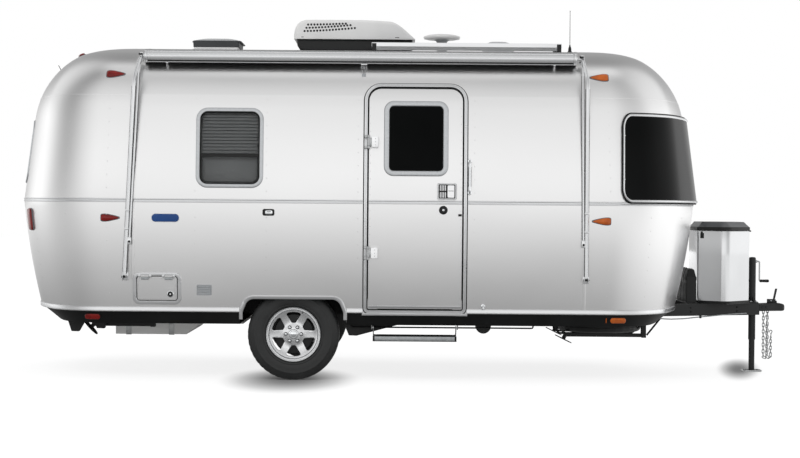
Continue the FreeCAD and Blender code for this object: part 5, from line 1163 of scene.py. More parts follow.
def addDoorHandle():
    shape = Shape()
    low, high = (0.228, 1.387), (0.376, 1.512)
    outline = denseOutline(low, high, 15)
    addFrame(shape, outline, ((0, -0.5), (0, 11), (-3, 15), (-8, 15.5), (-11, 12), (-11.5, 2),
        (-11.5, -0.5)), curb)
    addSheet(shape, *inside(low, high, 9), 6, (3, 0.2), curb, 1)
    for i in range(4):
        x = 0.249 + i * 13 * mm
        addSheet(shape, (x, 1.402), (x + 6 * mm, 1.497), 2.5, (9, 2.8), curb)
    addSheet(shape, (0.244, 1.444), (0.296, 1.455), 2, (10.5, 3), curb, 1)
    addSheet(shape, (0.307, 1.403), (0.358, 1.496), 7, (13, 2.8), curb, 2)
    addSheet(shape, (0.312, 1.452), (0.353, 1.455), 1, (14, 12), curb, 1)
    shape.build("door_handle", ["anodisedAluminium", "blackAbs", "hingePaint"], "door",
        "white_plastic", ["door_trim"])
    lock = Shape()
    at = curb(0.276, 1.308, 0)
    addTurned(lock, [(33, -1), (33, 5), (30.5, 9), (26, 10.5), (25, 17), (22, 20), (9, 20.5)], at,
        towardCurb, 32)
    addTurned(lock, [(8.5, 20), (8, 22), (6, 22.4)], at, towardCurb, 20, 1)
    addBlock(lock, at, (-1, -23, -5), (1, -22, 5), 0.3)
    addSheet(lock, (0.389, 1.262), (0.416, 1.279), 3, (8, 0.2), curb)
    lock.build("door_lock", ["blackAbs", "chrome"], "door", "black_plastic")


def addGrabHandle():
    shape = Shape()
    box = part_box("grab_handle")
    x, out = (box[0].x + box[1].x) / 2 - 16 * mm, box[0].y + 9 * mm
    low, high = box[0].z + 8 * mm, box[1].z - 8 * mm
    path = bend([(x, curb(x, low, 0).y, low), (x, out, low), (x, out, high), (x, curb(x, high, 0).y, high)],
        40, 8)
    addTube(shape, path, 8.5, 14)
    for side in (-1, 1):   # rubber inserts down both flanks
        addTube(shape, [Vector((x + side * 7.4 * mm, out, z)) for z in (low + 46 * mm, high - 46 * mm)], 3.4,
            8, 1)
    for z in (low, high):
        addTurned(shape, [(17, -0.5), (17, 2.5), (14, 5), (9, 5.5)], curb(x, z, 0), towardCurb, 24)
        for up in (-12, 12):
            addRivet(shape, curb(x, z + up * mm, 3 * mm), towardCurb, 3, 2)
    shape.build("grab_bar", ["chrome", "sealRubber"], root, "aluminium_trim", ["grab_handle"])


addDoor()
addDoorHinges()
addDoorHandle()
addGrabHandle()
print("door made")


# Windows: a stippled surround, a rubber seal, a tinted pane and blinds behind it.

paneTrim = ((-2, -4), (-2, 6.5), (0.5, 9), (5, 10), (19, 10), (24, 8), (26.6, 4), (27, 0.1), (27, -0.5))
paneSeal = ((-11, -14), (-11, 2.6), (-9, 4.4), (-4, 5.2), (-2.2, 5.2), (-2.2, -14))
blinds = {"pitch": 25 * mm, "tall": 22 * mm, "bar": (1.706, 1.724)}


def addWindow(frames, glass, low, high, place, sash):
    corner = openings["glassCorner"]
    outline = denseOutline(low, high, corner)
    addFrame(frames, outline, paneTrim, place)
    addFrame(frames, outline, paneSeal, place, 1)
    addSheet(glass, *inside(low, high, 2), corner - 2, (-9, -13), place)
    if not sash:
        return
    a, b = blinds["bar"]
    addSheet(frames, (low[0] + 8 * mm, a), (high[0] - 8 * mm, b), 3, (1.5, -10), place, 2)
    addSheet(frames, (low[0] + 8 * mm, a + 9 * mm), (high[0] - 8 * mm, a + 13 * mm), 1, (3.5, 1), place, 2)
    inner = denseOutline((low[0] + 14 * mm, low[1] + 14 * mm), (high[0] - 14 * mm, a),
        [corner - 14] * 2 + [6] * 2)
    addFrame(frames, inner, ((0, -10), (0, -2), (-7, -2), (-7, -10)), place, 2)


def addBlinds(shape, low, high, place):
    z = blinds["bar"][1] + 4 * mm
    while z < high[1] - 6 * mm:
        top = min(z + blinds["tall"], high[1] - 4 * mm)
        rings = []
        for x in (low[0] + 22 * mm, (low[0] + high[0]) / 2, high[0] - 22 * mm):
            rings.append([place(x, z, -21 * mm), place(x, z + 3 * mm, -19.5 * mm),
                place(x, (z + top) / 2, -22 * mm), place(x, top, -29 * mm), place(x, top - 1 * mm, -30 * mm),
                place(x, (z + top) / 2, -23.4 * mm)])
        shape.loft(rings)
        z += blinds["pitch"]
    for x in (low[0] + 0.09, high[0] - 0.09):
        addTube(shape, [place(x, z, -18 * mm) for z in (blinds["bar"][1] + 2 * mm,
            (blinds["bar"][1] + high[1]) / 2, high[1] - 4 * mm)], 0.9, 5)
    addSheet(shape, *inside(low, high, 2), 20, (-36, -39), place, 1)


def addWindows():
    frames, glass, slats = Shape(), Shape(), Shape()
    a, b = openings["curbGlass"]
    low, high = openings["glassRise"]
    addWindow(frames, glass, (a, low), (b, high), curb, True)
    addBlinds(slats, (a, low), (b, high), curb)
    for a, b in openings["streetGlass"]:
        addWindow(frames, glass, (a, low), (b, high), street, True)
        addBlinds(slats, (a, low), (b, high), street)
    half, (low, high) = openings["rearGlass"], openings["rearRise"]
    addWindow(frames, glass, (-half, low), (half, high), onEnd("rear"), False)
    addSheet(slats, (-half, low), (half, high), 30, (-34, -38), onEnd("rear"), 1)
    frames.build("window_surrounds", ["stippledAluminium", "sealRubber", "blackAbs"], slot="aluminium_trim",
        replaces=["window_frames"])
    front = onEnd("front")
    addSheet(glass, (-0.415, 1.475), (0.415, 1.965), 50, (4, 0.5), front)
    glass.build("window_glass", ["paneTint"], slot="window_glass", replaces=["window_panes"])
    slats.build("window_blinds", ["blindFabric", "shadeFabric"], slot="black_plastic")


addWindows()


# Storage hatch with its frame, lock and hinges.

hatch = {"low": (hatchLow.x, hatchLow.z), "high": (hatchHigh.x, hatchHigh.z), "corner": 18,
    "hinge": Vector((0, -1.2124, 0.79)), "hinges": (-1.9825, -1.8025)}


def addHatch():
    leaf, frame = Shape(), Shape()
    addSheet(leaf, hatch["low"], hatch["high"], hatch["corner"], (1.5, -19), curb)
    inner = denseOutline(*inside(hatch["low"], hatch["high"], 9), 11)
    addFrame(leaf, inner, ((0, 1), (0, 3), (-1.5, 4), (-4, 4), (-5, 3), (-5, 1)), curb)
    addSheet(leaf, (-1.841, 0.617), (-1.756, 0.702), 6, (4.2, 1), curb)
    at = curb(-1.792, 0.655, 4 * mm)
    addTurned(leaf, [(26, -1), (26, 2), (23, 3.6)], at, towardCurb, 28, 2)
    addTurned(leaf, [(21, 3), (20, 5.4), (13, 6), (12, 4.6)], at, towardCurb, 28, 1)
    addTurned(leaf, [(7, 4), (6, 5.6)], at, towardCurb, 20, 2)
    outline = denseOutline(hatch["low"], hatch["high"], hatch["corner"])
    addFrame(frame, outline, ((6.2, -4), (6.2, 5), (8.5, 7.4), (19, 8), (30.5, 6.6), (34, 2), (34, -0.5)),
        curb)
    addFrame(frame, outline, ((3.6, -18), (3.6, -3), (6, -2), (6, -18)), curb, 1)
    for x in hatch["hinges"]:
        at = hatch["hinge"] + Vector((x, 0, 0))
        addTurned(leaf, [(5.5, -29.5), (6.8, -28), (6.8, 28), (5.5, 29.5)], at, alongX, 14)
        addBlock(leaf, at, (-29, -2, -26), (29, 2, -5), 0.8, 3)
        addBlock(leaf, at, (-29, 0, -27), (29, (curb(x, at.z - 0.02, 0).y - at.y) / mm + 1, -17), 0.8)
        for sign in (-1, 1):
            addTurned(frame, [(5.5, 31), (6.8, 32), (6.8, 49), (5, 50.5)], at, (sign, 0, 0), 14)
            left, right = sorted((sign * 31, sign * 50))
            addBlock(frame, at, (left, -2, 2), (right, (curb(x, at.z, 4 * mm).y - at.y) / mm, 12), 0.8)
    leaf.build("hatch_leaf", ["cladAluminium", "blackAbs", "chrome", "galvanisedSteel"], "hatch",
        "aluminium_skin", ["curb_hatch"])
    frame.build("hatch_surround", ["anodisedAluminium", "sealRubber"], slot="aluminium_trim")


def addSideFittings():
    shape = Shape()
    low, high = (-1.592, 0.648), (-1.478, 0.728)
    addFrame(shape, denseOutline(low, high, 8), ((0, -0.5), (0, 4), (-2, 5.5), (-7, 5.5), (-9, 3),
        (-9, -0.5)), curb)
    addSheet(shape, low, high, 6, (1.4, 0.2), curb)
    for i in range(5):
        z = low[1] + 13 * mm + i * 13 * mm
        addBand(shape, alongSide(curb, low[0] + 11 * mm, high[0] - 11 * mm, 2), z,
            ((-4, 1), (-4.5, 6), (-3, 6.5), (4, 2.5), (5, 1)))
    shape.build("side_vent", ["greyAbs"], slot="aluminium_trim")
    plate = Shape()
    low, high = (-1.936, 1.201), (-1.722, 1.267)
    outline = denseOutline(low, high, 32.5, 30, 9)
    addPlate(plate, outline, ((0, 0.2), (0, 2.2), (-1.2, 3.4), (-3, 3.4)), curb, 1)
    addPlate(plate, outline, ((-3, 3.0), (-3.4, 4.2), (-7, 5.2), (-14, 5.6)), curb)
    plate.build("side_plate", ["blueEnamel", "anodisedAluminium"], slot="aluminium_trim")
    port = Shape()
    low, high = (-1.093, 1.256), (-1.003, 1.307)
    outline = denseOutline(low, high, 14, 30)
    addPlate(port, outline, ((0, 0.2), (0, 7), (-3, 11), (-6, 12)), curb)
    addPlate(port, denseOutline((-1.072, 1.267), (-1.018, 1.296), 9, 20),
        ((0, 11), (0, 15), (-2.5, 17.5), (-6, 18)), curb, 1)
    addPlate(port, denseOutline((-1.062, 1.284), (-1.028, 1.289), 2.4, 20), ((0, 17), (0, 18.6)), curb)
    port.build("power_inlet", ["blackAbs", "chrome"], slot="black_plastic")
    drain = Shape()
    at = curb(0.585, 0.58, 0)
    addTurned(drain, [(17, -0.5), (17, 3), (14, 5), (10, 5.4)], at, towardCurb, 24)
    addTube(drain, bend([at, at + Vector((0, -26 * mm, 0)), at + Vector((0, -30 * mm, -20 * mm))], 16), 9,
        14)
    drain.build("side_drain", ["chrome"], slot="aluminium_trim")


addHatch()
addSideFittings()
print("windows and fittings made")


# Wheels: a treaded tyre on a six-spoke cast rim, with a cap, lug nuts and a drum behind the spokes.

tyre = {"half": [(190, 86), (208.5, 88.4), (213, 97), (220, 103), (226, 105.4), (230, 105.2), (233, 103),
    (246, 105.6), (268, 107), (290, 106.4), (293, 107), (297, 107), (300, 105.2), (316, 101.6), (330, 96),
    (338, 91.6), (343, 87.6), (346.6, 82.6), (348.6, 77), (349.2, 61), (342.6, 59.4), (342.6, 53),
    (349.4, 51.4), (349.8, 36), (349.8, 22), (342.6, 20.4), (342.6, 14), (350, 12.4)],
    "steps": 176, "sipe": 3.2}
rimRing = [(209, 93), (208.4, 98), (206.4, 100), (203.4, 99.2), (201.4, 95), (199.6, 86), (192, 79),
    (186, 72), (182.4, 66), (181.4, 40), (181.4, -70), (190, -84), (198, -96), (204, -100), (208.4, -98),
    (209, -93), (208, -88.2), (190.2, -87.6), (190.2, 87.6), (208, 88.2)]
rimFace = {"front": [(1, 58), (44, 58), (62, 55), (76, 49), (92, 47), (118, 49), (144, 54), (162, 61),
    (174, 68), (183.4, 72)], "back": [(183.4, 52), (162, 40), (118, 28), (76, 28), (1, 30)],
    "window": ((-15, 86), (15, 86), (59, 154), (40, 166), (0, 170.5), (-40, 166), (-59, 154)),
    "round": (11, 11, 11, 26, 60, 26, 11)}


def addTyre(name, node, centre, out, body):
    shape = Shape()
    half = tyre["half"]
    whole = half + [(r, -y) for r, y in half[::-1]]
    rings = []
    for i, a in enumerate(fullTurn(tyre["steps"])):
        ring = []
        for r, y in whole:
            if r > 337 and abs(y) > 60 and i % 4 == 0:
                r -= tyre["sipe"]
            if r > 349 and 22 < abs(y) < 51 and (i + (y > 0)) % 4 == 1:
                r -= tyre["sipe"] * 0.7
            ring.append(centre + Vector((r * cos(a), out * y, r * sin(a))) * mm)
        rings.append(ring)
    shape.loft(rings, joined=True)
    shape.build(name, ["tyreRubber"], body, "tyre_rubber", [node], sharp=38)


def addRim(name, node, centre, out, body):
    axis = (0, out, 0)
    face = Shape()
    addTurned(face, rimFace["front"] + rimFace["back"], centre, axis, 96)
    piece = face.build(name + "_spokes", ["castAlloy"], body, "wheel_alloy", [node])
    tools = []
    for i in range(6):
        turn = radians(60 * i)
        outline = cornered([(x * mm, y * mm) for x, y in rimFace["window"]][::-1],
            [r * mm for r in rimFace["round"]][::-1], 5)
        turned = [(centre.x + x * cos(turn) + y * sin(turn), centre.z - x * sin(turn) + y * cos(turn))
            for x, y in outline]
        tools.append(Cutter(turned, centre.y - 0.2, centre.y + 0.2, throughSide))
    cutOut(piece, tools)
    soft = piece.modifiers.new("softEdges", "BEVEL")
    soft.width, soft.segments, soft.limit_method, soft.angle_limit = 3.5 * mm, 2, "ANGLE", radians(50)
    applyModifiers(piece)
    settle(piece, body, ())
    ring = Shape()
    rings = []
    for r, y in rimRing:
        rings.append([centre + Vector((r * cos(a), out * y, r * sin(a))) * mm for a in fullTurn(96)])
    ring.loft(rings, joined=True)
    ring.build(name + "_barrel", ["castAlloy"], body, "wheel_alloy")
    nuts = Shape()
    addTurned(nuts, [(38, 56), (38, 63), (35, 69), (27, 71), (25, 70), (12, 73), (4, 73.6)], centre, axis,
        40)
    for i in range(6):
        turn = radians(60 * i + 30)
        at = centre + Vector((59 * mm * sin(turn), 0, 59 * mm * cos(turn)))
        addTurned(nuts, [(15, 55), (15, 57.4), (13, 58.4)], at, axis, 18, 1)
        addTurned(nuts, [(12, 56), (12, 70), (9.5, 74), (4, 76)], at, axis, 6)
    turn = radians(22)
    at = centre + Vector((0.176 * sin(turn), 0, 0.176 * cos(turn)))
    addTurned(nuts, [(4, 60), (4, 78), (3, 84), (4.2, 85), (4.2, 92)], at, axis, 10, 1)
    nuts.build(name + "_nuts", ["chrome", "blackAbs"], body, "wheel_alloy", sharp=25)
    drum = Shape()
    addTurned(drum, [(60, 26), (148, 20), (156, 12), (156, -40), (148, -46), (30, -46)], centre, axis, 64)
    addTurned(drum, [(24.2, -40), (58, -40), (58, 32), (24.2, 32)], centre, axis, 32)
    drum.build(name + "_drum", ["powderCoat"], body, "black_steel")


def addWheels():
    for side, out in (("curb", -1), ("street", 1)):
        low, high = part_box("tyre_" + side)
        centre = (low + high) / 2
        addTyre("tyre_" + side + "_tread", "tyre_" + side, centre, out, "wheel_" + side)
        addRim("rim_" + side, "rim_" + side, centre, out, "wheel_" + side)


addWheels()
print("wheels made")


# Lamps: teardrop markers on grey pads, oval skirt lamps, upright tail lamps and roof-line lamps.

drop = ((0.0, 0.62, 0.25), (0.03, 0.82, 0.62), (0.08, 0.94, 0.85), (0.16, 1.0, 1.0), (0.3, 0.98, 1.0),
    (0.45, 0.86, 0.9), (0.6, 0.68, 0.74), (0.74, 0.5, 0.56), (0.86, 0.33, 0.38), (0.95, 0.18, 0.2),
    (1.0, 0.06, 0.06))
markers = {"long": 0.142, "half": 26 * mm, "proud": 18 * mm, "rows": ((1.232, 0, 0),
    (2.328, 18 * mm, -15 * mm))}   # height, and shifts of red and amber


def addMarker(lens, pad, place, x, z, turn):   # a teardrop whose point faces along turn
    for shape, grow, rise in ((lens, 0.0, 1.0), (pad, 5 * mm, 0.16)):
        rings = []
        for share, half, proud in drop:
            reach = markers["half"] * half + grow
            top = max(0.6 * mm, markers["proud"] * (proud if shape is lens else 1.0) * rise)
            at = x + turn * ((share - 0.5) * (markers["long"] - 2 * mm + grow * 1.4))
            rings.append([place(at, z + reach * cos(a), 0.3 * mm + top * max(0.0, sin(a)) ** 0.8)
                for a in spread(0, pi, 10)] + [place(at, z, -0.5 * mm)])
        shape.loft(rings)


pan = {"deep": 93 * mm, "inset": 12 * mm, "sideDraft": 40 * mm, "endDraft": 130 * mm}


def panSpot(end, side, x, z):   # a point on the belly pan's side round an end
    drop = (hull["floorHeight"] - z) / pan["deep"]
    half = profilePoint(angleAt(hull["floorHeight"]))[0] - pan["inset"] - pan["sideDraft"] * drop
    inset = endInset(hull["floorHeight"]) + pan["inset"] + pan["endDraft"] * drop
    return Vector((x, side * planHalf(end, inset, half, x), z))


def onPan(end, side):
    return onSkin(lambda x, z: panSpot(end, side, x, z), -side)


def addLamps():
    red, amber, pads = Shape(), Shape(), Shape()
    for place in (curb, street):
        for z, redShift, amberShift in markers["rows"]:
            addMarker(red, pads, place, rearSeam - 0.171 + redShift, z, 1)
            addMarker(amber, pads, place, frontSeam + 0.124 + amberShift, z, -1)
    for side in (-1, 1):
        for shape, end, x in ((red, "rear", -2.392), (amber, "front", 1.617)):
            place = onPan(end, side)
            outline = denseOutline((x - 60 * mm, 0.458), (x + 60 * mm, 0.498), 19.6, 30)
            addPlate(pads, outline, ((4, 0), (4, 3), (2, 4)), place, 1)
            addPlate(shape, outline, ((0, 3), (0, 9), (-2, 12), (-6, 14), (-13, 15)), place)
        addSheet(amber, (1.523, 0.46), (1.529, 0.496), 2, (6, 0), onPan("front", side))
        rear = onEnd("rear")
        low, high = sorted((side * 0.65, side * 0.76))
        outline = denseOutline((low, 1.124), (high, 1.300), 30)
        addPlate(pads, outline, ((0, 0), (0, 5), (-3, 7)), rear)
        addPlate(red, outline, ((-4, 5), (-4, 13), (-8, 18), (-18, 21), (-28, 22)), rear)
        lamp = denseOutline((side * 0.42 - 0.05, 2.508), (side * 0.42 + 0.05, 2.527), 8, 30)
        addPlate(pads, lamp, ((0, 0), (0, 4), (-2, 5)), rear)
        addPlate(red, lamp, ((-2, 4), (-2, 12), (-6, 16)), rear)
    red.build("red_lenses", ["redAcrylic"], slot="red_lens", replaces=["red_lamps"])
    amber.build("amber_lenses", ["amberAcrylic"], slot="amber_lens", replaces=["amber_lamps"])
    pads.build("lamp_pads", ["lidAbs", "blackAbs"], slot="black_plastic")


addLamps()


# Stone guard: one dark wrapped sheet in a bright tube frame, with a black seal against the skin.

guard = {"back": frontSeam + 0.278, "low": 1.376, "high": 2.049, "corner": 106, "out": 31}


guardShares = {}


def shareAt(z):   # the guard's rear edge at a height, as a place round the front end
    key = round(z, 4)
    if key not in guardShares:
        def ahead(t):
            return endPoint("front", angleAt(key), t).x > guard["back"]

        guardShares[key] = lastPlace(0.3, 1.0, 24, ahead)
    return guardShares[key]


def addGuard():
    middle = shareAt(1.7)
    stops = [endPoint("front", angleAt(1.7), middle * i / 60, guard["out"] * mm) for i in range(61)]
    reach = sum((b - a).length for a, b in zip(stops, stops[1:]))

    def place(a, z, out):
        return endPoint("front", angleAt(z), a / reach * shareAt(z), out)

    sheet, frame = Shape(), Shape()
    low, high = (-reach, guard["low"]), (reach, guard["high"])
    addSheet(sheet, *inside(low, high, 14), guard["corner"] - 14, (guard["out"], guard["out"] - 5), place)
    sheet.build("guard_sheet", ["smokedAcrylic"], slot="tinted_plastic", replaces=["front_guard"])
    outline = denseOutline(low, high, guard["corner"], 45, 10)
    tube = [(-12 + 10.5 * cos(a), 28.4 + 10.5 * sin(a)) for a in fullTurn(12)]
    addFrame(frame, outline, tube, place)
    addFrame(frame, outline, ((-7, 1), (-7, 20), (-3, 25), (4, 27), (8, 24), (9, 10), (9, 1)), place, 1)
    for z in (1.55, 1.88):
        for side in (-1, 1):
            at = place(side * (reach - 12 * mm), z, 38 * mm)
            addTurned(frame, [(7, -4), (7, 0), (5, 1.6)], at, (0, side, 0), 14)
    frame.build("guard_frame", ["anodisedAluminium", "sealRubber"], slot="aluminium_trim")


addGuard()
print("lamps and guard made")


# Awning: the rolled cover on its rail, cradles, hooks and two folded arm pairs.

awning = {"low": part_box("awning_roller")[0].x, "high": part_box("awning_roller")[1].x,
    "y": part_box("awning_roller")[0].y + 52 * mm, "z": 2.473, "radius": 51 * mm}


def addAwning():
    roll, rail = Shape(), Shape()
    y, z, r = awning["y"], awning["z"], awning["radius"]
    xs = spread(awning["low"] + 26 * mm, awning["high"] - 26 * mm, 30)
    rings = []
    for x in xs:
        ring = []
        for i, a in enumerate(fullTurn(40)):
            wrap = r - 0.8 * mm + (0.7 * mm if 20 <= i <= 33 else 0)
            ring.append(Vector((x, y + wrap * cos(a), z + wrap * sin(a))))
        rings.append(ring)
    roll.loft(rings)
    roll.build("awning_roll", ["awningVinyl"], slot="roller_vinyl", replaces=["awning_roller"])
    for low in (awning["low"], awning["high"] - 27 * mm):
        addTurned(rail, [(30, 0), (50, 3), (51.8, 6), (51.8, 21), (50, 25), (30, 27)], (low, y, z), alongX,
            40)
    # The rail and the cover's slotted lower lip, black where the roll turns under: real parts, and their
    # black there is painted shade under the roll.
    section = ((-0.99, 2.472), (-0.905, 2.472), (-0.875, 2.462), (-0.875, 2.432), (-1.01, 2.427),
        (-1.05, 2.431), (-1.062, 2.436), (-1.05, 2.441), (-1.0, 2.444))
    rail.loft([[Vector((x, a, b)) for a, b in section] for x in (awning["low"] + 2 * mm, 0,
        awning["high"] - 2 * mm)], 1)
    shadeLipAngles = [radians(d) for d in (238, 232, 226, 220)]
    shadeLip = [(y + (r + 0.4 * mm) * cos(a), z + (r + 0.4 * mm) * sin(a)) for a in shadeLipAngles]
    shadeLip += [(y + (r - 3 * mm) * cos(a), z + (r - 3 * mm) * sin(a)) for a in shadeLipAngles[::-1]]
    rail.loft([[Vector((x, a, b)) for a, b in shadeLip] for x in (awning["low"] + 27 * mm, 0,
        awning["high"] - 27 * mm)], 1)
    # Two hooks and the middle cradle.
    for x in (-1.845, 1.123):
        addBlock(rail, (x, y, z - r), (-9, -10.2, -5), (9, 30.6, 4), 2)
        hook = bend([(x, y - 4 * mm, z - r - 2 * mm), (x, y - 10 * mm, z - r - 26 * mm),
            (x, y + 10 * mm, z - r - 32 * mm), (x, y + 16 * mm, z - r - 16 * mm)], 9, 4)
        addTube(rail, hook, 3.4, 8)
    x = -0.336
    at = 2.338
    foot = wallPoint(angleAt(at), x, 0, -1)
    top = Vector((x, y + 0.012, z - r + 3 * mm))
    for across in (-9, 9):
        addTube(rail, bend([foot + Vector((across * mm, -2 * mm, 0)),
            foot + Vector((across * mm, -30 * mm, 22 * mm)), top + Vector((across * mm, 0, 0))], 14, 4), 3.4,
            8)
    addBlock(rail, (x, foot.y, at), (-15, -12, -26), (15, 5, 10), 3, 2)
    addBlock(rail, (x, top.y, top.z), (-24, -16, -11), (24, 18, 3), 3)
    rail.build("awning_rail", ["anodisedAluminium", "blackAbs", "greyAbs"], slot="aluminium_trim")


armRest = {"rear": {"knee": -2069, "foot": -2134, "inner": (-2035, -2098), "head": -2040},
    "front": {"knee": 1360, "foot": 1362, "inner": (1322, 1338), "head": 1336}}


# An arm with a groove down its face; path is of points on its back
def addChannel(shape, path, wide, deep, mark=0):
    rings = []
    count = len(path)
    for i, point in enumerate(path):
        along = (path[min(i + 1, count - 1)] - path[max(i - 1, 0)]).normalized()
        side = Vector((1, 0, 0))
        out = side.cross(along).normalized()
        if out.y > 0:
            out = -out
        section = ((-0.5, 0.0), (-0.5, 0.82), (-0.4, 1.0), (-0.22, 1.0), (-0.16, 0.72), (0.16, 0.72),
            (0.22, 1.0), (0.4, 1.0), (0.5, 0.82), (0.5, 0.0))
        rings.append([point + (side * a * wide + out * b * deep) * mm for a, b in section])
    shape.loft(rings, mark)


def addArms():
    shape = Shape()
    y, z = awning["y"], awning["z"]
    skinY = -halfWidth - 9 * mm
    for tag, spot in armRest.items():
        knee = Vector((spot["knee"] * mm, skinY, 2.29))
        foot = Vector((spot["foot"] * mm, skinY, 0.8))
        head = Vector((spot["head"] * mm, y, z))
        path = bend([foot, knee, head], 70, 8)
        addChannel(shape, [foot] + [foot.lerp(knee, s) for s in (0.3, 0.6, 0.85)] + path[1:], 27, 19)
        edges = [foot.lerp(knee, s) for s in (0.0, 0.5, 0.96)]
        for across in (-14.2, 14.2):
            addTube(shape, [p + Vector((across * mm, -6 * mm, 0)) for p in edges], 2.8, 6, 1)
        top, low = (Vector((x * mm, skinY + 1 * mm, h * mm)) for x, h in zip(spot["inner"], (2330, 1065)))
        lean = [top + Vector((4 * mm, 34 * mm, 60 * mm)), top, top.lerp(low, 0.5), low]
        addChannel(shape, lean, 15, 13)
        for across in (-8.2, 8.2):
            addTube(shape, [p + Vector((across * mm, -5 * mm, 0)) for p in lean[1:]], 2.6, 6, 1)
        # Slider, pivots and the foot bracket.
        addBlock(shape, (low.x, skinY, low.z), (-14, -18, -34), (14, 2, 22), 4, 2)
        addTurned(shape, [(9, 0), (9, 3), (6, 5)],
            (low.x, skinY - 17 * mm, low.z - 12 * mm), towardCurb, 14, 1)
        for h in (1150, 1290):
            at = foot.lerp(knee, (h * mm - foot.z) / (knee.z - foot.z))
            addBlock(shape, (at.x, skinY, h * mm), (-16, -20, -9), (16, 0, 9), 3)
        skin = curb(foot.x, foot.z - 20 * mm, 0).y
        addBlock(shape, (foot.x, skin, foot.z), (-25, -4, -44), (25, 2, 22), 3, 2)
        for across in (-17, 12):
            addBlock(shape, (foot.x, skinY, foot.z), (across, -15, -36),
                (across + 5, (skin - skinY) / mm + 1, 12), 1.4)
        addTurned(shape, [(7, -22), (8, -20), (8, 20), (7, 22)],
            (foot.x, skinY - 7 * mm, foot.z - 14 * mm), alongX, 12, 1)
        # Head casting round the roller's end.
        near = awning["low"] if tag == "rear" else awning["high"]
        low, high = sorted((head.x, near))
        addTurned(shape, [(17, -12), (22, -8), (22, 8), (15, 12), (15, (high - low) / mm)],
            (low, y, z), alongX, 20, 2)
        for a in (30, 150, 270):
            at = Vector((low - 6 * mm if tag == "rear" else high - 8 * mm, y + 26 * mm * cos(radians(a)),
                z + 26 * mm * sin(radians(a))))
            addTurned(shape, [(7, -14), (7, 14), (4, 16)], at, alongX, 10, 1)
        addBlock(shape, (head.x, y, z), (-14, -14, -44), (14, 16, 30), 6, 2)
    shape.build("awning_arm_pair", ["anodisedAluminium", "blackAbs", "castAlloy"], slot="aluminium_trim",
        replaces=["awning_arms"])


addAwning()
addArms()
print("awning made")


# Tongue: gas locker with its lid, bottles and battery, then the jack, coupler and chains.


def grownPolygon(points, grow):   # a convex outline, counter-clockwise, moved outward
    corners = []
    for i, here in enumerate(points):
        before, after = points[i - 1], points[(i + 1) % len(points)]
        sides = [Vector((b[1] - a[1], a[0] - b[0])).normalized() for a, b in ((before, here), (here, after))]
        corners.append(Vector(here) + (sides[0] + sides[1]) * (grow / (1 + sides[0].dot(sides[1]))))
    return [tuple(corner) for corner in corners]


# "radii", "floor" and "rim" in millimetres, "plan" in metres
locker = {"plan": ((2.364, -0.230), (2.576, -0.388), (2.800, -0.150), (2.800, 0.150), (2.576, 0.388),
    (2.364, 0.230)), "radii": (26, 72, 30, 30, 72, 26), "floor": 573, "rim": 1155}


def lockerOutline(grow=0.0):
    return cornered(grownPolygon(locker["plan"], grow), [r * mm + grow for r in locker["radii"]], 6)


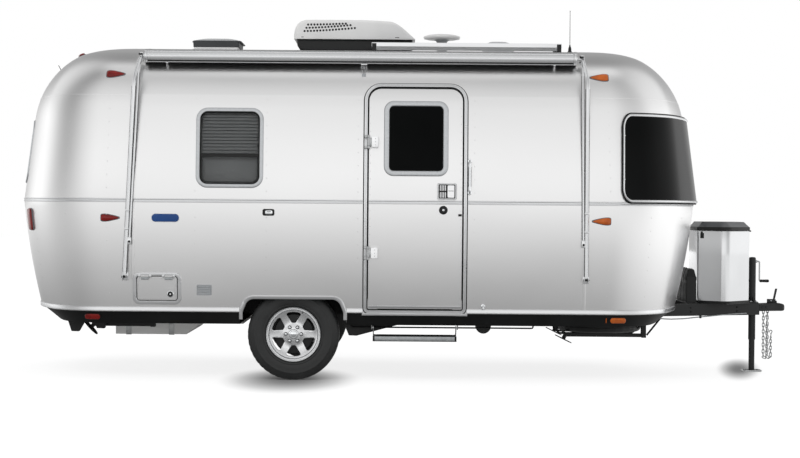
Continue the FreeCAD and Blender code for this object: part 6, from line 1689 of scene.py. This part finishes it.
def addLocker():
    cover, lid, fittings = Shape(), Shape(), Shape()
    floor, rim = locker["floor"], locker["rim"]
    addFrame(cover, lockerOutline, [(-0.6, floor), (-0.6, floor + 200), (-0.6, rim - 200), (-0.6, rim - 5),
        (-2, rim), (-4, rim), (-4, floor)], upright)
    cover.build("locker_cover", ["brightSheet"], slot="cover_metal", replaces=["tank_cover"])
    addFrame(fittings, lockerOutline, ((-1, -1), (5, -1), (6, 3), (6, 17), (4, 19), (-1, 19)), upright,
        base=floor * mm)
    base = 1.1575
    addPlate(lid, lockerOutline, ((-5, 0), (3.5, 0), (4.5, 2), (4.5, 26), (3, 30), (-3, 31.5)), upright, 1,
        base)
    addPlate(lid, lockerOutline, ((-6, 28), (-2, 31), (-4, 34), (-24, 52), (-41, 67), (-46, 70.6),
        (-54, 72.4)), upright, base=base)
    hinge = (2.809, 0, 1.1563)
    for side in (-1, 1):
        near, far = sorted((side * 50, side * 140))
        addTurned(fittings, [(6.4, near), (6.4, near + 28)], hinge, alongY, 14)
        addTurned(fittings, [(6.4, far - 28), (6.4, far)], hinge, alongY, 14)
        addTurned(lid, [(6.4, near + 29), (6.4, far - 29)], hinge, alongY, 14, 1)
        # Draw latch on the body-side face, and its keeper on the lid.
        along = Vector((0.802, side * 0.598, 0))
        face = Vector((-0.598, side * 0.802, 0))
        at = Vector((2.364, side * 0.230, 0)) + along * 42 * mm

        def spot(a, b, c):
            return at + along * a + face * c + Vector((0, 0, b))

        addBlock(fittings, origin, (-15, 1096, -2), (15, 1140, 9), 2.5, 0, spot)
        addBlock(fittings, origin, (-9, 1110, 8), (9, 1152, 14), 2, 0, spot)
        addBlock(lid, origin, (-11, 1161, 2), (11, 1172, 11), 2, 1, spot)
    lid.build("locker_lid_top", ["lidAbs", "blackAbs"], "locker_lid", "black_plastic", ["tank_lid"])
    fittings.build("locker_fittings", ["blackAbs"], slot="black_plastic")
    bottles = Shape()
    x = 2.548
    for y in (-0.172, 0.172):
        axis = (x, y, 0)
        profile = [(98, 573), (104, 574), (104, 598), (128, 612), (146, 640), (150, 676), (150, 900),
            (145, 942), (124, 976), (88, 996), (60, 1003), (60, 1006), (57, 1006), (30, 1010)]
        addTurned(bottles, profile, axis, upward, 48)
        for z in (745, 805):
            addTurned(bottles, [(149.4, z - 3), (150.4, z), (149.4, z + 3)], axis, upward, 48)
        # The collar round the valve, open over 80 degrees.
        rings = [[Vector((x + r * mm * cos(radians(a)), y + r * mm * sin(radians(a)), z * mm))
            for r, z in ((56, 1004), (60, 1004), (60, 1070), (58, 1073), (56, 1070))]
            for a in spread(40, 320, 24)]
        bottles.loft(rings)
        addTurned(bottles, [(13, 1006), (13, 1034), (24, 1038), (27, 1046), (24, 1053), (8, 1055)], axis,
            upward, 12, 1)
        addTurned(bottles, [(10, 8), (10, 46), (7, 48)], (x, y, 1.022), alongX, 10, 1)
    bottles.build("gas_bottle_pair", ["bottleEnamel", "zincPlate"], slot="gas_steel",
        replaces=["gas_bottles"])


def addBattery():
    shape = Shape()
    x0, x1, half, floor = 2.266, 2.352, 0.278, 0.574
    section = ((x0, floor), (x1, floor), (x1 - 3 * mm, floor + 0.19), (x0 + 3 * mm, floor + 0.19))
    for low, high in ((-half, -0.01), (0.01, half)):
        rings = []
        for y, inset in ((low, 6), (low + 5 * mm, 0.6), (low + 10 * mm, 0), (high - 10 * mm, 0),
                (high - 5 * mm, 0.6), (high, 6)):
            ring = cornered([(a, b) for a, b in section], [9 * mm] * 4, 3)
            middle = ((x0 + x1) / 2, floor + 0.095)
            rings.append([Vector((middle[0] + (a - middle[0]) * (1 - inset / 60), y,
                middle[1] + (b - middle[1]) * (1 - inset / 130))) for a, b in ring])
        shape.loft(rings)
        for i in range(6):
            y = low + (high - low) * (i + 0.5) / 6
            addBlock(shape, (x0, y, floor), (-0.5, -5, 12), ((x1 - x0) / mm + 0.5, 5, 160), 2)
        outline = denseOutline((x0 - 1 * mm, low + 1 * mm), (x1 + 1 * mm, high - 1 * mm), 12, 80, 4)
        top = floor + 0.19
        addPlate(shape, outline, ((0, -8), (1, 0), (0, 18), (-6, 24), (-18, 72), (-24, 80), (-30, 82)),
            upright, base=top)
        y = (low + high) / 2
        strap = [Vector((x, y, z)) for x, z in ((x0 - 2 * mm, floor + 4 * mm), (x0 - 2 * mm, top + 20 * mm),
            (x0 + 14 * mm, top + 76 * mm), (x0 + 22 * mm, top + 84 * mm), (x1 - 22 * mm, top + 84 * mm),
            (x1 - 14 * mm, top + 76 * mm), (x1 + 1.6 * mm, top + 20 * mm), (x1 + 1.6 * mm, floor + 4 * mm))]
        heart = Vector(((x0 + x1) / 2, y, floor + 0.13))
        rings = [[p + Vector((0, across * mm, 0)) + (p - heart).normalized() * rise * mm
            for across, rise in ((-17, 0), (-17, 1.4), (17, 1.4), (17, 0))] for p in strap]
        shape.loft(rings, 1)
    shape.build("battery_boxes", ["blackAbs", "sealRubber"], slot="black_plastic", replaces=["battery_box"])


jackSpot = (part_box("jack_leg")[0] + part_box("jack_leg")[1]) / 2


def addJack():
    x, y = jackSpot.x, 0
    tube, leg = Shape(), Shape()
    profile = [(25.4, 900), (25.4, 262), (28.4, 262), (29, 265), (29, 560), (29, 600), (29, 884),
        (28.4, 886), (29, 888), (29, 926), (27, 935), (20, 940), (6, 941)]
    addTurned(tube, profile, (x, y, 0), upward, 32)
    # The collar and the two halves of its plate leave the bore open for the leg.
    collar = [(27, 567.5), (36, 567.5), (36, 581), (30, 586), (27, 586), (27, 567.5)]
    addTurned(tube, collar, (x, y, 0), upward, 32, ends=False)
    for side in (-1, 1):
        near, far = sorted((side * 26.4, side * 112))
        addBlock(tube, (x, y, 0), (-40, near, 567), (32, far, 575), 1)
        for ahead in (-26, 18):
            addTurned(tube, [(9, 0), (9, 7), (7.5, 8.4)],
                (x + ahead * mm, side * 88 * mm, 0.575), upward, 6, 1)
        near, far = sorted((side * 28, side * 62))
        addBlock(tube, (x, y, 0), (-3, near, 575), (3, far, 612), 1.5)
    crank = bend([(x + 20 * mm, y, 0.905), (x + 59 * mm, y, 0.905), (x + 59 * mm, y, 0.745),
        (x + 0.135, y, 0.745)], 13, 6)
    addTube(tube, crank, 6.4, 12, 1)
    addTurned(tube, [(11, 22), (11, 38), (8, 40)], (x, y, 0.905), alongX, 16, 1)
    grip = [(7, 60), (10.5, 62), (12, 68), (11.2, 84), (11.6, 104), (12.4, 124), (11.6, 132), (8, 137)]
    addTurned(tube, grip, (x, y, 0.745), alongX, 20, 2)
    tube.build("jack_body", ["powderCoat", "zincPlate", "blackAbs"], slot="black_steel",
        replaces=["jack_tube"])
    addTurned(leg, [(24.2, 8), (24.2, 545), (22, 548)], (x, y, 0), upward, 32)
    for z in (60, 110, 160, 210):
        addTurned(leg, [(5, -24.6), (5, 24.6)], (x, y, z * mm), alongY, 14, 2)
    foot = denseOutline((x - 77 * mm, -77 * mm), (x + 77 * mm, 77 * mm), 26, 60, 5)
    addPlate(leg, foot, [(-22, 0.2), (-6, 0.2), (0, 6), (-0.5, 12), (-3, 12), (-10, 5), (-40, 4)], upright,
        1)
    addTurned(leg, [(34, 4), (34, 8), (28, 11), (25, 11.8)], (x, y, 0), upward, 24, 1)
    leg.build("jack_leg_foot", ["powderCoat", "zincPlate", "blackAbs"], "jack_slide",
        "zinc_steel", ["jack_leg"])


def addCoupler():
    shape = Shape()
    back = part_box("coupler")[0].x
    stations = ((0, 104, 500, 552), (4, 106, 500, 556), (30, 98, 500, 558), (80, 77, 500, 562),
        (120, 62, 500, 566), (150, 51, 500, 566), (172, 46, 500, 565), (196, 44, 500, 561),
        (212, 36, 502, 556), (221, 22, 506, 549), (225, 8, 512, 542))
    rings = []
    for along, half, low, high in stations:
        r = min(12, half * 0.8, (high - low) / 2.4)
        ring = roundedOutline((-half * mm, low * mm), (half * mm, high * mm), r * mm, 0, 4)
        rings.append([Vector((back + along * mm, a, b)) for a, b in ring])
    shape.loft(rings)
    piece = shape.build("coupler_casting", ["powderCoat"], slot="black_steel", replaces=["coupler"])
    socket = [(back + 0.166 + a, b) for a, b in arcPoints((0, 0), 27 * mm, 0, 345, 23)]
    cutOut(piece, [Cutter(socket, 0.49, 0.536, upright)])
    settle(piece, root, ())
    parts = Shape()
    top = 0.562
    for side in (-1, 1):
        low, high = sorted((side * 13, side * 18))
        addBlock(parts, (back, 0, top), (84, low, -4), (150, high, 34), 4)
        for along in (26, 62):
            addTurned(parts, [(10, 0), (10, 7), (8, 9)], (back + along * mm,
                side * (104 - along * 0.36) * mm, 0.532), (0, side, 0), 6)
    for along, r in ((104, 13), (128, 17), (150, 12)):
        addTurned(parts, [(r, -12.6), (r, 12.6)], (back + along * mm, 0, top + 12 * mm), alongY, 20)
    addTurned(parts, [(5, -22), (6, -21), (6, 21), (5, 22)], (back + 0.112, 0, top + 22 * mm), alongY, 12, 1)
    lever = [Vector((back + a * mm, 0, z * mm)) for a, z in ((136, 582), (141, 606),
        (148, 640), (154, 668), (157, 682))]
    rings = []
    for i, point in enumerate(lever):
        wide = (9, 10, 11, 13, 12)[i] * mm
        rings.append([point + Vector((a, b, 0)) for a, b in ((-7 * mm, -wide), (7 * mm, -wide),
            (7 * mm, -wide * 0.6), (-3 * mm, -wide * 0.6), (-3 * mm, wide * 0.6), (7 * mm, wide * 0.6),
            (7 * mm, wide), (-7 * mm, wide))])
    parts.loft(rings)
    parts.build("coupler_latch", ["powderCoat", "galvanisedSteel"], slot="black_steel")


def addChains():
    shape = Shape()
    low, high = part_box("safety_chains")
    half, reach = 14 * mm, high.y - 11 * mm
    bottom = low.z + 12 * mm
    link = {"pitch": 27 * mm, "half": 8.6 * mm, "radius": 8.6 * mm, "wire": 4.1}
    for side, sag, shift in ((-1, 12 * mm, -24 * mm), (1, 0, 34 * mm)):
        x, y = (low.x + high.x) / 2 + shift, side * reach
        down = [Vector((x - half, y, 0.494 - link["pitch"] * i)) for i in range(100)]
        turn = bottom + half + sag
        path = [point for point in down if point.z > turn]
        path += [Vector((x - half * cos(a), y, turn - half * sin(a))) for a in spread(0, pi, 4)]
        path += [Vector((x + half, y, turn + link["pitch"] * i)) for i in range(1, 100)
            if turn + link["pitch"] * i < (430 if side < 0 else 300) * mm]
        even, walked = [path[0]], 0
        for a, b in zip(path, path[1:]):
            length = (b - a).length
            while walked + length >= link["pitch"] * len(even):
                share = (link["pitch"] * len(even) - walked) / length
                even.append(a.lerp(b, share))
            walked += length
        for i, point in enumerate(even):
            ahead = (even[min(i + 1, len(even) - 1)] - even[max(i - 1, 0)]).normalized()
            across = Vector((0, 1, 0)) if i % 2 else Vector((0, 1, 0)).cross(ahead)
            loop = []
            for k in range(12):
                a = 2 * pi * k / 12 + pi / 12
                shift = link["half"] if cos(a) > 0 else -link["half"]
                loop.append(point + ahead * (shift + link["radius"] * cos(a))
                    + across * link["radius"] * sin(a))
            addTube(shape, loop, link["wire"], 7, 0, True)
        # The hook with its spring tongue at the free end, hung by the coupler.
        top = even[-1] + Vector((2 * mm, 0, 14 * mm))
        hook = [top + Vector((a * mm, 0, b * mm)) for a, b in ((0, -8), (0, 14), (4, 26), (10, 36), (8, 48),
            (-3, 52), (-12, 45), (-13, 36))]
        addTube(shape, bend(hook, 6, 3), 4.6, 8)
        addTube(shape, [top + Vector((-13 * mm, 0, 37 * mm)), top + Vector((0, 0, 16 * mm))], 2, 6)
        addTurned(shape, [(9, -4), (9, 4)], top + Vector((0, 0, -8 * mm)), alongY, 14)
    shape.build("chain_links", ["zincPlate"], slot="zinc_steel", replaces=["safety_chains"])


def addTongueCable():   # a breakaway lead clipped along under the curb rail, ending by the jack
    shape = Shape()
    back, tip = (1.552, -0.59), (2.895, -0.078)   # the curb rail's outer edge in plan

    def railSide(x, out, z):
        share = (x - back[0]) / (tip[0] - back[0])
        return Vector((x, back[1] + (tip[1] - back[1]) * share - out, z))

    run = [railSide(x, 0.028, z) for x, z in ((1.72, 0.476), (1.9, 0.474), (1.99, 0.456), (2.12, 0.447),
        (2.24, 0.449), (2.34, 0.458), (2.42, 0.464), (2.6, 0.478), (2.78, 0.486))]
    addTube(shape, bend(run, 30, 4), 5, 8, 2)
    for x in (2.02, 2.38):
        at = railSide(x, 0.029, 0.462)
        addBlock(shape, at, (-9, -7, -12), (9, 12, 14), 3, 1)
    for x, z in ((1.83, 0.52), (2.3, 0.52), (2.7, 0.52)):
        for lift in (-16, 16):
            addTurned(shape, [(8, -3), (8, 6), (6, 8)], railSide(x, 0.0278, z + lift * mm),
                (-0.35, -0.94, 0), 6, 1)
    shape.build("tongue_lead", ["sealRubber", "powderCoat", "galvanisedSteel"], slot="black_plastic")


addLocker()
addBattery()
addJack()
addCoupler()
addChains()
addTongueCable()
print("tongue made")


# Roof: air conditioner, vent, skylight, solar panel, dish and whip.

def roofAt(y):   # the crown's height at a place along Y
    return roofTop - y * y / 2 / hull["crownRadius"]


cooler = {"stations": ((0, 44, 322), (5, 70, 334), (14, 96, 341), (30, 122, 346), (56, 143, 349),
    (95, 154, 350), (180, 156, 350), (400, 156, 350), (566, 155.6, 350), (680, 151, 350), (770, 145.4, 350),
    (800, 140, 350), (832, 124, 349), (869, 100, 347), (910, 64, 344), (944, 34, 338), (966, 14, 328),
    (975, 5, 318)), "holePitch": 25.2 * mm, "holeRadius": 9, "holeRows": ((-830, 17, 62, 27),
    (-815, 15, 88, 24), (-802, 13, 114, 10))}


def addCooler():
    shroud, base = Shape(), Shape()
    low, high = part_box("cooler_shroud")
    floor = low.z
    rings = []
    for along, rise, half in cooler["stations"]:
        r = min(26, rise * 0.6)
        side = [(-half + (1 - cos(a)) * r, rise - r + r * sin(a)) for a in spread(0, pi / 2, 7)]
        ring = [(-half + 2, 0), (-half, min(8, rise / 3))] + side
        ring += [(0, rise)] + [(-y, z) for y, z in ring[::-1]]
        rings.append([Vector((low.x + along * mm, y * mm, floor + z * mm)) for y, z in ring])
    shroud.loft(rings)
    for side in (-1, 1):
        y = side * 0.35
        # A moulded step line along the side, and the rows of vent holes that climb to the front, drawn as
        # black discs: painted shade in the openings.
        near, far = sorted((-side * 3, -side * 0.4))
        addBlock(shroud, (low.x, y, floor), (60, near, 12), ((high.x - low.x) / mm - 130, far, 17), 0.5, 1)
        for first, count, lift, climb in cooler["holeRows"]:
            for i in range(count):
                at = Vector((first * mm + i * cooler["holePitch"], y,
                    floor + (lift + climb * (i / (count - 1)) ** 1.4) * mm))
                addTurned(shroud, [(cooler["holeRadius"], -4), (cooler["holeRadius"], 0.4),
                    (cooler["holeRadius"] - 0.6, 0.9)], at, (0, side, 0), 12, 1)
    shroud.build("cooler_cover", ["whiteAbs", "blackAbs"], slot="white_plastic", replaces=["cooler_shroud"])
    foot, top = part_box("cooler_base")
    floorAt = roofAt(0.3) - 4 * mm
    rings = []
    for x, lift in ((foot.x, 62), (foot.x + 6 * mm, 36), (foot.x + 18 * mm, 18), (foot.x + 40 * mm, 5),
            (foot.x + 80 * mm, 0), (top.x - 60 * mm, 0), (top.x - 30 * mm, 6),
            (top.x - 8 * mm, 24), (top.x, 50)):
        edge = 0.318 if foot.x < x < top.x else 0.306
        outline = roundedOutline((-edge, floorAt + lift * mm), (edge, top.z + 1 * mm), 12 * mm, 0, 3)
        rings.append([Vector((x, a, b)) for a, b in outline])
    base.loft(rings)
    base.build("cooler_tray", ["blackAbs"], slot="black_plastic", replaces=["cooler_base"])


def addRoofFittings():
    frames, lid = Shape(), Shape()
    low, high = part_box("roof_vent_lid")
    outline = denseOutline((low.x + 8 * mm, low.y), (high.x, high.y), 34, 90, 6)
    floor = low.z + 4 * mm
    addPlate(lid, outline, ((-3, 0), (0, 0), (0, 7), (-8, 11)), upright, base=floor)
    rise = (high.z - floor) / mm - 9
    addPlate(lid, outline, [(-12, 8)] + [(-12 - 160 * s, 9 + rise * sin(pi / 2 * s) ** 0.9)
        for s in (0.06, 0.14, 0.24, 0.36, 0.5, 0.66, 0.82, 1.0)], upright, 1, floor)
    addTurned(lid, [(5, -150), (5, 150)], (-1.749, 0, 2.662), alongY, 12)
    lid.build("vent_lid_dome", ["ventAbs", "domeAcrylic"], "vent_lid", "tinted_plastic", ["roof_vent_lid"])
    around = denseOutline((-1.744, -0.21), (-1.368, 0.21), 22, 90, 5)
    waist = 2.615
    skin = (roofAt(0.2) - waist) / mm - 6
    addFrame(frames, around, ((-9, skin), (-9, 1), (-22, 1), (-22, skin)), upright, 2, waist)
    addFrame(frames, around, ((-9, 0), (-3, 3), (-1, 44.5), (-22, 44.5), (-22, 0)), upright, 0, waist)
    addFrame(frames, around, ((-4, -3), (18, -5), (18, 1.6), (-4, (roofAt(0.1) - roofAt(0.21)) / mm + 3)),
        upright, 1, roofAt(0.21))
    dome = denseOutline((0.612, 0.06), (0.893, 0.341), 46, 80, 6)
    base = roofAt(0.34) - 3 * mm
    addPlate(frames, dome, ((0, 0), (0, 26), (-4, 32)), upright, 2, base)
    rise = (2.712 - base) / mm
    addPlate(frames, dome, ((-10, 20), (-10, 34), (-20, rise * 0.62), (-44, rise * 0.84), (-80, rise * 0.96),
        (-118, rise)), upright, 3, base)
    frames.build("vent_curb_skylight", ["ventAbs", "anodisedAluminium", "whiteAbs", "domeAcrylic"],
        slot="white_plastic", replaces=["vent_frames"])
    # Solar panel: framed glass on angled feet.
    panel = Shape()
    low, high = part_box("solar_panel")
    plan = denseOutline(*inside(low, high, 1), 4, 300, 3)
    z = high.z - 1 * mm
    addFrame(panel, plan, ((0, -30), (0, -1), (-1, 0), (-9, 0), (-10, -1), (-10, -30)), upright, base=z)
    addPlate(panel, plan, ((-9.5, -8), (-9.5, -2), (-12, -1.6)), upright, 1, z)
    for x in (low.x + 4 * mm, high.x - 38 * mm):
        for y, out in ((low.y, -1), (high.y, 1)):
            ground = roofAt(y + out * 25 * mm) - 2 * mm
            near, far = sorted((0, out * 34))
            addBlock(panel, (x, y, ground), (0, near, 0), (34, far, 5), 1, 2)
            near, far = sorted((-out, out * 3))
            addBlock(panel, (x, y, ground), (0, near, 0), (34, far, (z - ground) / mm - 6), 1, 2)
            addTurned(panel, [(7, 0), (7, 4), (5, 6)],
                (x + 17 * mm, y + out * 20 * mm, ground + 4 * mm), upward, 6, 2)
    panel.build("solar_frame", ["anodisedAluminium", "solarCells", "blackAbs"], slot="solar_cells",
        replaces=["solar_panel"])
    masts = Shape()
    dish, whip = (0.289, 0.35, 0), (1.307, -0.3, 0)
    profile = [(60, 2738), (120, 2739.5), (150, 2746), (154.6, 2757), (152, 2766), (120, 2776), (70, 2783),
        (30, 2785.6), (4, 2786)]
    addTurned(masts, profile, dish, upward, 56)
    ground = roofAt(dish[1]) / mm - 8
    stem = [(70, ground), (70, ground + 12), (58, ground + 20), (44, ground + 34), (42, ground + 60),
        (42, 2716), (52, 2730), (66, 2739)]
    addTurned(masts, stem, dish, upward, 40, 1)
    ground = roofAt(whip[1]) / mm - 8
    addTurned(masts, ((22, ground), (22, ground + 9), (14, ground + 14), (12, ground + 40), (6, ground + 56),
        (5, ground + 66)), whip, upward, 20, 2)
    addTurned(masts, ((2.6, ground + 50), (2.2, 2800), (1.9, 2914), (3, 2916), (3, 2922), (1, 2923)), whip,
        upward, 10, 2)
    foot = onEnd("rear")(-0.1, 2.40, 0)   # a short aerial on the rear end
    addTube(masts, [foot + Vector((0.01, 0, -0.01)), foot + Vector((-0.006, 0, 0.03)),
        foot + Vector((-0.026, 0, 0.066))], 2.6, 8, 2)
    masts.build("dish_and_whip", ["whiteAbs", "greyAbs", "blackAbs"], slot="white_plastic",
        replaces=["roof_antennas"])


addCooler()
addRoofFittings()
print("roof made")


# Under the floor: spare wheel, tank straps, step and small fittings, and finishes for what stays as built.

def addSpare():
    shape = Shape()
    low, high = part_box("spare_wheel")
    centre = (low + high) / 2
    half = (high.z - low.z) / 2 / mm - 0.5
    profile = [(190, half - 16), (212, half - 6), (232, half - 1), (268, half), (296, half - 2),
        (318, half - 8), (332, half - 18), (338, half - 30), (339.4, half - 44), (335, half - 46),
        (335, half - 52), (339.6, half - 54)]
    whole = profile + [(r, -z) for r, z in profile[::-1]]
    rings = []
    for i, a in enumerate(fullTurn(96)):
        ring = []
        for r, z in whole:
            r -= 4 if r > 331 and i % 3 == 0 else 0
            ring.append(centre + Vector((r * cos(a), r * sin(a), z)) * mm)
        rings.append(ring)
    shape.loft(rings, joined=True)
    dish = [(20, -40), (90, -42), (110, -30), (150, -26), (176, -40), (186, -half + 20), (200, -half + 8),
        (206, -half + 10), (206, -half + 14), (190, -half + 26), (188, half - 26), (200, half - 10),
        (190, half - 8), (180, half - 30), (170, 20), (20, 10)]
    addTurned(shape, dish, centre, upward, 56, 1)
    shape.build("spare_tyre", ["tyreRubber", "galvanisedSteel"], slot="tyre_rubber",
        replaces=["spare_wheel"])
    rack = Shape()
    bottom = low.z - 4 * mm
    for y in (-0.16, 0.16):
        bar = bend([(centre[0] - 0.37, y, 0.44), (centre[0] - 0.36, y, bottom - 4 * mm),
            (centre[0] + 0.24, y, bottom - 4 * mm), (2.03, y, 0.47)], 30, 4)
        addTube(rack, bar, 9, 10)
    addTube(rack, [(centre[0] - 0.3, -0.2, bottom), (centre[0] - 0.3, 0.2, bottom)], 8, 8)
    addBlock(rack, (centre[0], 0, bottom), (-60, -170, -8), (60, 170, 0), 3)
    addTurned(rack, [(9, -12), (9, 60), (7, 62)], (centre[0], 0, bottom), upward, 12, 1)
    # Skid, pod and gusset that hang below the curb side of the pan, and the straps of the tank.
    for x0, x1, y, z0, z1 in ((-2.708, -2.538, -0.45, 0.319, 0.44), (-2.46, -2.34, -0.72, 0.362, 0.44),
            (-0.48, -0.02, -0.93, 0.335, 0.43)):
        section = [(x0, z1), (x0 + 0.04, z0), (x0 + 0.10, z0 - 2 * mm), (x1, z1)]
        rack.loft([[Vector((a, y + side, b)) for a, b in cornered(section, [2 * mm, 8 * mm, 8 * mm, 2 * mm],
            3)] for side in (-22 * mm, 22 * mm)])
    for y in (-0.4, 0.4):   # braces ahead of the front legs
        addTube(rack, [(1.935, y, 0.318), (2.04, y, 0.45)], 8, 8)
    addTurned(rack, [(54, -50), (60, -44), (60, 44), (54, 50)], (0.6, -0.86, 0.413), alongY, 28)
    tank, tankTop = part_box("holding_tank")
    for x in (-2.2, -1.86):
        for side in (-1, 1):
            near, far = sorted((side * 541.5, side * 545))
            addBlock(rack, (x, 0, tank.z), (-20, near, -3), (20, far, (tankTop.z - tank.z) / mm), 1, 1)
        addBlock(rack, (x, 0, tank.z), (-20, -544, -4.4), (20, 544, -0.4), 1, 1)
    addTurned(rack, [(40, 0), (40, 50), (46, 52), (46, 75), (36, 80)], (-1.98, 0.54, 0.362), alongY, 28)
    bar = bend([(0.98, -0.98, 0.43), (0.98, -0.98, 0.402), (-0.42, -0.98, 0.402), (-0.42, -0.98, 0.43)], 14,
        4)
    addTube(rack, bar, 6, 8)
    rack.build("underbody_fittings", ["powderCoat", "zincPlate"], slot="black_steel")


def addStep():
    shape = Shape()
    low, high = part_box("step_tread")
    plan = denseOutline(*inside(low, high, 1), 10, 150, 4)
    top = high.z + 2 * mm
    addPlate(shape, plan, ((-6, -7), (-1, -7), (0, -5), (-1, -1), (-4, 0)), upright, base=top)
    for y in (low.y + 1 * mm, high.y - 5 * mm):
        addBlock(shape, (low.x, y, top), (6, 0, -36), ((high.x - low.x) / mm - 6, 4, -4), 1.2)
        face = y - 0.6 * mm if y < (low.y + high.y) / 2 else y + 3 * mm
        for x in (low.x + 2 * mm, high.x - 16 * mm):
            addBlock(shape, (x, face, top), (0, -1, -38), (14, 3, 0.6), 1.4, 1)
        addBlock(shape, (low.x, face, top), (12, -0.4, -38), ((high.x - low.x) / mm - 12, 2, -33), 0.8, 1)
    for i in range(9):
        y = low.y + (high.y - low.y) * (i + 1) / 10
        addBlock(shape, (low.x, y, top), (34, -5, -1), ((high.x - low.x) / mm - 34, 5, 1.4), 0.8, 1)
    shape.build("step_plate", ["galvanisedSteel", "sealRubber"], "step", "zinc_steel", ["step_tread"])


stays = {"floor_deck": "floorVinyl", "belly_pan": "underbodyPaint", "chassis_rails": "powderCoat",
    "chassis_crossmembers": "powderCoat", "axle_beam": "powderCoat", "wheel_wells": "underbodyPaint",
    "holding_tank": "tankPolyethylene", "gas_tray": "powderCoat", "step_hangers": "zincPlate",
    "step_arms": "zincPlate", "step_links": "zincPlate", "front_leg_curb": "powderCoat",
    "front_leg_street": "powderCoat", "rear_leg_curb": "powderCoat", "rear_leg_street": "powderCoat",
    "leg_brackets": "powderCoat"}   # the frame's own pieces that are shown as they come


def finishStays():
    for name, material in stays.items():
        mesh = nodes[name].data
        mesh.materials.clear()
        mesh.materials.append(paint[material])


addSpare()
addStep()
finishStays()
for name in ("awning_roll", "locker_lid_top", "locker_fittings", "battery_boxes"):
    bpy.data.objects[name].visible_glossy = False   # soft light alone on the skin behind them
print("underbody made")
